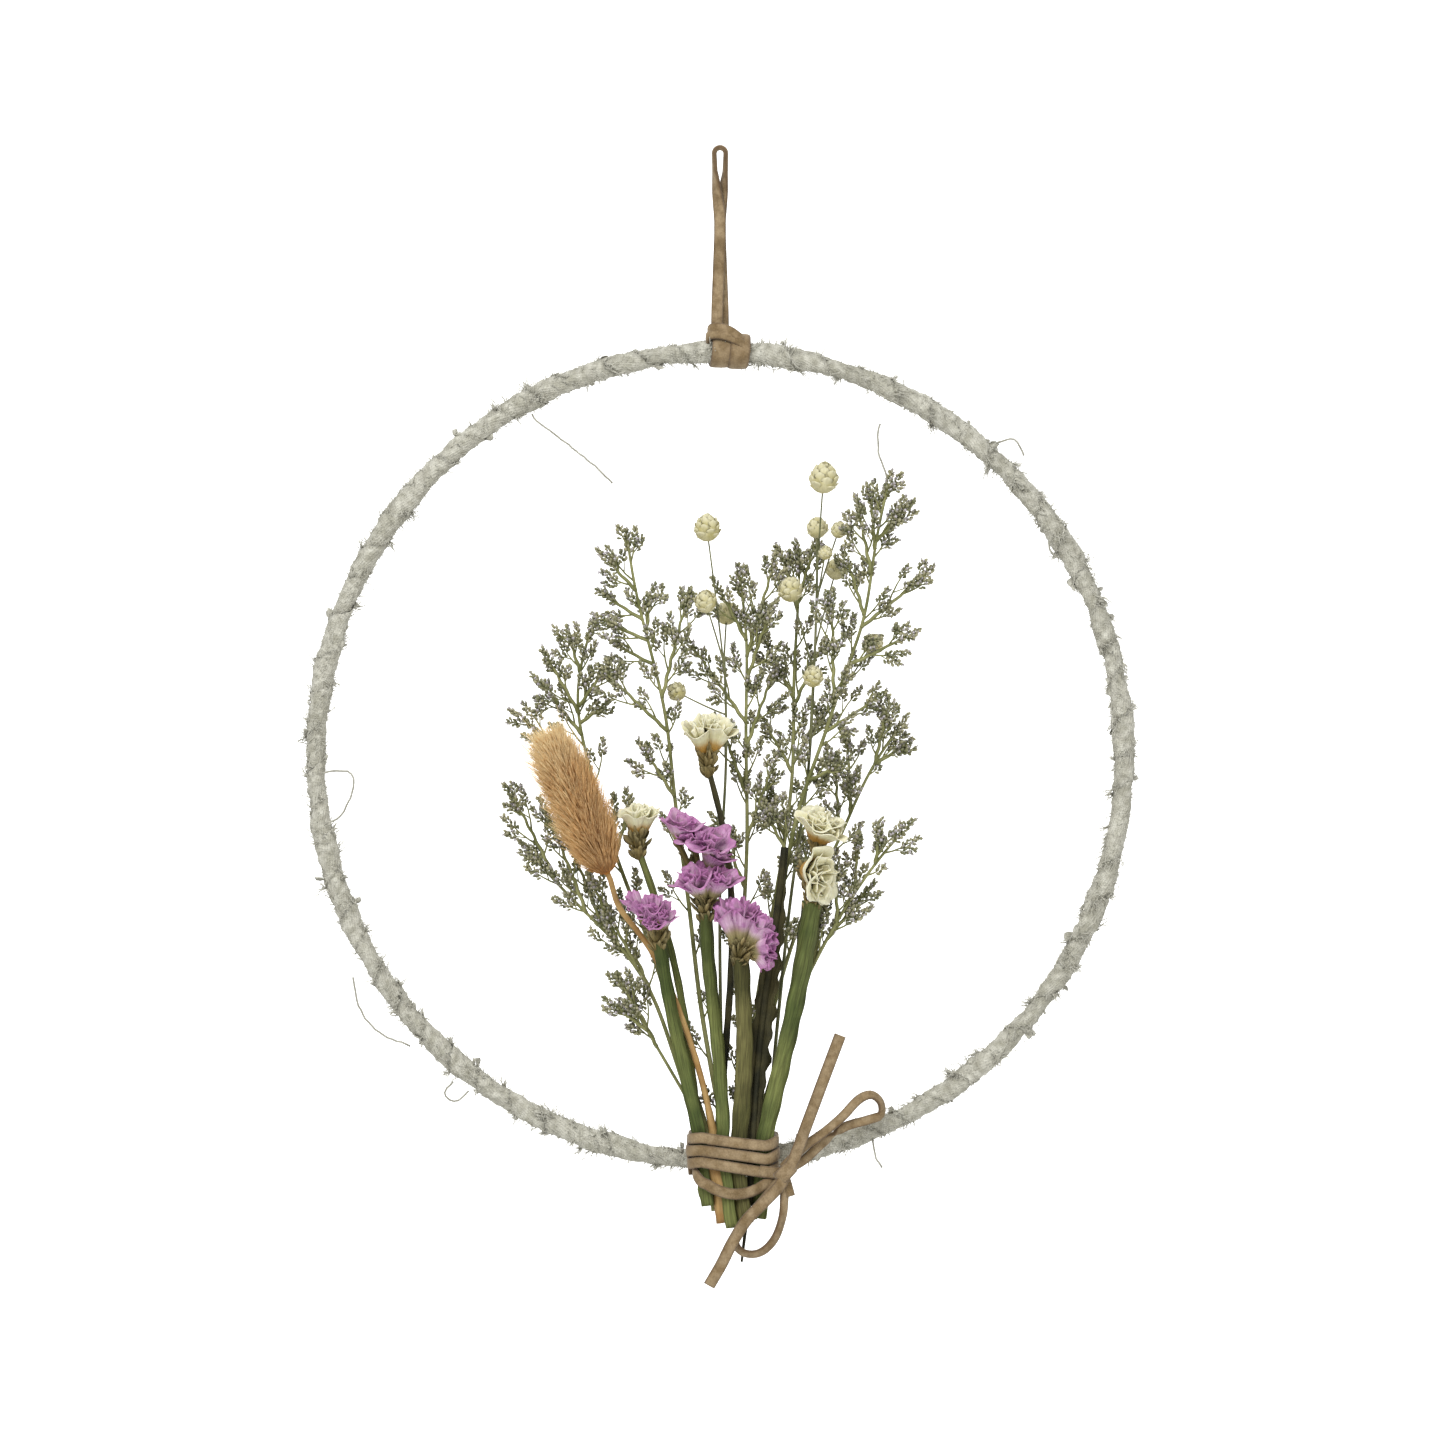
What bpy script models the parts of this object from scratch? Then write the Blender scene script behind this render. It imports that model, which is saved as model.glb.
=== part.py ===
"""Dried flower hanger: a cloth-wrapped wire hoop on a suede lace, with a tied bunch of dried flowers.

The world origin is the top of the hanging loop, where it rests on its pin. +Z is up and the bunch
is in front of the hoop, towards -Y. Sizes are in millimetres, and MM turns them into metres. Every
route below is written from the centre of the hoop.
"""

import math
import random

import bpy
import numpy as np

MM = 0.001
GAP = 0.3

# Hoop
HOOP_RADIUS = 97.8
WIRE_RADIUS = 0.9
WIRE_SIDES = 6
WRAP_BORE = 1.35
WRAP_RADIUS = 2.1
WRAP_STEP = 0.35
WRAP_TURNS = 50
WRAP_RINGS_PER_TURN = 2
WRAP_SIDES = 8
BORE_RINGS = 36
WRAP_MOUTH_DEG = 2.0
WRAP_FULLNESS = 0.75
WRAP_LUMPS = 7
WRAP_LUMP_DEPTH = 0.12
BUNDLE_CENTRE_X = 3.1

# Laces
LACE_WIDTH = 2.8
LACE_THICKNESS = 1.3
HANG_DROP = 146.6
LOOP_RADIUS = 1.4
STRAND_OFFSET = 0.85
KNOT_RING_RADIUS = 3.45
HITCH_TURNS_X = (-0.1, 4.7)
HITCH_TILT = 0.12
HITCH_WIDTH = 4.3
COLLAR_CENTRE = (1.6, 0.0, 102.2)
COLLAR_HALF_X = 4.6
COLLAR_HALF_Y = 3.3
COLLAR_WIDTH = 2.3
KNOT_CENTRE = (15.6, -13.0, -99.7)
KNOT_WIDTH = 3.6
BOW_WIDTH = 2.5

# Binding, around the stems: left, right and front of the lace's centre line
BIND_LEFT = -7.4
BIND_RIGHT = 13.6
BIND_FRONT = -12.0
BIND_INNER_BACK = -3.45
BIND_OUTER_BACK = 3.6
BIND_CORNER = 2.9
BIND_TIGHT_CORNER = 1.8
SLOT_TOP = -90.0
SLOT_BOTTOM = -104.5

# Stems
STEM_SPACING = 2.0
STEM_FACETS = 8.0
STEM_MARGIN = 0.25
RELAX_ROUNDS = 160

# Sprays
TWIG_RADIUS = 0.36
TWIG_TIP_RADIUS = 0.26
WHORL_STEP = 2.3
WHORL_LENGTH = 0.95 * WHORL_STEP
WHORL_RADIUS = 1.05
TWIG_WHORLS = 4
TOP_WHORLS = 4
TIP_OVERRUN = 0.6
TIP_RADIUS = 0.12
LEAN_CHOICES = (0.0, 1.5, -1.5, 3.0, -3.0, 5.0, -5.0, 7.5, -7.5)

# Cream globes: rows and sides of petals, and how far every other petal is tucked in
GLOBE_ROWS = 5
GLOBE_SIDES = 8
GLOBE_FOLD = 0.74
GLOBE_SCALE_DROP = 0.12
STALK_RADIUS = 0.34

# Papery flowers
PAPER = 0.6
FUNNEL_SIDES = 7
FUNNEL_WAVES = 3
THROAT_RADIUS = 0.7
FAR_FLORET = 3.0
SPUR_RADIUS = 0.8
SPUR_SIDES = 4

LOOKS = {
    "wire": ((0.45, 0.45, 0.44), 0.35, 0.9),
    "cloth": ((0.72, 0.70, 0.62), 0.95, 0.0),
    "suede": ((0.42, 0.32, 0.21), 0.9, 0.0),
    "bunny_tail": ((0.60, 0.38, 0.18), 0.95, 0.0),
    "straw": ((0.62, 0.45, 0.20), 0.7, 0.0),
    "stem_green": ((0.15, 0.20, 0.07), 0.75, 0.0),
    "dark_stem": ((0.10, 0.09, 0.05), 0.8, 0.0),
    "spray": ((0.17, 0.19, 0.12), 0.85, 0.0),
    "lilac_petal": ((0.50, 0.25, 0.52), 0.8, 0.0),
    "cream_petal": ((0.80, 0.77, 0.62), 0.8, 0.0),
    "globe": ((0.72, 0.68, 0.42), 0.85, 0.0),
    "thin_stem": ((0.24, 0.25, 0.14), 0.85, 0.0),
}


def unit(vector):
    """The vector at length one."""
    vector = np.asarray(vector, float)
    return vector / max(np.linalg.norm(vector), 1e-9)


def square_to(direction):
    """Two unit vectors at right angles to a direction and to each other."""
    helper = (0.0, 1.0, 0.0) if abs(direction[1]) < 0.8 else (1.0, 0.0, 0.0)
    first = unit(np.cross(direction, helper))
    return first, np.cross(direction, first)


def smooth(route, spacing):
    """Points at an even spacing on a smooth curve through the route's own points."""
    route = np.asarray(route, float)
    ends = np.vstack([2 * route[0] - route[1], route, 2 * route[-1] - route[-2]])
    fine = []
    for before, start, end, after in zip(ends, ends[1:], ends[2:], ends[3:]):
        for t in np.linspace(0.0, 1.0, 12, endpoint=False):
            fine.append(
                0.5
                * (
                    2 * start
                    + (end - before) * t
                    + (2 * before - 5 * start + 4 * end - after) * t**2
                    + (3 * start - before - 3 * end + after) * t**3
                )
            )
    fine = np.array(fine + [route[-1]])
    along = np.concatenate([[0.0], np.cumsum(np.linalg.norm(np.diff(fine, axis=0), axis=1))])
    count = max(2, round(along[-1] / spacing) + 1)
    stops = np.linspace(0.0, along[-1], count)
    return np.stack([np.interp(stops, along, fine[:, k]) for k in range(fine.shape[1])], axis=1)


def tangents_of(points, closed=False):
    """The unit direction of a route at each of its points."""
    if closed:
        steps = np.roll(points, -1, axis=0) - np.roll(points, 1, axis=0)
    else:
        steps = np.gradient(points, axis=0)
    return steps / np.linalg.norm(steps, axis=1)[:, None]


def sweep(rings, closed=False):
    """Faces over equal rings of points, with flat ends unless the rings close on themselves."""
    count, sides = len(rings), len(rings[0])
    faces = []
    for i in range(count if closed else count - 1):
        here, there = i * sides, (i + 1) % count * sides
        for k in range(sides):
            n = (k + 1) % sides
            faces.append((here + k, here + n, there + n))
            faces.append((here + k, there + n, there + k))
    if not closed:
        last = (count - 1) * sides
        for k in range(1, sides - 1):
            faces.append((0, k + 1, k))
            faces.append((last, last + k, last + k + 1))
    return np.concatenate(rings), faces


def tube(route, radii, sides, ridges=0.0, turns=0.0, tangents=None):
    """A rod along a route. Each ring has its radius, the depth of its ridges and its turn in degrees."""
    points = np.asarray(route, float)
    count = len(points)
    tangents = tangents_of(points) if tangents is None else tangents
    first, second = square_to(tangents[0])
    rings = []
    for point, tangent, radius, ridge, turn in zip(
        points,
        tangents,
        np.broadcast_to(radii, count),
        np.broadcast_to(ridges, count),
        np.broadcast_to(turns, count),
    ):
        first = unit(first - np.dot(first, tangent) * tangent)
        second = np.cross(tangent, first)
        ring = []
        for k in range(sides):
            angle = 2 * math.pi * k / sides + math.radians(turn)
            reach = radius * (1.0 - ridge * (k % 2))
            ring.append(point + reach * (math.cos(angle) * first + math.sin(angle) * second))
        rings.append(np.array(ring))
    return sweep(rings)


def rod(route, low_radius, high_radius, sides, ridge=0.0):
    """A stem along a relaxed route, thinner towards its top."""
    points = smooth(route, STEM_FACETS)
    return tube(points, np.linspace(low_radius, high_radius, len(points)), sides, ridge)


def ribbon(points, normals, closed=False, width=LACE_WIDTH, thickness=LACE_THICKNESS):
    """A flat lace along a route, with its face turned to the normals."""
    points = np.asarray(points, float)
    rings = []
    for point, normal, tangent in zip(points, normals, tangents_of(points, closed)):
        face = unit(normal - np.dot(normal, tangent) * tangent)
        edge = np.cross(tangent, face)
        corners = ((-1, -1), (1, -1), (1, 1), (-1, 1))
        rings.append(
            np.array([point + 0.5 * (width * a * edge + thickness * b * face) for a, b in corners])
        )
    verts, faces = sweep(rings, closed)
    return verts, [face[::-1] for face in faces]


def bud(base, tip, radius, sides=3, widest=0.5):
    """A pointed bud: widest part way along, with a point at both ends."""
    base, tip = np.asarray(base, float), np.asarray(tip, float)
    first, second = square_to(unit(tip - base))
    middle = base + widest * (tip - base)
    ring = []
    for k in range(sides):
        angle = 2 * math.pi * k / sides
        ring.append(middle + radius * (math.cos(angle) * first + math.sin(angle) * second))
    faces = []
    for k in range(sides):
        n = (k + 1) % sides
        faces.append((0, 2 + n, 2 + k))
        faces.append((1, 2 + k, 2 + n))
    return np.array([base, tip] + ring), faces


def ball(centre, axis, half_length, radius, rows, sides):
    """A closed egg around a centre, long in the direction of its axis."""
    axis = unit(axis)
    first, second = square_to(axis)
    verts = [centre - half_length * axis]
    for row in range(1, rows):
        height = -math.cos(math.pi * row / rows)
        reach = radius * math.sin(math.pi * row / rows)
        for k in range(sides):
            angle = 2 * math.pi * (k + 0.5 * (row % 2)) / sides
            around = math.cos(angle) * first + math.sin(angle) * second
            verts.append(centre + half_length * height * axis + reach * around)
    verts.append(centre + half_length * axis)
    faces = []
    top = len(verts) - 1
    for k in range(sides):
        n = (k + 1) % sides
        faces.append((0, 1 + n, 1 + k))
        faces.append((top, top - sides + k, top - sides + n))
        for row in range(rows - 2):
            here, there = 1 + row * sides, 1 + (row + 1) * sides
            faces.append((here + k, here + n, there + n))
            faces.append((here + k, there + n, there + k))
    return np.array(verts), faces


def funnel(base, axis, length, mouth, rng):
    """One papery floret: a thin waved cone, open at its mouth."""
    axis = unit(axis)
    first, second = square_to(axis)
    start = rng.uniform(0.0, 2 * math.pi)
    wave = rng.uniform(0.08, 0.16)

    def ring(along, radius, ruffle):
        points = []
        for k in range(FUNNEL_SIDES):
            angle = start + 2 * math.pi * k / FUNNEL_SIDES
            swing = math.cos(FUNNEL_WAVES * angle + start)
            reach = radius * (1.0 + ruffle * wave * swing)
            height = along + ruffle * wave * length * math.sin(FUNNEL_WAVES * angle)
            around = math.cos(angle) * first + math.sin(angle) * second
            points.append(base + height * axis + reach * around)
        return np.array(points)

    rings = [
        ring(0.0, THROAT_RADIUS, 0.0),
        ring(length, mouth, 1.0),
        ring(length + 0.1, mouth - PAPER, 1.0),
        ring(0.35 * length, 0.3, 0.0),
    ]
    return sweep(rings)


def keep_one_body(mesh):
    """Delete what a union leaves besides the main body: loose scraps and sealed hollows."""
    points = np.array([v.co[:] for v in mesh.vertices])
    faces = [tuple(p.vertices) for p in mesh.polygons]
    island = list(range(len(points)))

    def root(i):
        while island[i] != i:
            island[i] = island[island[i]]
            i = island[i]
        return i

    for face in faces:
        for corner in face[1:]:
            island[root(corner)] = root(face[0])
    volumes = {}
    for face in faces:
        a = points[face[0]]
        for b, c in zip(face[1:], face[2:]):
            key = root(face[0])
            volumes[key] = volumes.get(key, 0.0) + np.dot(a, np.cross(points[b], points[c]))
    best = max(volumes, key=volumes.get)
    kept = [face for face in faces if root(face[0]) == best]
    used = sorted({corner for face in kept for corner in face})
    index = {old: new for new, old in enumerate(used)}
    return points[used], [[index[corner] for corner in face] for face in kept]


def material(look):
    """The Principled material of a look, made on first use."""
    found = bpy.data.materials.get(look)
    if found:
        return found
    colour, roughness, metallic = LOOKS[look]
    made = bpy.data.materials.new(look)
    made.use_nodes = True
    shader = made.node_tree.nodes["Principled BSDF"]
    shader.inputs["Base Color"].default_value = (*colour, 1.0)
    shader.inputs["Roughness"].default_value = roughness
    shader.inputs["Metallic"].default_value = metallic
    return made


def mesh_of(name, points, faces):
    """A new mesh from points in metres and faces of their numbers."""
    mesh = bpy.data.meshes.new(name)
    mesh.from_pydata([tuple(p) for p in points], [], [tuple(f) for f in faces])
    return mesh


def in_world(points):
    """Points written in millimetres from the hoop's centre, as metres in the world."""
    return (np.asarray(points, float) - (0.0, 0.0, HANG_DROP)) * MM


def add_solid(name, look, pieces):
    """One object from overlapping pieces, fused by a Boolean union on their collection."""
    first = mesh_of(name, in_world(pieces[0][0]), pieces[0][1])
    solid = bpy.data.objects.new(name, first)
    bpy.context.scene.collection.objects.link(solid)
    if len(pieces) > 1:
        repeats = bpy.data.collections.new("repeats")
        bpy.context.scene.collection.children.link(repeats)
        for points, faces in pieces[1:]:
            repeats.objects.link(
                bpy.data.objects.new("repeat", mesh_of("repeat", in_world(points), faces))
            )
        union = solid.modifiers.new("join", "BOOLEAN")
        union.operation = "UNION"
        union.operand_type = "COLLECTION"
        union.collection = repeats
        union.solver = "MANIFOLD"
        graph = bpy.context.evaluated_depsgraph_get()
        joined = bpy.data.meshes.new_from_object(solid.evaluated_get(graph))
        solid.modifiers.remove(union)
        for repeat in list(repeats.objects):
            bpy.data.objects.remove(repeat)
        bpy.data.collections.remove(repeats)
        solid.data = mesh_of(name, *keep_one_body(joined))
    solid.data.shade_smooth()
    solid.data.set_sharp_from_angle(angle=math.radians(50.0))
    solid.data.materials.append(material(look))
    return solid


class Room:
    """All placed pieces as capsules, so that each new twig can be tested for clearance."""

    def __init__(self):
        self.starts = np.empty((0, 3))
        self.ends = np.empty((0, 3))
        self.radii = np.empty(0)
        self.owners = np.empty(0, dtype=object)

    def add(self, owner, route, radius):
        """Take up the room of a route of this radius."""
        route = np.asarray(route, float)
        count = len(route) - 1
        self.starts = np.vstack([self.starts, route[:-1]])
        self.ends = np.vstack([self.ends, route[1:]])
        self.radii = np.append(self.radii, np.full(count, radius))
        self.owners = np.append(self.owners, np.full(count, owner, dtype=object))

    def is_free(self, owner, route, radius, gap=GAP):
        """Whether a route of this radius stays clear of every piece of the other owners."""
        others = self.owners != owner
        starts, ends, radii = self.starts[others], self.ends[others], self.radii[others]
        if not len(starts):
            return True
        for point in smooth(route, 0.7):
            steps = ends - starts
            share = np.einsum("ij,ij->i", point - starts, steps)
            share = np.clip(share / np.maximum(np.einsum("ij,ij->i", steps, steps), 1e-9), 0, 1)
            nearest = starts + share[:, None] * steps
            if (np.linalg.norm(point - nearest, axis=1) < radii + radius + gap).any():
                return False
        return True


def hoop_ring(turn, radii):
    """A ring of points round the hoop's centre line, at a turn in radians about the hoop's own centre."""
    across = np.array([math.cos(turn), 0.0, math.sin(turn)])
    points = []
    for k, radius in enumerate(radii):
        angle = 2 * math.pi * k / len(radii)
        offset = math.cos(angle) * across + math.sin(angle) * np.array([0.0, 1.0, 0.0])
        points.append(HOOP_RADIUS * across + radius * offset)
    return np.array(points)


def wrap_radii(share):
    """Radii round the cloth at a share of the way along: each turn of the strip laps over the last."""
    radii = []
    for k in range(WRAP_SIDES):
        phase = (WRAP_TURNS * share - k / WRAP_SIDES) % 1.0
        lump = WRAP_LUMP_DEPTH * math.sin(WRAP_LUMPS * 2 * math.pi * share + k)
        radii.append(WRAP_RADIUS + WRAP_STEP * phase * (WRAP_FULLNESS + lump))
    return radii


def build_hoop():
    """The wire ring, and the cloth strip wound round it as one thin sleeve with a stepped surface.

    The sleeve's two ends almost meet behind the stems, so that it isn't a hollow ring with no way in.
    """
    mouth = math.radians(WRAP_MOUTH_DEG)
    start = -math.pi / 2 + math.asin(BUNDLE_CENTRE_X / HOOP_RADIUS) + mouth / 2
    wire_rings = [
        hoop_ring(start + 2 * math.pi * i / BORE_RINGS, [WIRE_RADIUS] * WIRE_SIDES)
        for i in range(BORE_RINGS)
    ]
    add_solid("hoop_wire", "wire", [sweep(wire_rings, closed=True)])

    span = 2 * math.pi - mouth
    count = WRAP_TURNS * WRAP_RINGS_PER_TURN
    outer = [hoop_ring(start + span * i / count, wrap_radii(i / count)) for i in range(count + 1)]
    inner = [
        hoop_ring(start + span * (1 - i / BORE_RINGS), [WRAP_BORE] * WRAP_SIDES)
        for i in range(BORE_RINGS + 1)
    ]
    add_solid("hoop_wrap", "cloth", [sweep(outer + inner, closed=True)])


def ring_route(centre, half_x, half_y, half_z, count, tilt=0.0):
    """A closed oval of points in the plane that the two non-zero half sizes span, and its normals."""
    points, normals = [], []
    for i in range(count):
        angle = 2 * math.pi * i / count
        if half_x:
            offset = np.array([half_x * math.cos(angle), half_y * math.sin(angle), 0.0])
            offset[2] = tilt * offset[0]
        else:
            offset = np.array([0.0, half_y * math.cos(angle), half_z * math.sin(angle)])
            offset[0] = tilt * offset[2]
        points.append(np.asarray(centre, float) + offset)
        normals.append(unit(offset))
    return points, normals


# One strand of the hanging lace, from the hitch to its bight: its points and the way it faces
HANGING_STRAND = (
    ((-0.7, -STRAND_OFFSET, 100.4), (0.0, -1.0, 0.0)),
    ((-0.7, -STRAND_OFFSET, 107.0), (0.0, -1.0, 0.0)),
    ((-0.3, -STRAND_OFFSET, 118.0), (0.15, -1.0, 0.0)),
    ((0.0, -STRAND_OFFSET, 129.0), (0.0, -1.0, 0.0)),
    ((-0.75, -0.6, 136.5), (-0.7, -0.7, 0.0)),
    ((-1.25, -0.15, 141.5), (-1.0, -0.15, 0.0)),
)
STRAND_FACETS = 5.5
BIGHT_STEPS = 6


def hanging_strands():
    """The doubled lace: up one strand, over the pin in a tight bight, and down the other strand."""
    bight_centre = HANG_DROP + 0.5 * LACE_THICKNESS - LOOP_RADIUS
    up = smooth([point + normal for point, normal in HANGING_STRAND], STRAND_FACETS)
    over = []
    for i in range(BIGHT_STEPS + 1):
        angle = math.pi * (1 - i / BIGHT_STEPS)
        outwards = (math.cos(angle), 0.0, math.sin(angle))
        centre = (LOOP_RADIUS * outwards[0], 0.0, bight_centre + LOOP_RADIUS * outwards[2])
        over.append(centre + outwards)
    half_turn_about_z = np.array([-1.0, -1.0, 1.0, -1.0, -1.0, 1.0])
    route = np.array([*up, *over, *(up[::-1] * half_turn_about_z)])
    return ribbon(route[:, :3], route[:, 3:])


def build_hanging_lace():
    """One lace: doubled over the pin, twisted a quarter turn, and hitched round the top of the hoop."""
    pieces = [hanging_strands()]
    for x in HITCH_TURNS_X:
        top = (x, 0.0, math.sqrt(HOOP_RADIUS**2 - x**2))
        turn = ring_route(top, 0, KNOT_RING_RADIUS, KNOT_RING_RADIUS, 10, tilt=HITCH_TILT)
        pieces.append(ribbon(*turn, closed=True, width=HITCH_WIDTH))
    collar = ring_route(COLLAR_CENTRE, COLLAR_HALF_X, COLLAR_HALF_Y, 0, 10, tilt=-0.1)
    pieces.append(ribbon(*collar, closed=True, width=COLLAR_WIDTH))
    add_solid("hanging_lace", "suede", pieces)


def binding_turn(out, back, corner_back, heights):
    """One turn of the binding: a closed rounded rectangle seen from above, at given heights.

    It stands out a little further than the others, so that no two of its faces lie in one plane.
    heights are those of its front left, front middle, front right, right side, back and left side.
    """
    left_x, right_x, front = BIND_LEFT - out, BIND_RIGHT + out, BIND_FRONT - out
    back = back + 0.3 * out
    corners = (
        (left_x, front, BIND_CORNER, 180.0),
        (right_x, front, BIND_CORNER, 270.0),
        (right_x, back, corner_back, 0.0),
        (left_x, back, corner_back, 90.0),
    )
    points, normals = [], []
    for x, y, radius, first_angle in corners:
        centre_x = x + radius if x < 0 else x - radius
        centre_y = y + radius if y == front else y - radius
        for step in range(4):
            angle = math.radians(first_angle + 30.0 * step)
            outwards = np.array([math.cos(angle), math.sin(angle)])
            points.append((centre_x + radius * outwards[0], centre_y + radius * outwards[1]))
            normals.append((*outwards, 0.0))
        if first_angle in (180.0, 0.0):
            points.append((0.5 * (BIND_LEFT + BIND_RIGHT), y))
            normals.append((0.0, -1.0 if y == front else 1.0, 0.0))
    left, middle, right, right_side, behind, left_side = heights
    stations = (left_side, left, left, left, middle, right, right, right, right_side)
    stations += (right_side, right_side, right_side, right_side)
    stations += (behind, left_side, left_side, left_side, left_side)
    return [(*xy, z) for xy, z in zip(points, stations)], normals


# The binding's turns: how far each stands out, its back, its back corners and its six heights
BINDING_TURNS = (
    (0.0, BIND_OUTER_BACK, BIND_CORNER, (-92.0, -92.9, -93.3, -92.1, -95.2, -91.8)),
    (0.17, BIND_INNER_BACK, BIND_TIGHT_CORNER, (-95.1, -96.0, -96.5, -95.3, -95.6, -95.0)),
    (0.31, BIND_INNER_BACK, BIND_TIGHT_CORNER, (-98.2, -99.2, -99.7, -98.6, -99.0, -98.2)),
    (0.12, BIND_OUTER_BACK, BIND_CORNER, (-101.4, -104.2, -103.0, -102.1, -100.0, -102.0)),
)
SIDE_LINK = ((-7.5, -6.4, -90.9), (-7.6, -7.2, -97.0), (-7.55, -6.6, -102.9))
TO_KNOT = ((9.5, -12.1, -99.4), (12.5, -12.5, -99.8), (15.6, -13.0, -99.9))
UPPER_TAIL = (
    (15.0, -13.4, -100.4), (17.4, -14.0, -97.0), (21.0, -14.4, -87.5), (25.0, -14.2, -76.8),
    (28.8, -13.4, -66.8),
)
LOWER_TAIL = (
    (16.0, -13.6, -99.2), (14.4, -14.3, -102.6), (10.6, -15.0, -106.6), (6.3, -15.4, -111.0),
    (2.9, -15.4, -116.4), (0.4, -15.2, -121.4), (-2.6, -14.9, -126.6),
)
RIGHT_LOOP = (
    (15.0, -13.0, -98.6), (20.1, -12.6, -93.6), (24.7, -11.6, -90.4), (29.3, -10.4, -86.6),
    (33.2, -9.3, -82.6), (36.3, -8.4, -81.4), (38.6, -7.6, -83.2), (38.7, -7.0, -86.3),
    (35.6, -7.2, -88.4), (30.2, -8.2, -89.8), (24.7, -9.8, -93.2), (20.1, -11.2, -96.9),
    (15.2, -12.4, -99.6),
)
LOWER_LOOP = (
    (15.6, -12.6, -100.4), (15.4, -13.0, -105.8), (15.0, -13.2, -110.2), (13.4, -13.2, -115.0),
    (10.9, -13.1, -118.1), (8.0, -13.0, -119.3), (5.0, -12.9, -118.6), (3.6, -12.9, -116.0),
    (5.4, -12.9, -111.8), (10.4, -12.8, -106.2), (15.2, -12.6, -100.6),
)
TAIL_FACETS = 6.0
LOOP_FACETS = 3.6
TAIL_FACING = (0.25, -1.0, 0.1)


def bow_knot():
    """The knot's outer wrap: a tilted oval turn at the right of the binding."""
    points, normals = [], []
    for i in range(10):
        angle = 2 * math.pi * i / 10
        offset = np.array([1.5 * math.cos(angle), 1.9 * math.sin(angle), 1.5 * math.cos(angle)])
        points.append(KNOT_CENTRE + offset)
        normals.append(unit(offset))
    return ribbon(points, normals, closed=True, width=KNOT_WIDTH)


def build_binding_lace():
    """One lace: four turns round the stems and the hoop, a knot, two bow loops and two tails."""
    pieces = [ribbon(*binding_turn(*turn), closed=True) for turn in BINDING_TURNS]
    pieces.append(ribbon(SIDE_LINK, [(-1, 0.05, 0)] * len(SIDE_LINK)))
    pieces.append(ribbon(TO_KNOT, [(0, -1, 0)] * len(TO_KNOT)))
    pieces.append(bow_knot())
    for route in (UPPER_TAIL, LOWER_TAIL):
        points = smooth(route, TAIL_FACETS)
        pieces.append(ribbon(points, [TAIL_FACING] * len(points)))
    for route in (RIGHT_LOOP, LOWER_LOOP):
        points = smooth(route, LOOP_FACETS)
        middle = points.mean(axis=0)
        normals = [unit(point - middle) + (0.0, -0.9, 0.0) for point in points]
        pieces.append(ribbon(points, normals, width=BOW_WIDTH))
    add_solid("binding_lace", "suede", pieces)


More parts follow.
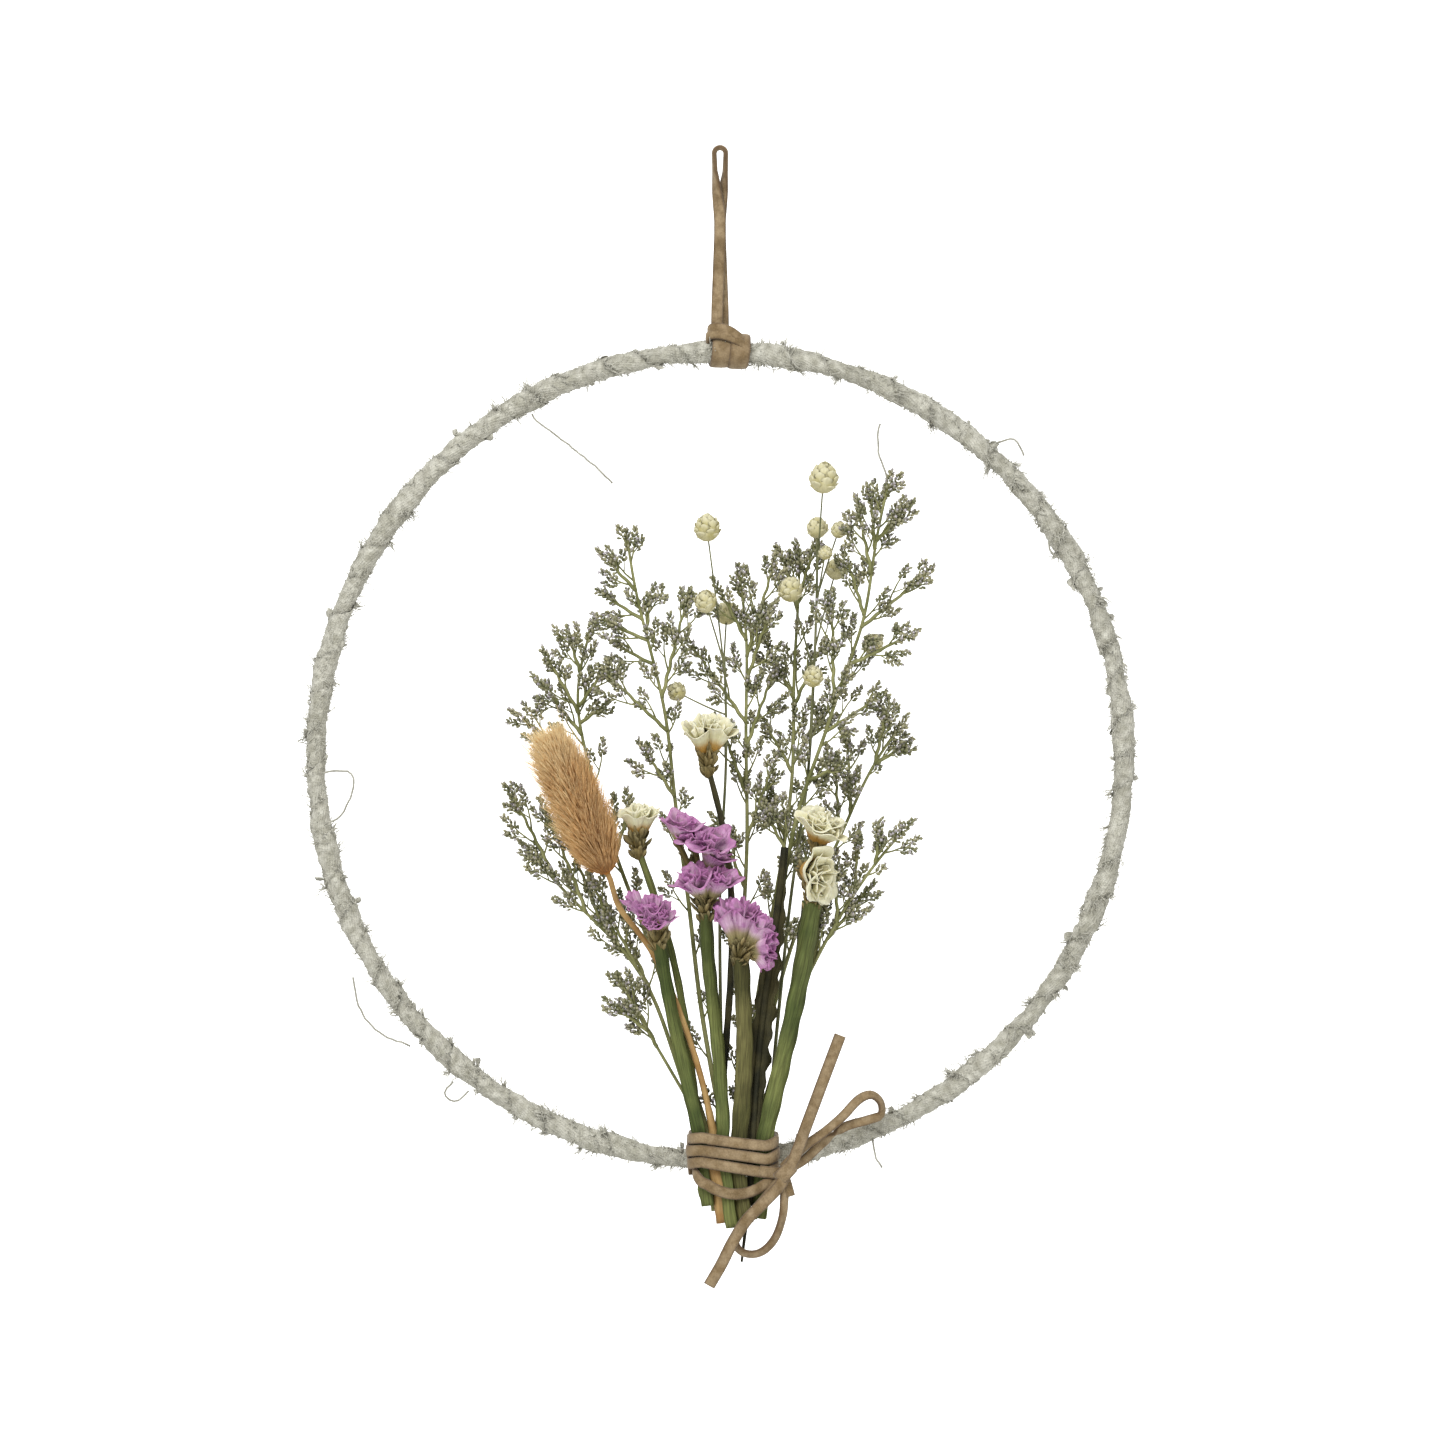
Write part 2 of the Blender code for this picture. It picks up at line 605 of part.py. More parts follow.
# Each stem: its look, its radius at the foot and at the top, and its route from foot to top
STEMS = {
    "statice_left_stem": ("stem_green", 1.3, 1.35, (
        (-2.4, -8.6, -108), (-4.1, -9.3, -98), (-4.9, -9.3, -91), (-7.6, -9.6, -79), (-10, -10.5, -70),
        (-13, -12, -59), (-15, -13.6, -47.5))),
    "bunny_tail_stem": ("straw", 0.85, 0.8, (
        (2.6, -9.6, -112), (-1.7, -9.4, -98), (-1.6, -9.2, -90), (-4.2, -9.2, -77), (-9, -9.4, -63),
        (-14, -10, -50), (-19, -11.2, -40), (-26.22, -12.87, -29.64))),
    "statice_middle_stem": ("stem_green", 1.3, 1.4, (
        (3.6, -9.8, -113), (1.1, -9.4, -98), (0, -10, -77), (-1.6, -11, -62), (-3, -12, -48),
        (-4, -13, -38))),
    "statice_right_stem": ("stem_green", 1.65, 1.7, (
        (6.6, -9.8, -112), (4.6, -9.3, -98), (5.6, -10.6, -76), (6.2, -12, -60), (5.2, -13.4, -53))),
    "white_right_stem": ("stem_green", 1.5, 2.0, (
        (9, -9, -111), (10.3, -9.2, -98), (11, -9.3, -91), (13, -9.8, -80), (16, -10.4, -68),
        (19.2, -11, -51), (23, -11.4, -36))),
    "dark_leafy_stem": ("dark_stem", 0.9, 1.3, (
        (7.4, -8, -108), (7.6, -9.4, -98), (8.8, -8.6, -76), (11, -7.6, -56), (13.4, -6.4, -41),
        (15.2, -5.4, -29), (15.6, -5, -22))),
    "white_left_stem": ("stem_green", 0.85, 0.7, (
        (-3.4, -6.9, -106.5), (-4.9, -6.75, -98), (-5, -6.75, -91), (-6.8, -6.8, -76), (-10.6, -7, -50),
        (-15.6, -7.4, -33), (-19.4, -8, -22.6))),
    "white_middle_stem": ("dark_stem", 0.8, 0.6, (
        (1.2, -6.6, -112), (-0.7, -6.75, -98), (1.2, -6.6, -70), (3.4, -6, -40), (2.4, -5, -22),
        (0.4, -4.6, -10), (-2, -4.6, -3.4))),
    "caspia_far_left": ("spray", 0.6, 0.4, (
        (-3, -5.4, -104), (-3.9, -5.15, -98), (-4.8, -5.1, -91), (-8.8, -4.4, -79), (-14, -3.6, -63),
        (-17, -3, -54), (-22.4, -2.2, -47), (-30.4, -1, -40), (-40.6, 0.6, -30), (-46, 1.6, -23.4))),
    "caspia_behind_tail": ("spray", 0.65, 0.4, (
        (-1, -6.9, -109.5), (-2.8, -6.75, -98), (-3.1, -6.7, -91), (-7.4, -5.2, -78), (-12.6, -3, -59),
        (-17.4, 0, -44), (-24, 3.4, -28), (-29, 5.6, -13), (-32, 6.6, -1), (-35, 7.2, 8), (-36, 7.4, 15),
        (-33.8, 7.6, 24), (-31.4, 7.8, 31))),
    "caspia_left_tall": ("spray", 0.65, 0.4, (
        (2.6, -6.6, -113.5), (1.5, -6.75, -98), (-1.6, -4.6, -78), (-5, -2.4, -59), (-7.4, -0.6, -36),
        (-10, 0.4, -18), (-11.8, 0.6, -4), (-12.2, 0.4, 7), (-15, 0, 19), (-18, -0.4, 30),
        (-21.2, -1, 42), (-22.4, -1.4, 52.6))),
    "caspia_centre": ("spray", 0.65, 0.4, (
        (4.5, -6.6, -114), (3.5, -6.75, -98), (4.2, -4.2, -78), (5, -1, -58), (5.8, 2, -36),
        (6.8, 4, -22), (6.4, 5.4, -4), (6.2, 6, 14), (7, 6.2, 28), (4.6, 6.4, 44.6))),
    "caspia_centre_right": ("spray", 0.65, 0.4, (
        (6.4, -6.6, -113), (5.6, -6.75, -98), (6.6, -3.2, -78), (9.6, 2, -55), (14, 6.6, -32),
        (17.6, 9.4, -8), (18.2, 10, 6), (17.6, 10.4, 19), (19, 10.6, 32), (19.4, 10.8, 47.4))),
    "caspia_right_tall": ("spray", 0.65, 0.4, (
        (8.4, -7, -111.5), (9.3, -6.75, -98), (10.2, -5.8, -78), (13, -4, -50), (16, -2, -26),
        (20, -0.8, -8), (25.2, -0.2, 3), (28, 0, 14), (30.4, 0, 22), (35.4, 0, 31), (36.4, 0, 41),
        (37, -0.2, 50), (40.8, -0.4, 66))),
    "caspia_right": ("spray", 0.6, 0.4, (
        (4.6, -5.3, -104), (4.4, -5.2, -98), (4.9, -5.1, -91), (9.2, -1.4, -76), (14, 3, -57),
        (20, 5.6, -38), (28, 7, -23), (31.4, 7.4, -16), (34.4, 7.6, -6), (39, 7.6, 1), (43.6, 7.4, 7))),
    "caspia_right_low": ("spray", 0.6, 0.4, (
        (7, -5.3, -104), (7.4, -5.2, -98), (8.4, -5.1, -91), (12.4, -5.2, -78), (17.6, -6.2, -60),
        (24, -7.4, -47), (29, -7.8, -38), (34, -8, -30), (39, -8, -23), (44, -7.8, -18))),
    "caspia_low_left": ("spray", 0.5, 0.35, (
        (-1, -5.4, -103), (-1.8, -5.2, -98), (-3, -5.1, -91), (-6.2, -5.6, -86), (-10.4, -6.6, -78),
        (-15.6, -7.6, -69), (-19.6, -8.2, -63), (-24, -8.8, -54))),
    "globe_stems_left": ("thin_stem", 0.5, 0.3, (
        (0.6, -5.4, -103), (0.6, -5.2, -98), (0.6, -5.1, -91), (0.4, -2.4, -76), (0, 1.6, -52), (0, 3.4, -26),
        (1.6, 3.6, -4), (1.4, 3.2, 14), (1, 2.6, 25))),
    "globe_stems_right": ("thin_stem", 0.5, 0.3, (
        (10.2, -7, -108.5), (11.1, -6.7, -98), (12.6, -2.6, -78), (15, 1, -54), (17.6, 2.6, -30),
        (21.4, 3.6, -6), (22.6, 4, 16), (23.4, 4, 34), (23.6, 4, 47))),
}

# Branches of each spray: the height where one leaves the stem, and where it ends
BRANCHES = {
    "caspia_far_left": (
        (-31, (-50, -1, -10)), (-38, (-42, -5, -13)), (-42, (-37, 4, -20)), (-46, (-31, -2, -30)),
        (-52, (-27, 3, -38)), (-58, (-22, 2, -45))),
    "caspia_behind_tail": (
        (-2, (-48, 4, 9)), (5, (-44, 9, 18)), (10, (-42, 4, 24)), (8, (-28.6, 11, 12)),
        (12, (-28, 5, 21)), (20, (-37, 12, 29)), (-14, (-38, 10, -2)), (-24, (-22, 9, -12))),
    "caspia_left_tall": (
        (40, (-27, -4, 47)), (33, (-28, 2, 39)), (28, (-28.4, -3, 33)), (6, (-28, -1, 20.5)),
        (30, (-16.6, 3, 39)), (14, (-8, 2, 38)), (-10, (-18, -5, 1)),
        (22, (-25, 4, 27))),
    "caspia_centre": (
        (24, (13, 9, 46)), (28, (0, 3, 40)), (18, (12, 3, 35)),
        (8, (-7, 9, 27)), (2, (13, 8, 20)), (-10, (0, 9, 8)), (-20, (13, 3, -2)), (-32, (-1, 5, -16))),
    "caspia_centre_right": (
        (36, (15, 14, 49)), (38, (23, 7, 51)), (14, (11, 13, 28)), (12, (25, 13, 27)),
        (-4, (11, 12, 8)), (-2, (25, 11, 10)), (-20, (11, 10, -10)), (-26, (23, 12, -14))),
    "caspia_right_tall": (
        (44, (33.6, -4, 58)), (50, (36.6, 3, 62.6)), (31, (50.4, 2, 44.6)), (52, (45, -3, 60)),
        (22, (45, -3, 29)), (12, (27, -4, 37)), (34, (31, 4, 47)), (6, (38, 3, 14)), (-6, (29, -4, -2)),
        (-24, (11, 2, -14))),
    "caspia_right": (
        (-2, (40.4, 4, 11)), (-14, (31, 11, 4)), (-20, (28, 3, -4)), (-34, (20, 10, -20)),
        (-2, (45.6, 10, 3))),
    "caspia_right_low": (
        (-33, (33, -4, -22)), (-40, (28, -11, -26)), (-26, (38.4, -11, -17)), (-50, (25, -4, -36)),
        (-44, (35, -5, -33))),
    "caspia_low_left": ((-70, (-22, -4, -57)), (-66, (-25, -11, -60))),
}

# Stalks of the cream globes: the height where each leaves its stem, and the globe's centre and size
GLOBES = {
    "globe_stems_left": (
        (20, (-3, -1, 55), 3.6), (10, (-10.4, 4.6, 15.4), 2.6), (22, (-3.2, 0.4, 37), 3.0),
        (24, (1.6, 2.2, 34.6), 3.2)),
    "globe_stems_right": (
        (44, (25, 2.6, 67.2), 4.0), (40, (23.6, 6.8, 55.4), 2.9), (38, (28.6, 2.2, 54.6), 2.2),
        (26, (28, 5.8, 45.2), 2.9), (36, (25.4, 0, 49), 1.9), (20, (17.4, 1, 40), 3.3),
        (4, (37, 5.4, 27), 2.8), (-2, (22.4, -2.6, 19), 2.8)),
}

# Florets of each papery head: where each one's throat is, where it faces, its length and mouth radius
HEADS = {
    "statice_left_petals": ("lilac_petal", "statice_left_stem", (-14.8, -14.4, -42.6), (0.0, -0.25, 1.0), (
        ((-0.6, 0, 1.2), (-0.12, -0.3, 1.0), 9.2, 3.7), ((0.6, 0, 1.0), (0.25, -0.6, 0.9), 7.2, 3.2),
        ((-0.4, -0.5, 1.4), (-0.25, -1.0, 0.75), 5.0, 3.1),
        ((-2.0, 0.5, 2.4), (-0.72, -0.1, 1.0), 9.4, 2.3))),
    "statice_middle_petals": ("lilac_petal", "statice_middle_stem", (-3.4, -14.2, -35.6), (0, -0.2, 1.0), (
        ((-0.4, -0.2, 1.2), (-0.45, -0.5, 1.0), 7.4, 3.7), ((1.2, 0, 1.4), (0.35, -0.5, 1.0), 7.4, 3.6),
        ((1.0, 0.4, 10.0), (0.1, -0.75, 0.9), 6.2, 4.2), ((-6.4, 0.8, 15.0), (0.15, -0.35, 1.0), 6.2, 4.2),
        ((0.2, 1.0, 8.6), (0.45, -0.2, 1.0), 6.4, 3.2))),
    "statice_right_petals": ("lilac_petal", "statice_right_stem", (5.2, -15.2, -46.4), (0.3, -0.25, 1), (
        ((-1.4, 0, 1.2), (-0.32, -0.12, 1.0), 10.8, 2.9), ((-0.2, -0.2, 1.4), (0.06, -0.18, 1.0), 10.4, 3.5),
        ((1.2, 0, 1.0), (0.62, -0.15, 0.9), 8.6, 3.5), ((1.7, 0.1, -0.1), (1.0, -0.15, 0.3), 6.6, 3.2),
        ((2.4, 0.2, -0.5), (0.85, -0.1, -0.5), 5.6, 2.6))),
    "white_left_petals": ("cream_petal", "white_left_stem", (-19.6, -9.0, -20.2), (0.0, -0.2, 1.0), (
        ((-0.4, 0, 1.0), (-0.1, -0.35, 1.0), 7.8, 3.2), ((0.8, 0, 1.0), (0.22, -0.1, 1.0), 7.6, 3.0))),
    "white_middle_petals": ("cream_petal", "white_middle_stem", (-2.8, -5.4, -0.6), (0.0, -0.2, 1.0), (
        ((-0.9, 0, 1.0), (-0.28, -0.45, 1.0), 9.0, 3.5), ((0.9, 0, 1.0), (0.32, -0.3, 1.0), 9.2, 3.4),
        ((0, 0.4, 1.2), (0.0, 0.2, 1.0), 8.8, 3.1))),
    "white_right_petals": ("cream_petal", "white_right_stem", (22.4, -12.6, -33.0), (0.1, -0.2, 1.0), (
        ((-3.0, -0.4, 6.0), (0.75, -0.55, -0.15), 6.6, 5.0), ((-1.2, -0.2, 3.6), (0.35, -1.0, 0.2), 4.2, 4.2),
        ((0.4, 0.2, 12.4), (0.2, -0.35, 1.0), 6.6, 4.8), ((1.2, 0.2, 12.2), (0.55, -0.7, 0.6), 5.4, 4.4))),
}
STEM_RIDGE = 0.22
BRACTS = 4
BRACT_SPREAD = 2.6
BRACT_NOTCH = 0.4
CORE_HALF_LENGTH = 1.5
CORE_RADIUS = 1.7

BUNNY_FOOT = np.array([-26.4, -12.9, -29.4])
BUNNY_TOP = np.array([-41.0, -14.2, 4.6])
BUNNY_CORE_RADIUS = 4.9
BUNNY_AWNS = 30
BUNNY_REACH = 2.4
AWN_RADIUS = 0.62
GOLDEN_ANGLE = 2.39996


def head_balls():
    """Balls that the stems keep clear of: each one's centre, its radius and the stem that may touch it."""
    balls = []
    for _, stem, centre, _, florets in HEADS.values():
        for place, way, length, mouth in florets:
            middle = np.array(centre) + place + 0.6 * length * unit(way)
            balls.append((middle, 0.5 * (mouth + length), stem))
        balls.append((np.array(centre), CORE_RADIUS + 0.5, stem))
    for share in np.linspace(0.0, 1.0, 9):
        middle = BUNNY_FOOT + share * (BUNNY_TOP - BUNNY_FOOT)
        balls.append((middle, BUNNY_CORE_RADIUS + 1.3, "bunny_tail_stem"))
    return balls


def push_from_stems(points, radius, owner, free):
    """How far each stem point has to move sideways to clear the points of the other stems."""
    apart = points[:, None] - points[None]
    distance = np.linalg.norm(apart, axis=2)
    need = radius[:, None] + radius[None] + GAP + STEM_MARGIN
    close = (distance < need) & (owner[:, None] != owner[None])
    apart = apart * (0.6, 1.0, 0.1)
    length = np.maximum(np.linalg.norm(apart, axis=2), 1e-6)
    share = np.where(free[None], 0.5, 1.0)
    push = np.where(close, share * (need - distance) / length, 0.0)
    return (push[:, :, None] * apart).sum(axis=1) / np.maximum(close.sum(axis=1), 1)[:, None]


def push_from_balls(points, radius, owner, balls):
    """How far each stem point has to move to clear the balls that its own stem doesn't carry."""
    centres = np.array([centre for centre, _, _ in balls])
    reach = np.array([size for _, size, _ in balls])
    keeper = np.array([list(STEMS).index(stem) for _, _, stem in balls])
    apart = points[:, None] - centres[None]
    distance = np.linalg.norm(apart, axis=2)
    need = radius[:, None] + reach[None] + GAP
    close = (distance < need) & (owner[:, None] != keeper[None])
    push = np.where(close, (need - distance) / np.maximum(distance, 1e-6), 0.0)
    return (push[:, :, None] * apart).sum(axis=1)


def relaxed_stems():
    """The stems at an even spacing, bent apart wherever two would touch.

    Their tops and what the binding holds stay where they were written.
    """
    routes = [smooth(route, STEM_SPACING) for _, _, _, route in STEMS.values()]
    lengths = np.array([len(route) for route in routes])
    owner = np.repeat(np.arange(len(routes)), lengths)
    points = np.concatenate(routes)
    radius = np.concatenate(
        [np.linspace(low, high, count) for (_, low, high, _), count in zip(STEMS.values(), lengths)]
    )
    tops = np.cumsum(lengths) - 1
    free = (points[:, 2] >= SLOT_TOP) | (points[:, 2] <= SLOT_BOTTOM)
    free[tops] = False
    inner = free.copy()
    inner[tops - lengths + 1] = False
    balls = head_balls()
    for _ in range(RELAX_ROUNDS):
        move = push_from_stems(points, radius, owner, free)
        move += push_from_balls(points, radius, owner, balls)
        points[free] += 0.6 * move[free]
        middle = 0.5 * (np.roll(points, 1, axis=0) + np.roll(points, -1, axis=0))
        points[inner] += 0.12 * (middle - points)[inner]
    return {name: points[owner == i] for i, name in enumerate(STEMS)}


def at_height(centres, height):
    """The point of a faceted stem's centre line at a height."""
    heights = centres[:, 2]
    return np.array([np.interp(height, heights, centres[:, k]) for k in range(3)])


def arc(start, end, lean, count=3):
    """A twig's route: it leaves along the way up and then turns out to its tip."""
    start, end = np.asarray(start, float), np.asarray(end, float) + (0.0, lean, 0.0)
    knee = start + 0.5 * (end - start) * (0.9, 1.0, 1.0) + (0.0, 0.0, -0.06 * abs(end[0] - start[0]))
    points = []
    for i in range(count):
        t = i / (count - 1)
        points.append((1 - t) ** 2 * start + 2 * t * (1 - t) * knee + t**2 * end)
    return np.array(points)


def flowering_twig(route, low_radius, whorls, rng):
    """A twig whose outer end carries whorls of three pointed florets, each turned from the last.

    It comes with the centre line that its facets follow.
    """
    fine = smooth(route, 0.5)
    along = np.concatenate([[0.0], np.cumsum(np.linalg.norm(np.diff(fine, axis=0), axis=1))])
    whorls = min(whorls, int((along[-1] - 2.0) / WHORL_STEP))
    first_whorl = along[-1] - whorls * WHORL_STEP
    bare = max(2, round(first_whorl / STEM_FACETS) + 1)
    stops = list(np.linspace(0.0, first_whorl - 0.4 * WHORL_STEP, bare))
    radii = list(np.linspace(low_radius, TWIG_RADIUS, bare))
    turns = [rng.uniform(0.0, 120.0)] * bare
    for i in range(whorls):
        start = first_whorl + i * WHORL_STEP
        size = WHORL_RADIUS * rng.uniform(0.8, 1.15) * (1.0 - 0.35 * i / whorls)
        stops += [start, start + WHORL_LENGTH]
        radii += [TWIG_TIP_RADIUS, size]
        turns += [turns[-1], turns[-1] - 60.0]
    stops.append(along[-1] + TIP_OVERRUN)
    radii.append(TIP_RADIUS)
    turns.append(turns[-1])
    stops = np.array(stops)
    centres = np.stack([np.interp(stops, along, fine[:, k]) for k in range(3)], axis=1)
    tangents = tangents_of(fine)
    ways = np.stack([np.interp(stops, along, tangents[:, k]) for k in range(3)], axis=1)
    centres[-1] += TIP_OVERRUN * ways[-1]
    ways = ways / np.linalg.norm(ways, axis=1)[:, None]
    return tube(centres, radii, 3, turns=turns, tangents=ways), centres


def add_spray(name, route, room, rng):
    """A caspia spray: its stem and branches, with florets in whorls, in one body."""
    look, low, _, _ = STEMS[name]
    main_stem, centres = flowering_twig(route, low, TOP_WHORLS, rng)
    pieces = [main_stem]
    for height, tip in BRANCHES[name]:
        start = at_height(centres, height)
        for lean in LEAN_CHOICES:
            branch = arc(start, tip, lean)
            if room.is_free(name, branch[1:], WHORL_RADIUS):
                break
        else:
            print(name, "has no room for the branch at", height)
            continue
        pieces.append(flowering_twig(branch, TWIG_RADIUS, TWIG_WHORLS, rng)[0])
        room.add(name, branch[:2], TWIG_RADIUS)
        room.add(name, branch[1:], WHORL_RADIUS)
    add_solid(name, look, pieces)


def add_globes(name, route, room, rng):
    """A branching thin stem, and a globe of small scale-like petals at the end of each stalk."""
    look, low, high, _ = STEMS[name]
    centres = smooth(route, STEM_FACETS)
    pieces = [rod(route, low, high, 3)]
    for number, (height, centre, size) in enumerate(GLOBES[name], start=1):
        start = at_height(centres, height)
        centre = np.array(centre, float)
        for lean in LEAN_CHOICES:
            middle = centre + (0.0, lean, 0.0)
            stalk = arc(start, middle, 0.0, 4)
            way = unit(stalk[-1] - stalk[-2])
            stalk[-1] = middle - (size + 1.5 * GAP) * way
            globe = f"{name.replace('stems', 'flower')}_{number}"
            clear = room.is_free(name, stalk[1:], 0.3)
            if clear and room.is_free(globe, [middle, middle + 0.1 * way], size + 0.5):
                break
        else:
            print(name, "has no room for globe", number)
            continue
        pieces.append(tube(stalk, STALK_RADIUS, 3))
        room.add(name, stalk, STALK_RADIUS)
        room.add(globe, [middle, middle + 0.1 * way], size + 0.4)
        points, faces = ball(middle, way, size, size, GLOBE_ROWS, GLOBE_SIDES)
        for i in range(1, len(points), 2):
            points[i] = middle + GLOBE_FOLD * (points[i] - middle) - GLOBE_SCALE_DROP * size * way
        add_solid(globe, "globe", [(points, faces)])
    add_solid(name, look, pieces)


def add_head(name, rng):
    """The papery florets of one head, on a small core that they stand out of."""
    look, _, centre, axis, florets = HEADS[name]
    centre = np.array(centre, float)
    throats = [centre + place for place, _, _, _ in florets]
    pieces = [ball(centre, axis, CORE_HALF_LENGTH, CORE_RADIUS, 4, 7)]
    for throat, (_, way, length, mouth) in zip(throats, florets):
        pieces.append(funnel(throat, way, length, mouth, rng))
        if np.linalg.norm(throat - centre) > FAR_FLORET:
            pieces.append(tube([centre, throat + 0.4 * unit(way)], SPUR_RADIUS, SPUR_SIDES))
    add_solid(name, look, pieces)


def add_head_stem(name, route):
    """A flower's stem, which opens into a cup of pointed bracts just below the florets."""
    look, low, high, _ = STEMS[name]
    centre, axis = next((c, unit(a)) for _, owner, c, a, _ in HEADS.values() if owner == name)
    rim = centre - (CORE_HALF_LENGTH + GAP + 0.2) * axis
    points = smooth(np.vstack([route[:-2], rim - 4.0 * axis]), STEM_FACETS)
    radii = list(np.linspace(low, high, len(points)))
    ridges = [STEM_RIDGE] * len(points)
    points = np.vstack([points, rim - 2.4 * axis, rim, rim - 0.6 * axis])
    radii += [1.15 * high, BRACT_SPREAD, 0.5 * high]
    ridges += [STEM_RIDGE, BRACT_NOTCH, 0.0]
    add_solid(name, look, [tube(points, radii, 2 * BRACTS, ridges)])


def add_bunny_tail(route, rng):
    """The straw stem and the soft oval head, with awns that lean towards its top."""
    look, low, high, _ = STEMS["bunny_tail_stem"]
    add_solid("bunny_tail_stem", look, [rod(route, low, high, 6)])
    axis = unit(BUNNY_TOP - BUNNY_FOOT)
    half = 0.5 * np.linalg.norm(BUNNY_TOP - BUNNY_FOOT)
    middle = 0.5 * (BUNNY_TOP + BUNNY_FOOT)
    first, second = square_to(axis)
    pieces = [ball(middle, axis, half, BUNNY_CORE_RADIUS, 7, 8)]
    for i in range(BUNNY_AWNS):
        height = -0.93 + 1.86 * (i + 0.5) / BUNNY_AWNS
        angle = GOLDEN_ANGLE * i
        outwards = math.cos(angle) * first + math.sin(angle) * second
        skin = middle + half * height * axis
        skin = skin + 0.8 * BUNNY_CORE_RADIUS * math.sqrt(1.0 - height**2) * outwards
        way = unit(axis + (0.5 - 0.25 * height) * outwards)
        length = rng.uniform(4.2, 6.0)
        pieces.append(bud(skin - AWN_RADIUS * way, skin + length * way, AWN_RADIUS, 3, 0.35))
    add_solid("bunny_tail_head", "bunny_tail", pieces)


def clear_scene():
    """Remove the objects that Blender starts with."""
    for found in list(bpy.data.objects):
        bpy.data.objects.remove(found)


def room_taken(stems):
    """The room that the stems and the heads take, before any branch or globe is placed."""
    room = Room()
    for name, route in stems.items():
        room.add(name, route, STEMS[name][1])
    for name, (_, _, centre, _, florets) in HEADS.items():
        for place, way, length, mouth in florets:
            throat = np.array(centre) + place
            room.add(name, [throat, throat + length * unit(way)], mouth)
    room.add("bunny_tail_head", [BUNNY_FOOT, BUNNY_TOP], BUNNY_CORE_RADIUS + BUNNY_REACH)
    return room


def main():
    """Build every piece, the hoop first and the small repeats after the stems that carry them."""
    clear_scene()
    rng = random.Random(11)
    build_hoop()
    build_hanging_lace()
    build_binding_lace()
    stems = relaxed_stems()
    room = room_taken(stems)
    for name in GLOBES:
        add_globes(name, stems[name], room, rng)
    for name in BRANCHES:
        add_spray(name, stems[name], room, rng)
    for name, (_, stem, _, _, _) in HEADS.items():
        add_head(name, rng)
        add_head_stem(stem, stems[stem])
    look, low, high, _ = STEMS["dark_leafy_stem"]
    add_solid("dark_leafy_stem", look, [rod(stems["dark_leafy_stem"], low, high, 6, 0.3)])
    add_bunny_tail(stems["bunny_tail_stem"], rng)


main()
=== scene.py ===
"""Looks of the dried flower hanger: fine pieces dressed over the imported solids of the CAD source.

Every route is written in millimetres from the centre of the hoop, as in the CAD source, and
to_world turns it into metres from the top of the hanging loop. +Z is up and the bunch of flowers is
in front of the hoop, towards -Y.
"""

from __future__ import annotations

import logging
import math
from dataclasses import dataclass, field
from enum import Enum
from typing import Iterable, Sequence

import bpy
import numpy as np
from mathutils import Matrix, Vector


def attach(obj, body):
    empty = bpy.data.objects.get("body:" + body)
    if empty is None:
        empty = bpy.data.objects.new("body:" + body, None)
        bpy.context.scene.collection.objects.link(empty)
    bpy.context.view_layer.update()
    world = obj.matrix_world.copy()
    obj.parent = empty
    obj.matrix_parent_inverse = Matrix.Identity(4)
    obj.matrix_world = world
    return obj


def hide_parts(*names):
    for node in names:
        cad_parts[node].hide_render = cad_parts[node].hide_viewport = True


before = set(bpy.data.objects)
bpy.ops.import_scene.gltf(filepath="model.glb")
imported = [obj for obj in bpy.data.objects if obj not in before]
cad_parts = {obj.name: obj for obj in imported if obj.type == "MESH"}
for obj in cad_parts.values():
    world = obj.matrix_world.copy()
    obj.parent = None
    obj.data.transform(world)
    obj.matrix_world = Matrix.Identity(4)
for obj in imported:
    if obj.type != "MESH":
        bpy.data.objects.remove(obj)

Array = np.ndarray
Colour = tuple[float, float, float]
Point = tuple[float, float, float]

MM = 0.001
HANG_DROP = 146.6
GAP = 0.3
ROOT = "root"
VALUE_NAMES = ("tone", "tip", "foot", "along", "across")
GOLDEN_ANGLE = 2.39996
LOG = logging.getLogger("dried_flower_hanger")


# Routes and small vector sums


def to_world(points: Array) -> Array:
    """Metres in the world for points in millimetres from the hoop's centre."""
    return (np.asarray(points, float) - (0.0, 0.0, HANG_DROP)) * MM


def unit(vectors: Array) -> Array:
    """The vectors at length one, along their last axis."""
    vectors = np.asarray(vectors, float)
    return vectors / np.maximum(np.linalg.norm(vectors, axis=-1, keepdims=True), 1e-9)


def square_to(direction: Array) -> tuple[Array, Array]:
    """Two unit vectors at right angles to a direction and to each other.

    Args:
        direction: A unit vector.

    Returns:
        The two vectors, which turn from one to the next about the direction.
    """
    helper = (0.0, 1.0, 0.0) if abs(direction[1]) < 0.8 else (1.0, 0.0, 0.0)
    first = unit(np.cross(direction, helper))
    return first, np.cross(direction, first)


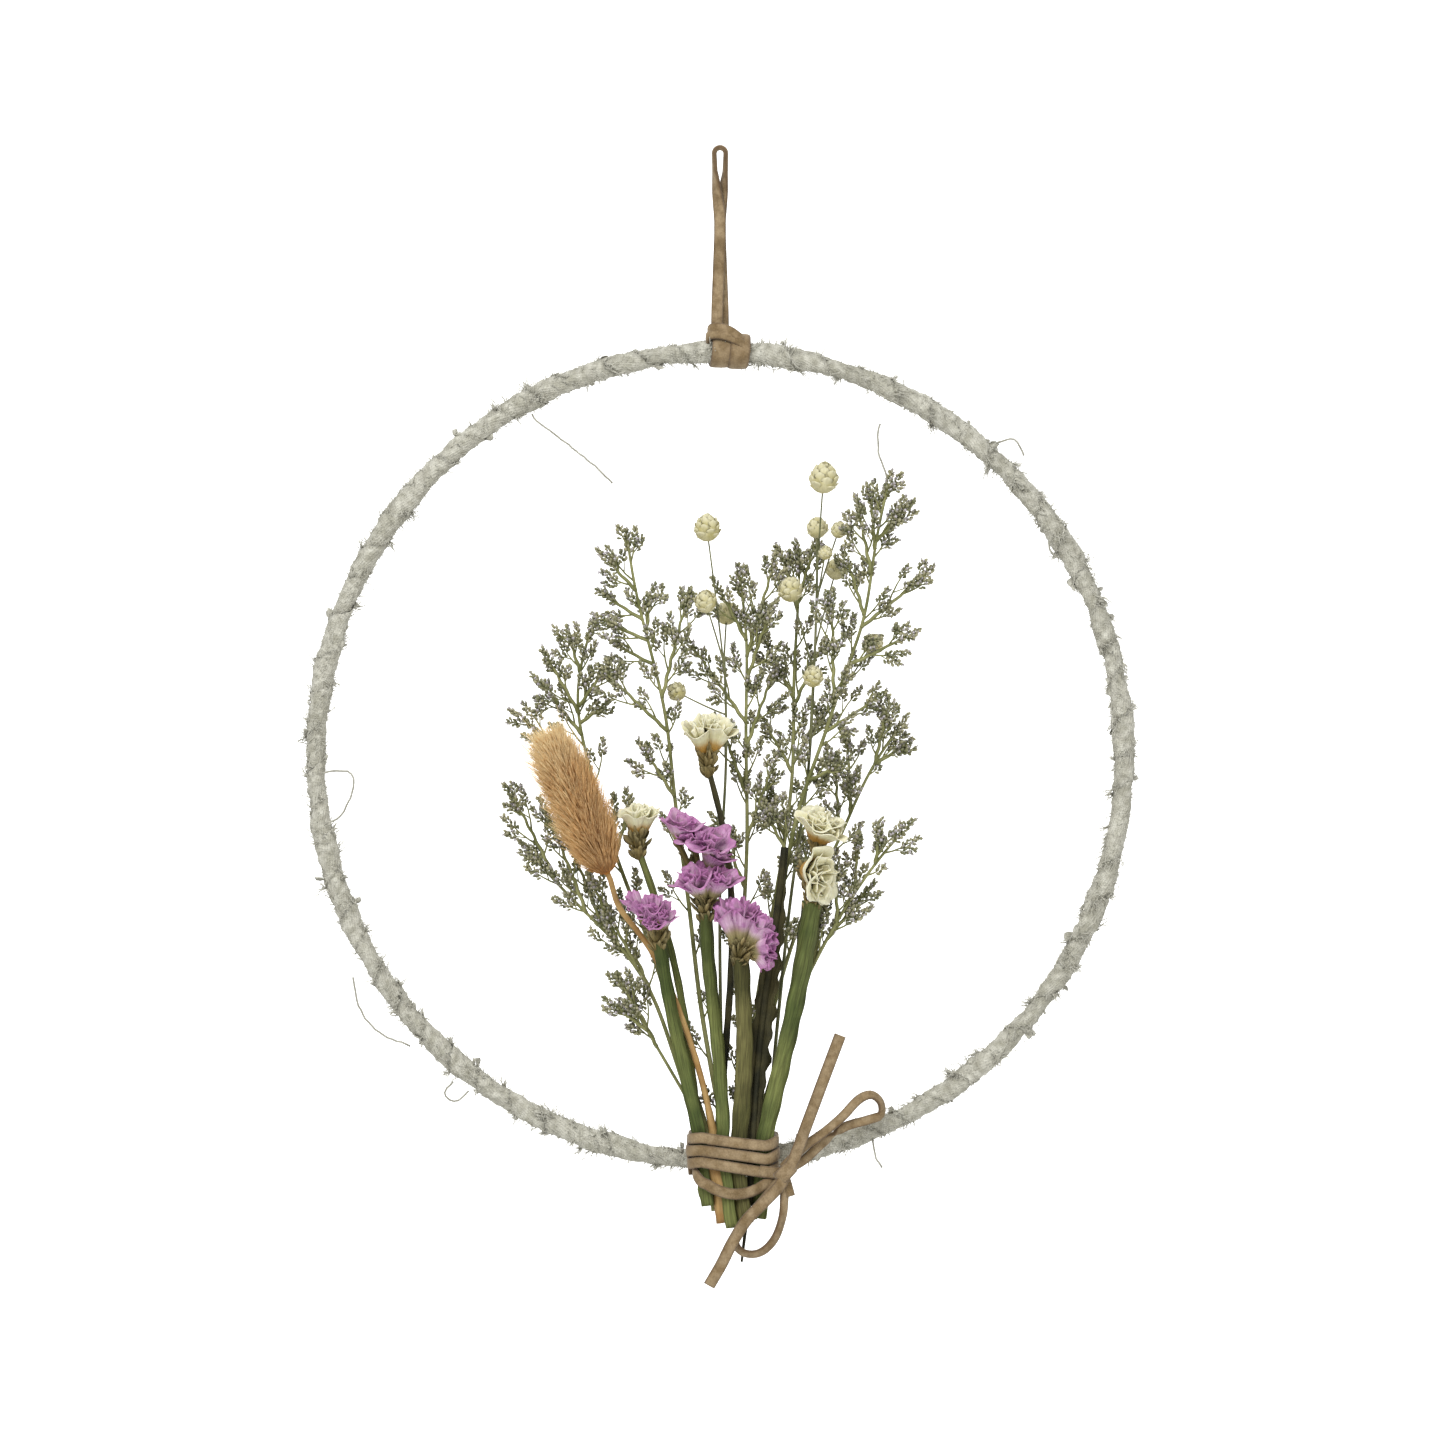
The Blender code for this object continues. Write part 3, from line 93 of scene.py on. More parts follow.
def smooth(route: Sequence[Sequence[float]], spacing: float) -> Array:
    """Points at an even spacing on a smooth curve through the route's own points.

    Args:
        route: The points to pass through, with any further columns carried along.
        spacing: The wanted distance between the new points.

    Returns:
        The new points, the first and last of them the route's own.
    """
    route = np.asarray(route, float)
    ends = np.vstack([2 * route[0] - route[1], route, 2 * route[-1] - route[-2]])
    fine = []
    for before, start, end, after in zip(ends, ends[1:], ends[2:], ends[3:]):
        for t in np.linspace(0.0, 1.0, 12, endpoint=False):
            fine.append(
                0.5
                * (
                    2 * start
                    + (end - before) * t
                    + (2 * before - 5 * start + 4 * end - after) * t**2
                    + (3 * start - before - 3 * end + after) * t**3
                )
            )
    fine = np.array(fine + [route[-1]])
    along = np.concatenate([[0.0], np.cumsum(np.linalg.norm(np.diff(fine, axis=0), axis=1))])
    count = max(2, round(along[-1] / spacing) + 1)
    stops = np.linspace(0.0, along[-1], count)
    return np.stack([np.interp(stops, along, fine[:, k]) for k in range(fine.shape[1])], axis=1)


def length_of(points: Array) -> float:
    """The length of a route."""
    return float(np.linalg.norm(np.diff(points, axis=0), axis=1).sum())


def carried_frames(points: Array) -> tuple[Array, Array, Array]:
    """Directions along a route, and two normals that are carried along it without a twist.

    Args:
        points: The route, as rows of three numbers.

    Returns:
        The tangents, the first normals and the second normals.
    """
    tangents = unit(np.gradient(points, axis=0))
    first, _ = square_to(tangents[0])
    firsts = []
    for tangent in tangents:
        first = unit(first - np.dot(first, tangent) * tangent)
        firsts.append(first)
    firsts = np.array(firsts)
    return tangents, firsts, np.cross(tangents, firsts)


def rolls_towards(axes: Array, targets: Array) -> Array:
    """Turns about each axis that bring a stamp's +Y side nearest to each target.

    Args:
        axes: Unit vectors, one a row.
        targets: The directions that the +Y side should face.

    Returns:
        The turns, in radians.
    """
    helper = np.where(np.abs(axes[:, 1:2]) < 0.8, [[0.0, 1.0, 0.0]], [[1.0, 0.0, 0.0]])
    first = unit(np.cross(axes, helper))
    second = np.cross(axes, first)
    return np.arctan2(-np.einsum("ij,ij->i", first, targets), np.einsum("ij,ij->i", second, targets))


def turned_to(axes: Array, rolls: Array) -> Array:
    """Rotations that carry +Z to each axis.

    Args:
        axes: Unit vectors, one a row.
        rolls: A turn about each axis, in radians.

    Returns:
        One 3 by 3 matrix for each axis.
    """
    helper = np.where(np.abs(axes[:, 1:2]) < 0.8, [[0.0, 1.0, 0.0]], [[1.0, 0.0, 0.0]])
    first = unit(np.cross(axes, helper))
    second = np.cross(axes, first)
    cos, sin = np.cos(rolls)[:, None], np.sin(rolls)[:, None]
    across = cos * first + sin * second
    return np.stack([across, np.cross(axes, across), axes], axis=2)


def grid_quads(rows: int, columns: int, wrap_rows: bool = False, wrap_columns: bool = True) -> Array:
    """Four-cornered faces over a grid of points that are numbered row by row.

    Args:
        rows: How many rows of points there are.
        columns: How many points are in a row.
        wrap_rows: Whether the last row joins the first.
        wrap_columns: Whether each row closes on itself.

    Returns:
        The faces, as rows of four point numbers.
    """
    i = np.arange(rows if wrap_rows else rows - 1)[:, None]
    k = np.arange(columns if wrap_columns else columns - 1)[None]
    here, there = i * columns, (i + 1) % rows * columns
    n = (k + 1) % columns
    return np.stack([here + k, here + n, there + n, there + k], axis=-1).reshape(-1, 4)


# Finishes


class Texture(Enum):
    """The kinds of surface in this object."""

    WEAVE = "weave"
    NAP = "nap"
    STREAK = "streak"
    PAPER = "paper"
    PLAIN = "plain"


class NodeTree:
    """Short words for placing and joining shader nodes in one tree."""

    def __init__(self, tree: bpy.types.NodeTree) -> None:
        """Keep the tree that the nodes go into."""
        self.tree = tree

    def add(self, kind: str, **settings: object) -> bpy.types.Node:
        """Place a node of a kind and set its properties.

        Args:
            kind: The node's type, without the leading ShaderNode.
            **settings: Properties of the node.

        Returns:
            The node.
        """
        node = self.tree.nodes.new(kind if kind.startswith("NodeGroup") else "ShaderNode" + kind)
        for name, value in settings.items():
            setattr(node, name, value)
        return node

    def feed(self, socket: bpy.types.NodeSocket, value: object) -> None:
        """Join a socket to another socket, or set its value.

        Args:
            socket: The socket to feed.
            value: A socket, a number or a colour.
        """
        if isinstance(value, bpy.types.NodeSocket):
            self.tree.links.new(value, socket)
        else:
            socket.default_value = value

    def maths(self, operation: str, first: object, second: object = 0.0) -> bpy.types.NodeSocket:
        """One sum on two values, each a socket or a number.

        Args:
            operation: The name of the sum, such as MULTIPLY.
            first: The first value.
            second: The second value.

        Returns:
            The socket with the result.
        """
        node = self.add("Math", operation=operation)
        self.feed(node.inputs[0], first)
        self.feed(node.inputs[1], second)
        return node.outputs[0]

    def mixed(self, share: object, first: object, second: object, blend: str = "MIX") -> bpy.types.NodeSocket:
        """Two colours mixed.

        Args:
            share: How much of the second colour, as a socket or a number.
            first: The first colour or its socket.
            second: The second colour or its socket.
            blend: The way to mix them.

        Returns:
            The socket with the colour.
        """
        node = self.add("Mix", data_type="RGBA", blend_type=blend)
        self.feed(node.inputs[0], share)
        self.feed(node.inputs[6], first)
        self.feed(node.inputs[7], second)
        return node.outputs[2]

    def spread(self, value: object, low: float, high: float) -> bpy.types.NodeSocket:
        """A value stretched so that low gives 0 and high gives 1, held between them."""
        node = self.add("MapRange")
        self.feed(node.inputs["Value"], value)
        node.inputs["From Min"].default_value = low
        node.inputs["From Max"].default_value = high
        return node.outputs["Result"]

    def noise(self, vector: bpy.types.NodeSocket, scale: object, detail: float = 3.0) -> bpy.types.NodeSocket:
        """A noise between 0 and 1.

        Args:
            vector: Where on the surface.
            scale: How fine it is.
            detail: How many finer layers it has.

        Returns:
            The socket with the value.
        """
        node = self.add("TexNoise")
        self.feed(node.inputs["Vector"], vector)
        self.feed(node.inputs["Scale"], scale)
        node.inputs["Detail"].default_value = detail
        return node.outputs["Fac"]

    def value_of(self, name: str) -> bpy.types.NodeSocket:
        """The socket of a value that the mesh carries at its points."""
        return self.add("Attribute", attribute_name=name).outputs["Fac"]


def new_group(
    name: str, inputs: Iterable[tuple[str, str]], outputs: Iterable[tuple[str, str]]
) -> tuple[bpy.types.ShaderNodeTree, NodeTree, bpy.types.Node, bpy.types.Node]:
    """An empty shader node group with its sockets.

    Args:
        name: The group's name.
        inputs: Each input's name and socket type.
        outputs: Each output's name and socket type.

    Returns:
        The group, the words for filling it, its input node and its output node.
    """
    group = bpy.data.node_groups.new(name, "ShaderNodeTree")
    for label, kind in inputs:
        group.interface.new_socket(label, in_out="INPUT", socket_type=kind)
    for label, kind in outputs:
        group.interface.new_socket(label, in_out="OUTPUT", socket_type=kind)
    words = NodeTree(group)
    return group, words, words.add("NodeGroupInput"), words.add("NodeGroupOutput")


class SurfaceGroups:
    """The shader node groups that the finishes share, each built once."""

    def __init__(self) -> None:
        """Build the groups."""
        self.mottle = self.build_mottle()
        self.weave = self.build_weave()
        self.nap = self.build_nap()
        self.streak = self.build_streak()

    @staticmethod
    def build_mottle() -> bpy.types.ShaderNodeTree:
        """Two colours in soft patches by each piece's own tone, with other colours at its tip and foot."""
        vector, number, colour = "NodeSocketVector", "NodeSocketFloat", "NodeSocketColor"
        inputs = (("Vector", vector), ("Scale", number), ("Dark", colour), ("Light", colour))
        inputs += (("Tone", number), ("Tip", number), ("Tip Colour", colour))
        inputs += (("Foot", number), ("Foot Colour", colour))
        group, words, given, out = new_group("mottle", inputs, (("Color", colour),))
        patches = words.noise(given.outputs["Vector"], given.outputs["Scale"], 4.0)
        share = words.maths("ADD", words.spread(patches, 0.36, 0.66),
                            words.maths("SUBTRACT", given.outputs["Tone"], 0.5))
        clamped = words.spread(share, 0.0, 1.0)
        mixed = words.mixed(clamped, given.outputs["Dark"], given.outputs["Light"])
        tipped = words.mixed(given.outputs["Tip"], mixed, given.outputs["Tip Colour"])
        words.feed(out.inputs["Color"], words.mixed(given.outputs["Foot"], tipped,
                                                    given.outputs["Foot Colour"]))
        return group

    @staticmethod
    def build_weave() -> bpy.types.ShaderNodeTree:
        """A plain weave of slubby threads, from millimetres along and across the strip."""
        number = "NodeSocketFloat"
        inputs = (("Along", number), ("Across", number), ("Pitch", number))
        group, words, given, out = new_group("weave", inputs, (("Height", number), ("Shade", number)))
        place = words.add("CombineXYZ")
        words.feed(place.inputs[0], given.outputs["Along"])
        words.feed(place.inputs[1], given.outputs["Across"])
        drift = words.maths("MULTIPLY", words.noise(place.outputs[0], 0.9, 2.0), 1.6)
        waves = []
        for label in ("Along", "Across"):
            turns = words.maths("DIVIDE", words.maths("ADD", given.outputs[label], drift),
                                given.outputs["Pitch"])
            waves.append(words.maths("SINE", words.maths("MULTIPLY", turns, math.pi)))
        over = words.maths("MULTIPLY", waves[0], waves[1])
        slub = words.noise(place.outputs[0], 2.6, 3.0)
        creases = words.maths("MULTIPLY", words.noise(place.outputs[0], 0.55, 2.0), 2.6)
        height = words.maths("ADD", words.maths("MULTIPLY", over, 0.35), words.maths("ADD", slub, creases))
        words.feed(out.inputs["Height"], height)
        # Shade is painted shade: it is low where the weave's height is low, between the threads, in thin
        # slubs and in the broad creases, so the colour darkens there.
        words.feed(out.inputs["Shade"], words.spread(height, 1.1, 2.4))
        return group

    @staticmethod
    def build_nap() -> bpy.types.ShaderNodeTree:
        """The short brushed fibres of suede, in patches that lie different ways."""
        inputs = (("Vector", "NodeSocketVector"), ("Scale", "NodeSocketFloat"))
        outputs = (("Height", "NodeSocketFloat"), ("Shade", "NodeSocketFloat"))
        group, words, given, out = new_group("nap", inputs, outputs)
        fine = words.noise(given.outputs["Vector"], given.outputs["Scale"], 5.0)
        broad = words.noise(given.outputs["Vector"], words.maths("MULTIPLY", given.outputs["Scale"], 0.16),
                            2.0)
        both = words.maths("ADD", words.maths("MULTIPLY", fine, 0.6), words.maths("MULTIPLY", broad, 0.4))
        words.feed(out.inputs["Height"], fine)
        # Shade is partly the fibres' own fine mottle and partly painted shade: broad darker patches where the
        # nap lies a different way to the light.
        words.feed(out.inputs["Shade"], words.spread(both, 0.36, 0.64))
        return group

    @staticmethod
    def build_streak() -> bpy.types.ShaderNodeTree:
        """Long dry fibres or veins, drawn out along the piece."""
        number = "NodeSocketFloat"
        inputs = (("Along", number), ("Across", number), ("Tone", number), ("Fineness", number))
        group, words, given, out = new_group("streak", inputs, (("Height", number), ("Shade", number)))
        place = words.add("CombineXYZ")
        words.feed(place.inputs[0], words.maths("MULTIPLY", given.outputs["Along"], 0.06))
        words.feed(place.inputs[1], given.outputs["Across"])
        words.feed(place.inputs[2], words.maths("MULTIPLY", given.outputs["Tone"], 9.0))
        fibres = words.noise(place.outputs[0], given.outputs["Fineness"], 3.0)
        words.feed(out.inputs["Height"], fibres)
        # Shade is partly the fibres' own streaky colour and partly painted shade: it is low in the grooves
        # between the raised fibres and veins, so the colour darkens there.
        words.feed(out.inputs["Shade"], words.spread(fibres, 0.34, 0.66))
        return group


@dataclass(frozen=True)
class Finish:
    """One finish: its colours, how rough and soft it is, and the texture that raises it and paints shade into
    its colour.
    """

    name: str
    dark: Colour
    light: Colour
    tip: Colour
    foot: Colour
    texture: Texture
    roughness: float = 0.85
    metallic: float = 0.0
    sheen: float = 0.0
    patches: float = 160.0
    fineness: float = 2.0
    # How much painted shade the texture darkens into the colour at its low places.
    shade: float = 0.3
    bump: float = 0.3
    glow: float = 0.0

    def material(self, groups: SurfaceGroups) -> bpy.types.Material:
        """The finish's material, made on first use.

        Args:
            groups: The shared node groups.

        Returns:
            The material.
        """
        found = bpy.data.materials.get(self.name)
        if found:
            return found
        made = bpy.data.materials.new(self.name)
        made.use_nodes = True
        words = NodeTree(made.node_tree)
        shader = made.node_tree.nodes["Principled BSDF"]
        shader.inputs["Roughness"].default_value = self.roughness
        shader.inputs["Metallic"].default_value = self.metallic
        shader.inputs["Sheen Weight"].default_value = self.sheen
        shader.inputs["Specular IOR Level"].default_value = 0.25
        if self.glow:
            shader.inputs["Subsurface Weight"].default_value = self.glow
            shader.inputs["Subsurface Radius"].default_value = (1.0, 0.8, 0.7)
            shader.inputs["Subsurface Scale"].default_value = 0.0008
        places = words.add("TexCoord").outputs["Object"]
        colour = words.add("Group", node_tree=groups.mottle)
        words.feed(colour.inputs["Vector"], places)
        for label, value in (("Scale", self.patches), ("Dark", (*self.dark, 1.0)),
                             ("Light", (*self.light, 1.0)),
                             ("Tone", words.value_of("tone")), ("Tip", words.value_of("tip")),
                             ("Tip Colour", (*self.tip, 1.0)), ("Foot", words.value_of("foot")),
                             ("Foot Colour", (*self.foot, 1.0))):
            words.feed(colour.inputs[label], value)
        result = colour.outputs["Color"]
        relief = self.relief(words, groups, places)
        if relief:
            height, shade = relief
            # Painted shade: where the texture's Shade is low, the colour is darkened towards itself
            # multiplied by (0.35, 0.33, 0.30), by as much as self.shade; the bump below raises the same
            # relief.
            darker = words.mixed(self.shade, result,
                                 words.mixed(1.0, result, (0.35, 0.33, 0.30, 1.0), "MULTIPLY"))
            result = words.mixed(shade, darker, result)
            raised = words.add("Bump")
            raised.inputs["Strength"].default_value = self.bump
            raised.inputs["Distance"].default_value = 0.0004
            words.feed(raised.inputs["Height"], height)
            words.feed(shader.inputs["Normal"], raised.outputs["Normal"])
        words.feed(shader.inputs["Base Color"], result)
        return made

    def relief(
        self, words: NodeTree, groups: SurfaceGroups, places: bpy.types.NodeSocket
    ) -> tuple[bpy.types.NodeSocket, bpy.types.NodeSocket] | None:
        """The height and the shade of the finish's texture.

        Args:
            words: The words for the material's tree.
            groups: The shared node groups.
            places: The socket with the place on the surface.

        Returns:
            The two sockets, or None for a plain finish.
        """
        if self.texture is Texture.PLAIN:
            return None
        if self.texture is Texture.NAP:
            node = words.add("Group", node_tree=groups.nap)
            words.feed(node.inputs["Vector"], places)
            words.feed(node.inputs["Scale"], self.fineness)
        else:
            woven = self.texture is Texture.WEAVE
            node = words.add("Group", node_tree=groups.weave if woven else groups.streak)
            words.feed(node.inputs["Along"], words.value_of("along"))
            words.feed(node.inputs["Across"], words.value_of("across"))
            words.feed(node.inputs["Pitch" if woven else "Fineness"], self.fineness)
            if not woven:
                words.feed(node.inputs["Tone"], words.value_of("tone"))
        return node.outputs["Height"], node.outputs["Shade"]


WIRE = Finish("galvanised_wire", (0.26, 0.26, 0.25), (0.42, 0.42, 0.41), (0.42, 0.42, 0.41), (0.3, 0.3, 0.3),
              Texture.NAP, 0.4, 0.9, fineness=900.0, shade=0.2, bump=0.1)
CLOTH = Finish("torn_cotton", (0.45, 0.44, 0.36), (0.64, 0.63, 0.545), (0.64, 0.63, 0.55), (0.24, 0.23, 0.17),
               Texture.WEAVE, 0.95, sheen=0.15, patches=520.0, fineness=0.42, shade=0.55, bump=0.7)
SUEDE = Finish("tan_suede", (0.225, 0.155, 0.075), (0.355, 0.265, 0.155), (0.11, 0.065, 0.032),
               (0.10, 0.065, 0.035),
               Texture.NAP, 0.95, sheen=0.2, patches=420.0, fineness=2600.0, shade=0.5, bump=0.4)
TAIL = Finish("bunny_tail_hair", (0.38, 0.145, 0.022), (0.64, 0.31, 0.080), (0.78, 0.60, 0.32),
              (0.24, 0.10, 0.03),
              Texture.PLAIN, 0.85, sheen=0.05, patches=150.0)
STRAW = Finish("dry_straw", (0.36, 0.20, 0.065), (0.55, 0.37, 0.15), (0.60, 0.46, 0.24), (0.24, 0.14, 0.05),
               Texture.STREAK, 0.6, fineness=3.0, shade=0.4, bump=0.3)
GREEN = Finish("ridged_green_stem", (0.070, 0.098, 0.022), (0.240, 0.262, 0.080), (0.36, 0.33, 0.14),
               (0.10, 0.085, 0.025), Texture.STREAK, 0.7, patches=50.0, fineness=2.4, shade=0.75, bump=0.6)
OLIVE = Finish("dry_olive_stem", (0.080, 0.078, 0.022), (0.255, 0.235, 0.085), (0.35, 0.30, 0.15),
               (0.05, 0.042, 0.015), Texture.STREAK, 0.75, patches=50.0, fineness=2.8, shade=0.8, bump=0.6)
DARK = Finish("dark_olive_stem", (0.022, 0.022, 0.010), (0.080, 0.070, 0.026), (0.15, 0.13, 0.06),
              (0.02, 0.02, 0.01),
              Texture.STREAK, 0.75, fineness=2.4, shade=0.6, bump=0.6)
TWIG = Finish("caspia_twig", (0.150, 0.160, 0.055), (0.31, 0.31, 0.135), (0.34, 0.33, 0.18),
              (0.05, 0.05, 0.02),
              Texture.STREAK, 0.8, fineness=3.0, shade=0.4, bump=0.2)
FLORET = Finish("caspia_floret", (0.125, 0.135, 0.052), (0.335, 0.320, 0.180), (0.50, 0.46, 0.50),
                (0.03, 0.03, 0.02),
                Texture.PLAIN, 0.85, patches=300.0)
LILAC = Finish("lilac_paper_petal", (0.42, 0.175, 0.38), (0.80, 0.60, 0.72), (0.50, 0.19, 0.43),
               (0.34, 0.29, 0.13), Texture.PAPER, 0.7, patches=330.0, fineness=2.2, shade=0.45, bump=0.5,
               glow=0.1)
CREAM = Finish("cream_paper_petal", (0.60, 0.55, 0.27), (0.80, 0.76, 0.50), (0.82, 0.79, 0.60),
               (0.42, 0.23, 0.045),
               Texture.PAPER, 0.7, patches=300.0, fineness=2.2, shade=0.15, bump=0.3, glow=0.2)
CALYX = Finish("straw_calyx", (0.12, 0.095, 0.030), (0.30, 0.22, 0.08), (0.42, 0.36, 0.19),
               (0.07, 0.07, 0.02),
               Texture.STREAK, 0.8, fineness=3.0, shade=0.6, bump=0.5)
GLOBE = Finish("cream_globe_scale", (0.47, 0.42, 0.18), (0.64, 0.595, 0.36), (0.69, 0.66, 0.47),
               (0.20, 0.17, 0.05),
               Texture.PAPER, 0.8, patches=300.0, fineness=2.0, shade=0.2, bump=0.3)
THIN = Finish("thin_olive_stem", (0.10, 0.11, 0.045), (0.24, 0.24, 0.125), (0.38, 0.36, 0.20),
              (0.08, 0.08, 0.03),
              Texture.STREAK, 0.8, fineness=3.0, shade=0.4, bump=0.2)


# Meshes


@dataclass(frozen=True)
class Stamp:
    """A small closed shape that is repeated, with +Z along its axis and its foot at the origin."""

    points: Array
    quads: Array
    tris: Array
    tip: Array


@dataclass
class Form:
    """A mesh in the making: points in millimetres from the hoop's centre, faces and values at points."""

    points: list[Array] = field(default_factory=list)
    quads: list[Array] = field(default_factory=list)
    tris: list[Array] = field(default_factory=list)
    quad_looks: list[Array] = field(default_factory=list)
    tri_looks: list[Array] = field(default_factory=list)
    values: dict[str, list[Array]] = field(default_factory=lambda: {name: [] for name in VALUE_NAMES})
    count: int = 0
    look: int = 0

    def add(self, points: Array, quads: Array | None = None, tris: Array | None = None,
            **values: object) -> None:
        """Take in points, the faces between them and their values.

        Args:
            points: The new points.
            quads: Faces of four corners, numbered within the new points.
            tris: Faces of three corners, numbered within the new points.
            **values: A number or one number a point, for any of VALUE_NAMES.
        """
        points = np.asarray(points, float).reshape(-1, 3)
        for faces, kept, looks in ((quads, self.quads, self.quad_looks), (tris, self.tris, self.tri_looks)):
            if faces is not None and len(faces):
                kept.append(np.asarray(faces) + self.count)
                looks.append(np.full(len(faces), self.look))
        for name in VALUE_NAMES:
            given = np.asarray(values.get(name, 0.0), float).reshape(-1)
            self.values[name].append(np.broadcast_to(given, len(points)))
        self.points.append(points)
        self.count += len(points)

    def tube(
        self, route: Array, radii: object, sides: int, profile: Array | None = None, twist: float = 0.0,
        tone: float = 0.5, tip: object = 0.0,
    ) -> None:
        """A closed rod along a route.

        Args:
            route: The points that it follows.
            radii: Its radius, or one a point.
            sides: How many corners it has round.
            profile: Shares of the radius at the corners, for ridges and wings.
            twist: How far the corners turn along it, in degrees a millimetre.
            tone: How light it is, about 0.5.
            tip: How much of the tip colour it has, or one a point.
        """
        route = np.asarray(route, float)
        count = len(route)
        radii = np.broadcast_to(np.asarray(radii, float), count)
        _, first, second = carried_frames(route)
        along = np.concatenate([[0.0], np.cumsum(np.linalg.norm(np.diff(route, axis=0), axis=1))])
        angles = 2 * math.pi * np.arange(sides) / sides + np.radians(twist) * along[:, None]
        reach = radii[:, None] * (1.0 if profile is None else profile[None])
        rings = route[:, None] + reach[:, :, None] * (
            np.cos(angles)[:, :, None] * first[:, None] + np.sin(angles)[:, :, None] * second[:, None]
        )
        points = np.vstack([rings.reshape(-1, 3), route[0], route[-1]])
        k = np.arange(sides)
        n = (k + 1) % sides
        last = (count - 1) * sides
        foot, top = count * sides, count * sides + 1
        tris = np.vstack([
            np.stack([np.full(sides, foot), n, k], axis=1),
            np.stack([np.full(sides, top), last + k, last + n], axis=1),
        ])
        tips = np.broadcast_to(np.asarray(tip, float), count)
        across = np.abs(np.linspace(-1.0, 1.0, sides, endpoint=False))
        self.add(
            points,
            grid_quads(count, sides),
            tris,
            tone=tone,
            tip=np.append(np.repeat(tips, sides), [tips[0], tips[-1]]),
            along=np.append(np.repeat(along, sides), [0.0, along[-1]]),
            across=np.append(np.tile(across * sides * 0.3, count), [0.0, 0.0]),
        )

    def strands(self, paths: Array, radius: float, taper: float = 0.4, tone: object = 0.5,
                tips: object = 1.0) -> None:
        """Many fine fibres at once, each a closed three-sided prism.

        Args:
            paths: An array of fibres by points by three.
            radius: The radius at the foot, in millimetres.
            taper: The radius at the tip as a share of that at the foot.
            tone: How light each one is.
            tips: How much of the tip colour the far ends have.
        """
        many, count, _ = paths.shape
        tangents = unit(np.gradient(paths, axis=1))
        helper = unit(np.cross(tangents[:, :1], paths[:, -1:] - paths[:, :1] + (0.13, 0.31, 0.17)))
        first = unit(np.cross(tangents, helper))
        second = np.cross(tangents, first)
        reach = radius * np.linspace(1.0, taper, count)[None, :, None]
        rings = []
        for k in range(3):
            angle = 2 * math.pi * k / 3
            rings.append(paths + reach * (math.cos(angle) * first + math.sin(angle) * second))
        points = np.stack(rings, axis=2).reshape(-1, 3)
        base = 3 * count * np.arange(many)[:, None, None]
        quads = (base + grid_quads(count, 3)[None]).reshape(-1, 4)
        last = 3 * (count - 1)
        caps = np.array([[0, 2, 1], [last, last + 1, last + 2]])
        tone = np.repeat(np.broadcast_to(np.asarray(tone, float), many), 3 * count)
        rise = np.repeat(np.linspace(0.0, 1.0, count) ** 1.5, 3)
        tip = (np.broadcast_to(np.asarray(tips, float), many)[:, None] * rise[None]).ravel()
        self.add(points, quads, (base + caps[None]).reshape(-1, 3), tone=tone, tip=tip)

    def repeat(
        self, stamp: Stamp, places: Array, axes: Array, rolls: object, sizes: object, tone: object = 0.5,
        tip: float = 1.0,
    ) -> None:
        """Copies of a stamp.

        Args:
            stamp: The shape.
            places: Where the foot of each copy is.
            axes: Where the axis of each copy points.
            rolls: The turn of each copy about its axis, in radians.
            sizes: The size of each copy, as one number or three.
            tone: How light each copy is.
            tip: How much of the tip colour the tips have.
        """
        places = np.asarray(places, float).reshape(-1, 3)
        many = len(places)
        if not many:
            return
        axes = np.broadcast_to(unit(axes), (many, 3))
        rolls = np.broadcast_to(np.asarray(rolls, float), many)
        sizes = np.asarray(sizes, float)
        sizes = np.broadcast_to(sizes[:, None] if sizes.ndim == 1 and len(sizes) == many != 3 else sizes,
                                (many, 3))
        turned = turned_to(axes, rolls)
        scaled = stamp.points[None] * sizes[:, None]
        points = np.einsum("nij,nkj->nki", turned, scaled) + places[:, None]
        size = len(stamp.points)
        base = size * np.arange(many)[:, None, None]
        self.add(
            points.reshape(-1, 3),
            (base + stamp.quads[None]).reshape(-1, 4) if len(stamp.quads) else None,
            (base + stamp.tris[None]).reshape(-1, 3) if len(stamp.tris) else None,
            tone=np.repeat(np.broadcast_to(np.asarray(tone, float), many), size),
            tip=np.tile(tip * stamp.tip, many),
            along=np.tile(stamp.points[:, 2] * 3.0, many),
            across=np.tile(stamp.points[:, 0] * 3.0, many),
        )

    def skin(self, outer: Array, thickness: float, tip: Array, tone: float, across: Array,
             foot: Array) -> None:
        """A thin closed shell from a grid of points whose rows close on themselves.

        Args:
            outer: The outer face, as rows by columns by three.
            thickness: How far inside it the inner face lies.
            tip: The tip value of each row.
            tone: How light it is.
            across: The across value of each column.
            foot: The foot value of each row.
        """
        rows, columns, _ = outer.shape
        down = np.gradient(outer, axis=0)
        wrapped = np.concatenate([outer[:, -1:], outer, outer[:, :1]], axis=1)
        normal = unit(np.cross(down, wrapped[:, 2:] - wrapped[:, :-2]))
        inner = outer + thickness * normal
        points = np.concatenate([outer, inner[::-1]]).reshape(-1, 3)
        tips = np.repeat(np.concatenate([tip, tip[::-1]]), columns)
        places = np.repeat(np.concatenate([np.arange(rows), np.arange(rows)[::-1]]), columns) * 0.4
        self.add(
            points,
            grid_quads(2 * rows, columns, wrap_rows=True)[:, ::-1],
            tone=tone,
            tip=tips,
            foot=np.repeat(np.concatenate([foot, foot[::-1]]), columns),
            along=places,
            across=np.tile(across, 2 * rows),
        )

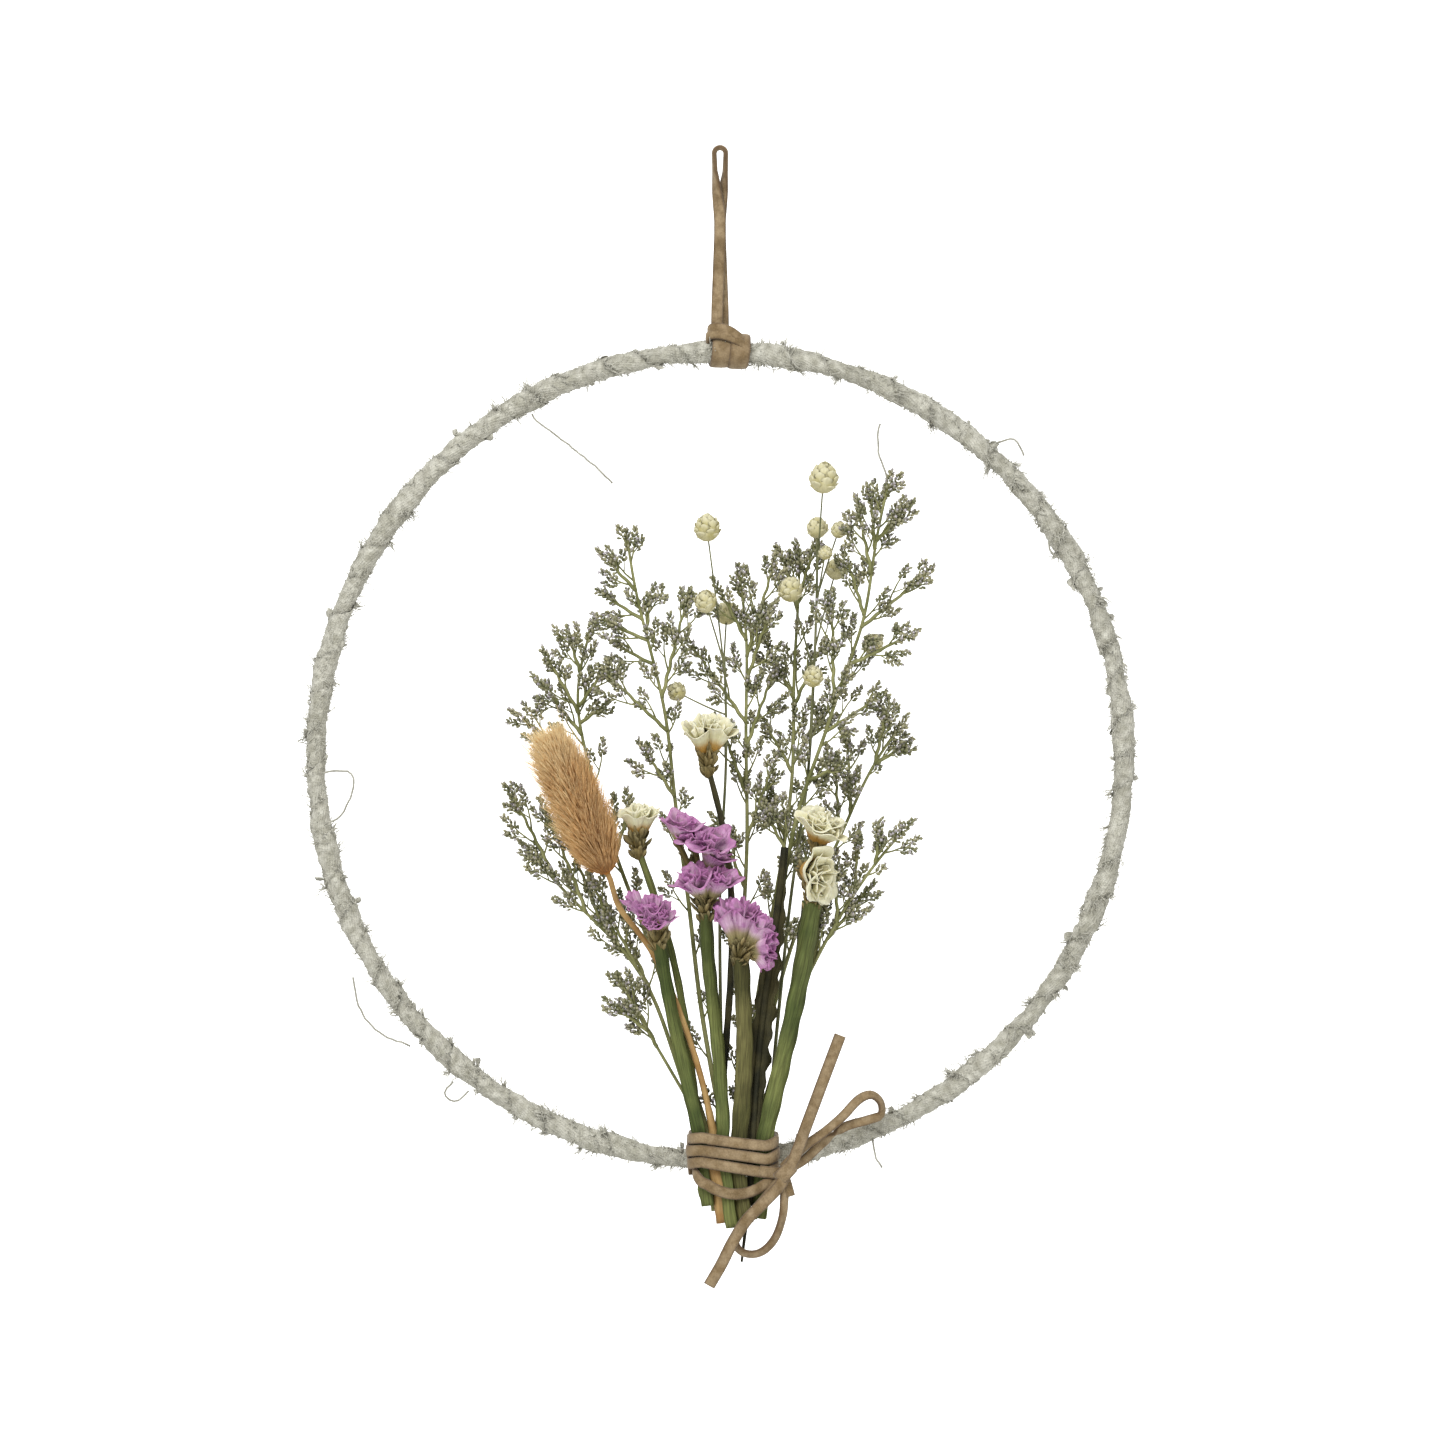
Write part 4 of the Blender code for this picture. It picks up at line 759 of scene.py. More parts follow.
    def sheet(self, middle: Array, thickness: float, tip: Array, tone: float) -> None:
        """A thin closed sheet round a grid of points whose rows are open.

        Args:
            middle: The sheet's middle face, as rows by columns by three.
            thickness: How thick it is.
            tip: The tip value of each point of the grid.
            tone: How light it is.
        """
        rows, columns, _ = middle.shape
        normal = unit(np.cross(np.gradient(middle, axis=0), np.gradient(middle, axis=1)))
        front, back = middle - 0.5 * thickness * normal, middle + 0.5 * thickness * normal
        points = np.concatenate([front, back[:, ::-1]], axis=1).reshape(-1, 3)
        k = np.arange(columns - 1)
        last = (rows - 1) * 2 * columns
        ends = np.vstack([
            np.stack([k + 1, k, 2 * columns - 1 - k, 2 * columns - 2 - k], axis=1),
            last + np.stack([k, k + 1, 2 * columns - 2 - k, 2 * columns - 1 - k], axis=1),
        ])
        tips = np.concatenate([tip, tip[:, ::-1]], axis=1).ravel()
        along = np.repeat(np.arange(rows) * 0.4, 2 * columns)
        across = np.tile(np.concatenate([np.arange(columns), np.arange(columns)[::-1]]) * 0.4, rows)
        quads = np.vstack([grid_quads(rows, 2 * columns), ends])
        self.add(points, quads, tone=tone, tip=tips, along=along, across=across)

    def build(
        self, name: str, finishes: Sequence[Finish], groups: SurfaceGroups, slot: str, nodes: Sequence[str]
    ) -> bpy.types.Object:
        """The finished piece, which rides on the frame and stands for its nodes.

        Args:
            name: The piece's name.
            finishes: Its finishes, in the order of the look numbers.
            groups: The shared node groups.
            slot: The record's material slot; not used.
            nodes: The CAD nodes that it stands for.

        Returns:
            The object.
        """
        mesh = bpy.data.meshes.new(name)
        points = to_world(np.concatenate(self.points))
        quads = np.concatenate(self.quads) if self.quads else np.empty((0, 4), int)
        tris = np.concatenate(self.tris) if self.tris else np.empty((0, 3), int)
        corners = np.concatenate([quads.ravel(), tris.ravel()])
        starts = np.concatenate([4 * np.arange(len(quads)), 4 * len(quads) + 3 * np.arange(len(tris))])
        mesh.vertices.add(len(points))
        mesh.vertices.foreach_set("co", points.astype(np.float32).ravel())
        mesh.loops.add(len(corners))
        mesh.loops.foreach_set("vertex_index", corners.astype(np.int32))
        mesh.polygons.add(len(starts))
        mesh.polygons.foreach_set("loop_start", starts.astype(np.int32))
        looks = np.concatenate([*self.quad_looks, *self.tri_looks])
        mesh.polygons.foreach_set("material_index", looks.astype(np.int32))
        mesh.update(calc_edges=True)
        mesh.shade_smooth()
        for label, parts in self.values.items():
            values = mesh.attributes.new(label, "FLOAT", "POINT")
            values.data.foreach_set("value", np.concatenate(parts).astype(np.float32))
        for finish in finishes:
            mesh.materials.append(finish.material(groups))
        piece = bpy.data.objects.new(name, mesh)
        bpy.context.scene.collection.objects.link(piece)
        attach(piece, ROOT)
        if nodes:
            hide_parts(*nodes)
        LOG.info("%s: %d triangles", name, 2 * len(quads) + len(tris))
        return piece


def spindle(rings: Sequence[tuple[float, float]], sides: int, tip_from: float = 0.7,
            lobes: float = 0.0) -> Stamp:
    """A closed turned shape.

    Args:
        rings: Heights and radii, the first and last of them at the two points.
        sides: How many corners it has round.
        tip_from: The share of its height from which it takes the tip colour.
        lobes: How much every other corner is drawn in.

    Returns:
        The stamp.
    """
    angles = 2 * math.pi * np.arange(sides) / sides
    around = np.stack([np.cos(angles), np.sin(angles), np.zeros(sides)], axis=1)
    around = around * (1.0 - lobes * (np.arange(sides) % 2))[:, None]
    points = [np.array([[0.0, 0.0, rings[0][0]]])]
    for height, radius in rings[1:-1]:
        points.append(radius * around + (0.0, 0.0, height))
    points.append(np.array([[0.0, 0.0, rings[-1][0]]]))
    points = np.concatenate(points)
    k = np.arange(sides)
    n = (k + 1) % sides
    top = len(points) - 1
    tris = np.vstack([
        np.stack([np.zeros(sides, int), 1 + n, 1 + k], axis=1),
        np.stack([np.full(sides, top), top - sides + k, top - sides + n], axis=1),
    ])
    share = points[:, 2] / max(rings[-1][0], 1e-6)
    tip = np.clip((share - tip_from) / max(1.0 - tip_from, 1e-6), 0.0, 1.0)
    return Stamp(points, 1 + grid_quads(len(rings) - 2, sides), tris, tip)


def blade(width: float, cup: float, curl: float, thickness: float = 0.05, rows: int = 6,
          widest: float = 0.55) -> Stamp:
    """A thin closed petal or bract of length one.

    Args:
        width: Its greatest half width.
        cup: How far its edges rise towards +Y at the middle.
        curl: How far its end bends over towards +Y.
        thickness: How thick it is.
        rows: How many rows it has along its length.
        widest: Where along its length it is widest.

    Returns:
        The stamp.
    """
    stations = ((-1.0, 0.0), (-0.5, 1.0), (0.0, 1.0), (0.5, 1.0), (1.0, 0.0), (0.5, -1.0), (0.0, -1.0),
                (-0.5, -1.0))
    points, tips = [], []
    for row in range(rows):
        z = row / (rows - 1)
        bulge = math.sin(math.pi * min(1.0, z ** (math.log(0.5) / math.log(widest)))) ** 0.7
        half = width * max(bulge, 0.06)
        for x, side in stations:
            y = cup * x * x * bulge + curl * z * z + 0.5 * side * thickness
            points.append((half * x, y, z))
            tips.append(z)
    points = np.array(points)
    sides = len(stations)
    k = np.arange(1, sides - 1)
    last = (rows - 1) * sides
    tris = np.vstack([
        np.stack([np.zeros(sides - 2, int), k + 1, k], axis=1),
        np.stack([np.full(sides - 2, last), last + k, last + k + 1], axis=1),
    ])
    return Stamp(points, grid_quads(rows, sides)[:, ::-1], tris[:, ::-1], np.array(tips) ** 2)


# Where the stems, branches, globes and florets of the CAD source are

# Each stem: its radius at the foot and at the top, and its route from foot to top
STEMS: dict[str, tuple[float, float, tuple[Point, ...]]] = {
    "statice_left_stem": (1.3, 1.35, (
        (-2.4, -8.6, -108), (-4.1, -9.3, -98), (-4.9, -9.3, -91), (-7.6, -9.6, -79), (-10, -10.5, -70),
        (-13, -12, -59), (-15, -13.6, -47.5))),
    "bunny_tail_stem": (0.85, 0.8, (
        (2.6, -9.6, -112), (-1.7, -9.4, -98), (-1.6, -9.2, -90), (-4.2, -9.2, -77), (-9, -9.4, -63),
        (-14, -10, -50), (-19, -11.2, -40), (-26.22, -12.87, -29.64))),
    "statice_middle_stem": (1.3, 1.4, (
        (3.6, -9.8, -113), (1.1, -9.4, -98), (0, -10, -77), (-1.6, -11, -62), (-3, -12, -48),
        (-4, -13, -38))),
    "statice_right_stem": (1.65, 1.7, (
        (6.6, -9.8, -112), (4.6, -9.3, -98), (5.6, -10.6, -76), (6.2, -12, -60), (5.2, -13.4, -53))),
    "white_right_stem": (1.5, 2.0, (
        (9, -9, -111), (10.3, -9.2, -98), (11, -9.3, -91), (13, -9.8, -80), (16, -10.4, -68),
        (19.2, -11, -51), (23, -11.4, -36))),
    "dark_leafy_stem": (0.9, 1.3, (
        (7.4, -8, -108), (7.6, -9.4, -98), (8.8, -8.6, -76), (11, -7.6, -56), (13.4, -6.4, -41),
        (15.2, -5.4, -29), (15.6, -5, -22))),
    "white_left_stem": (0.85, 0.7, (
        (-3.4, -6.9, -106.5), (-4.9, -6.75, -98), (-5, -6.75, -91), (-6.8, -6.8, -76), (-10.6, -7, -50),
        (-15.6, -7.4, -33), (-19.4, -8, -22.6))),
    "white_middle_stem": (0.8, 0.6, (
        (1.2, -6.6, -112), (-0.7, -6.75, -98), (1.2, -6.6, -70), (3.4, -6, -40), (2.4, -5, -22),
        (0.4, -4.6, -10), (-2, -4.6, -3.4))),
    "caspia_far_left": (0.6, 0.4, (
        (-3, -5.4, -104), (-3.9, -5.15, -98), (-4.8, -5.1, -91), (-8.8, -4.4, -79), (-14, -3.6, -63),
        (-17, -3, -54), (-22.4, -2.2, -47), (-30.4, -1, -40), (-40.6, 0.6, -30), (-46, 1.6, -23.4))),
    "caspia_behind_tail": (0.65, 0.4, (
        (-1, -6.9, -109.5), (-2.8, -6.75, -98), (-3.1, -6.7, -91), (-7.4, -5.2, -78), (-12.6, -3, -59),
        (-17.4, 0, -44), (-24, 3.4, -28), (-29, 5.6, -13), (-32, 6.6, -1), (-35, 7.2, 8), (-36, 7.4, 15),
        (-33.8, 7.6, 24), (-31.4, 7.8, 31))),
    "caspia_left_tall": (0.65, 0.4, (
        (2.6, -6.6, -113.5), (1.5, -6.75, -98), (-1.6, -4.6, -78), (-5, -2.4, -59), (-7.4, -0.6, -36),
        (-10, 0.4, -18), (-11.8, 0.6, -4), (-12.2, 0.4, 7), (-15, 0, 19), (-18, -0.4, 30),
        (-21.2, -1, 42), (-22.4, -1.4, 52.6))),
    "caspia_centre": (0.65, 0.4, (
        (4.5, -6.6, -114), (3.5, -6.75, -98), (4.2, -4.2, -78), (5, -1, -58), (5.8, 2, -36),
        (6.8, 4, -22), (6.4, 5.4, -4), (6.2, 6, 14), (7, 6.2, 28), (4.6, 6.4, 44.6))),
    "caspia_centre_right": (0.65, 0.4, (
        (6.4, -6.6, -113), (5.6, -6.75, -98), (6.6, -3.2, -78), (9.6, 2, -55), (14, 6.6, -32),
        (17.6, 9.4, -8), (18.2, 10, 6), (17.6, 10.4, 19), (19, 10.6, 32), (19.4, 10.8, 47.4))),
    "caspia_right_tall": (0.65, 0.4, (
        (8.4, -7, -111.5), (9.3, -6.75, -98), (10.2, -5.8, -78), (13, -4, -50), (16, -2, -26),
        (20, -0.8, -8), (25.2, -0.2, 3), (28, 0, 14), (30.4, 0, 22), (35.4, 0, 31), (36.4, 0, 41),
        (37, -0.2, 50), (40.8, -0.4, 66))),
    "caspia_right": (0.6, 0.4, (
        (4.6, -5.3, -104), (4.4, -5.2, -98), (4.9, -5.1, -91), (9.2, -1.4, -76), (14, 3, -57),
        (20, 5.6, -38), (28, 7, -23), (31.4, 7.4, -16), (34.4, 7.6, -6), (39, 7.6, 1), (43.6, 7.4, 7))),
    "caspia_right_low": (0.6, 0.4, (
        (7, -5.3, -104), (7.4, -5.2, -98), (8.4, -5.1, -91), (12.4, -5.2, -78), (17.6, -6.2, -60),
        (24, -7.4, -47), (29, -7.8, -38), (34, -8, -30), (39, -8, -23), (44, -7.8, -18))),
    "caspia_low_left": (0.5, 0.35, (
        (-1, -5.4, -103), (-1.8, -5.2, -98), (-3, -5.1, -91), (-6.2, -5.6, -86), (-10.4, -6.6, -78),
        (-15.6, -7.6, -69), (-19.6, -8.2, -63), (-24, -8.8, -54))),
    "globe_stems_left": (0.5, 0.3, (
        (0.6, -5.4, -103), (0.6, -5.2, -98), (0.6, -5.1, -91), (0.4, -2.4, -76), (0, 1.6, -52), (0, 3.4, -26),
        (1.6, 3.6, -4), (1.4, 3.2, 14), (1, 2.6, 25))),
    "globe_stems_right": (0.5, 0.3, (
        (10.2, -7, -108.5), (11.1, -6.7, -98), (12.6, -2.6, -78), (15, 1, -54), (17.6, 2.6, -30),
        (21.4, 3.6, -6), (22.6, 4, 16), (23.4, 4, 34), (23.6, 4, 47))),
}

# Branches of each spray: the height where one leaves the stem, and where it ends
BRANCHES: dict[str, tuple[tuple[float, Point], ...]] = {
    "caspia_far_left": (
        (-31, (-50, -1, -10)), (-38, (-42, -5, -13)), (-42, (-37, 4, -20)), (-46, (-31, -2, -30)),
        (-52, (-27, 3, -38)), (-58, (-22, 2, -45))),
    "caspia_behind_tail": (
        (-2, (-48, 4, 9)), (5, (-44, 9, 18)), (10, (-42, 4, 24)), (8, (-28.6, 11, 12)),
        (12, (-28, 5, 21)), (20, (-37, 12, 29)), (-14, (-38, 10, -2)), (-24, (-22, 9, -12))),
    "caspia_left_tall": (
        (40, (-27, -4, 47)), (33, (-28, 2, 39)), (28, (-28.4, -3, 33)), (6, (-28, -1, 20.5)),
        (30, (-16.6, 3, 39)), (14, (-8, 2, 38)), (-10, (-18, -5, 1)), (22, (-25, 4, 27))),
    "caspia_centre": (
        (24, (13, 9, 46)), (28, (0, 3, 40)), (18, (12, 3, 35)), (8, (-7, 9, 27)), (2, (13, 8, 20)),
        (-10, (0, 9, 8)), (-20, (13, 3, -2)), (-32, (-1, 5, -16))),
    "caspia_centre_right": (
        (36, (15, 14, 49)), (38, (23, 7, 51)), (14, (11, 13, 28)), (12, (25, 13, 27)), (-4, (11, 12, 8)),
        (-2, (25, 11, 10)), (-20, (11, 10, -10)), (-26, (23, 12, -14))),
    "caspia_right_tall": (
        (44, (33.6, -4, 58)), (50, (36.6, 3, 62.6)), (31, (50.4, 2, 44.6)), (52, (45, -3, 60)),
        (22, (45, -3, 29)), (12, (27, -4, 37)), (34, (31, 4, 47)), (6, (38, 3, 14)), (-6, (29, -4, -2)),
        (-24, (11, 2, -14))),
    "caspia_right": (
        (-2, (40.4, 4, 11)), (-14, (31, 11, 4)), (-20, (28, 3, -4)), (-34, (20, 10, -20)),
        (-2, (45.6, 10, 3))),
    "caspia_right_low": (
        (-33, (33, -4, -22)), (-40, (28, -11, -26)), (-26, (38.4, -11, -17)), (-50, (25, -4, -36)),
        (-44, (35, -5, -33))),
    "caspia_low_left": ((-70, (-22, -4, -57)), (-66, (-25, -11, -60))),
}

# Stalks of the cream globes: the height where each leaves its stem, and the globe's centre and size
GLOBES: dict[str, tuple[tuple[float, Point, float], ...]] = {
    "globe_stems_left": (
        (20, (-3, -1, 55), 3.6), (10, (-10.4, 4.6, 15.4), 2.6), (22, (-3.2, 0.4, 37), 3.0),
        (24, (1.6, 2.2, 34.6), 3.2)),
    "globe_stems_right": (
        (44, (25, 2.6, 67.2), 4.0), (40, (23.6, 6.8, 55.4), 2.9), (38, (28.6, 2.2, 54.6), 2.2),
        (26, (28, 5.8, 45.2), 2.9), (36, (25.4, 0, 49), 1.9), (20, (17.4, 1, 40), 3.3),
        (4, (37, 5.4, 27), 2.8), (-2, (22.4, -2.6, 19), 2.8)),
}

Floret = tuple[Point, Point, float, float]

# Papery heads: stem, centre and axis, and each floret's throat, facing, length and mouth radius
HEADS: dict[str, tuple[str, Point, Point, tuple[Floret, ...]]] = {
    "statice_left_petals": ("statice_left_stem", (-14.8, -14.4, -42.6), (0.0, -0.25, 1.0), (
        ((-0.6, 0, 1.2), (-0.12, -0.3, 1.0), 9.2, 3.7), ((0.6, 0, 1.0), (0.25, -0.6, 0.9), 7.2, 3.2),
        ((-0.4, -0.5, 1.4), (-0.25, -1.0, 0.75), 5.0, 3.1),
        ((-2.0, 0.5, 2.4), (-0.72, -0.1, 1.0), 9.4, 2.3))),
    "statice_middle_petals": ("statice_middle_stem", (-3.4, -14.2, -35.6), (0, -0.2, 1.0), (
        ((-0.4, -0.2, 1.2), (-0.45, -0.5, 1.0), 7.4, 3.7), ((1.2, 0, 1.4), (0.35, -0.5, 1.0), 7.4, 3.6),
        ((1.0, 0.4, 11.6), (0.1, -0.75, 0.9), 6.2, 4.2), ((-6.4, 0.8, 15.0), (0.15, -0.35, 1.0), 6.2, 4.2),
        ((0.2, 1.0, 8.0), (0.45, -0.4, 1.0), 6.4, 3.4), ((-2.6, 0.6, 13.6), (-0.1, -0.6, 0.8), 5.0, 3.2))),
    "statice_right_petals": ("statice_right_stem", (5.2, -15.2, -46.4), (0.3, -0.25, 1), (
        ((-1.4, 0, 1.2), (-0.32, -0.12, 1.0), 10.8, 2.9), ((-0.2, -0.2, 1.4), (0.06, -0.18, 1.0), 10.4, 3.5),
        ((1.2, 0, 1.0), (0.62, -0.15, 0.9), 8.6, 3.5), ((1.7, 0.1, -0.1), (1.0, -0.15, 0.3), 6.6, 3.2),
        ((2.4, 0.2, -0.5), (0.85, -0.1, -0.5), 5.6, 2.6))),
    "white_left_petals": ("white_left_stem", (-19.6, -9.0, -20.2), (0.0, -0.2, 1.0), (
        ((-0.4, 0, 1.0), (-0.1, -0.35, 1.0), 7.8, 3.2), ((0.8, 0, 1.0), (0.22, -0.1, 1.0), 7.6, 3.0))),
    "white_middle_petals": ("white_middle_stem", (-2.8, -5.4, -0.6), (0.0, -0.2, 1.0), (
        ((-0.9, 0, 1.0), (-0.28, -0.45, 1.0), 9.0, 3.5), ((0.9, 0, 1.0), (0.32, -0.3, 1.0), 9.2, 3.4),
        ((0, 0.4, 1.2), (0.0, 0.2, 1.0), 8.8, 3.1))),
    "white_right_petals": ("white_right_stem", (22.4, -12.6, -33.0), (0.1, -0.2, 1.0), (
        ((-3.0, -0.4, 6.0), (0.75, -0.55, -0.15), 6.6, 5.0),
        ((-1.6, -0.4, 4.0), (0.8, -0.55, -0.45), 6.0, 4.2),
        ((0.4, 0.2, 12.4), (0.2, -0.35, 1.0), 6.6, 4.8), ((1.2, 0.2, 12.2), (0.5, -0.45, 0.9), 6.0, 4.4))),
}

LEAN_CHOICES = (0.0, 1.5, -1.5, 3.0, -3.0, 5.0, -5.0, 7.5, -7.5)
BUNNY_FOOT = np.array([-26.4, -12.9, -29.4])
BUNNY_TOP = np.array([-41.0, -14.2, 4.6])
BUNNY_CORE_RADIUS = 4.9
CORE_HALF_LENGTH = 1.5
CORE_RADIUS = 1.7


FULLNESS = {"statice_left_petals": 0.86, "statice_middle_petals": 1.22, "white_right_petals": 1.22}


@dataclass
class StemLayout:
    """Where the stems run: the written routes, bent apart until none touch, as in the CAD source."""

    spacing: float = 2.0
    margin: float = 0.25
    rounds: int = 160
    slot_top: float = -90.0
    slot_bottom: float = -104.5

    def balls(self) -> list[tuple[Array, float, str]]:
        """Balls that the stems keep clear of: each one's centre, its radius and its own stem."""
        found = []
        for stem, centre, _, florets in HEADS.values():
            for place, way, length, mouth in florets:
                middle = np.array(centre) + place + 0.6 * length * unit(way)
                found.append((middle, 0.5 * (mouth + length), stem))
            found.append((np.array(centre), CORE_RADIUS + 0.5, stem))
        for share in np.linspace(0.0, 1.0, 9):
            middle = BUNNY_FOOT + share * (BUNNY_TOP - BUNNY_FOOT)
            found.append((middle, BUNNY_CORE_RADIUS + 1.3, "bunny_tail_stem"))
        return found

    def push_from_stems(self, points: Array, radius: Array, owner: Array, free: Array) -> Array:
        """How far each stem point moves sideways to clear the points of the other stems.

        Args:
            points: The points of all the stems.
            radius: The stem's radius at each point.
            owner: The number of each point's stem.
            free: Which points may move.

        Returns:
            The moves.
        """
        apart = points[:, None] - points[None]
        distance = np.linalg.norm(apart, axis=2)
        need = radius[:, None] + radius[None] + GAP + self.margin
        close = (distance < need) & (owner[:, None] != owner[None])
        apart = apart * (0.6, 1.0, 0.1)
        length = np.maximum(np.linalg.norm(apart, axis=2), 1e-6)
        share = np.where(free[None], 0.5, 1.0)
        push = np.where(close, share * (need - distance) / length, 0.0)
        return (push[:, :, None] * apart).sum(axis=1) / np.maximum(close.sum(axis=1), 1)[:, None]

    def push_from_balls(self, points: Array, radius: Array, owner: Array) -> Array:
        """How far each stem point moves to clear the heads that its own stem doesn't carry.

        Args:
            points: The points of all the stems.
            radius: The stem's radius at each point.
            owner: The number of each point's stem.

        Returns:
            The moves.
        """
        balls = self.balls()
        centres = np.array([centre for centre, _, _ in balls])
        reach = np.array([size for _, size, _ in balls])
        keeper = np.array([list(STEMS).index(stem) for _, _, stem in balls])
        apart = points[:, None] - centres[None]
        distance = np.linalg.norm(apart, axis=2)
        need = radius[:, None] + reach[None] + GAP
        close = (distance < need) & (owner[:, None] != keeper[None])
        push = np.where(close, (need - distance) / np.maximum(distance, 1e-6), 0.0)
        return (push[:, :, None] * apart).sum(axis=1)

    def routes(self) -> dict[str, Array]:
        """The relaxed route of every stem, from foot to top."""
        routes = [smooth(route, self.spacing) for _, _, route in STEMS.values()]
        lengths = np.array([len(route) for route in routes])
        owner = np.repeat(np.arange(len(routes)), lengths)
        points = np.concatenate(routes)
        radius = np.concatenate(
            [np.linspace(low, high, count) for (low, high, _), count in zip(STEMS.values(), lengths)]
        )
        tops = np.cumsum(lengths) - 1
        free = (points[:, 2] >= self.slot_top) | (points[:, 2] <= self.slot_bottom)
        free[tops] = False
        inner = free.copy()
        inner[tops - lengths + 1] = False
        for _ in range(self.rounds):
            move = self.push_from_stems(points, radius, owner, free)
            move += self.push_from_balls(points, radius, owner)
            points[free] += 0.6 * move[free]
            middle = 0.5 * (np.roll(points, 1, axis=0) + np.roll(points, -1, axis=0))
            points[inner] += 0.12 * (middle - points)[inner]
        return {name: points[owner == i] for i, name in enumerate(STEMS)}


def at_height(route: Array, height: float) -> Array:
    """The point of a route at a height."""
    return np.array([np.interp(height, route[:, 2], route[:, k]) for k in range(3)])


def eased(route: Array, rounds: int, low: float = -84.0) -> Array:
    """A route with its bends above a height drawn out.

    Args:
        route: The route, with even steps.
        rounds: How often each point is moved towards the middle of its neighbours.
        low: The height below which it stays as it is.

    Returns:
        The new route.
    """
    route = route.copy()
    free = route[1:-1, 2:] > low
    for _ in range(rounds):
        middle = 0.5 * (route[:-2] + route[2:])
        route[1:-1] += 0.5 * free * (middle - route[1:-1])
    return route


def arc(start: Array, end: Array, lean: float, count: int = 3) -> Array:
    """A twig's route: it leaves along the way up and then turns out to its tip.

    Args:
        start: Where it leaves.
        end: Its written tip.
        lean: How far the tip is moved along Y.
        count: How many points the route has.

    Returns:
        The route.
    """
    end = np.asarray(end, float) + (0.0, lean, 0.0)
    knee = start + 0.5 * (end - start) * (0.9, 1.0, 1.0) + (0.0, 0.0, -0.06 * abs(end[0] - start[0]))
    t = np.linspace(0.0, 1.0, count)[:, None]
    return (1 - t) ** 2 * start + 2 * t * (1 - t) * knee + t**2 * end


def node_points(node: str) -> Array:
    """The corners of a CAD node, in millimetres from the hoop's centre."""
    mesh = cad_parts[node].data
    found = np.empty(3 * len(mesh.vertices))
    mesh.vertices.foreach_get("co", found)
    return found.reshape(-1, 3) / MM + (0.0, 0.0, HANG_DROP)


# The made pieces


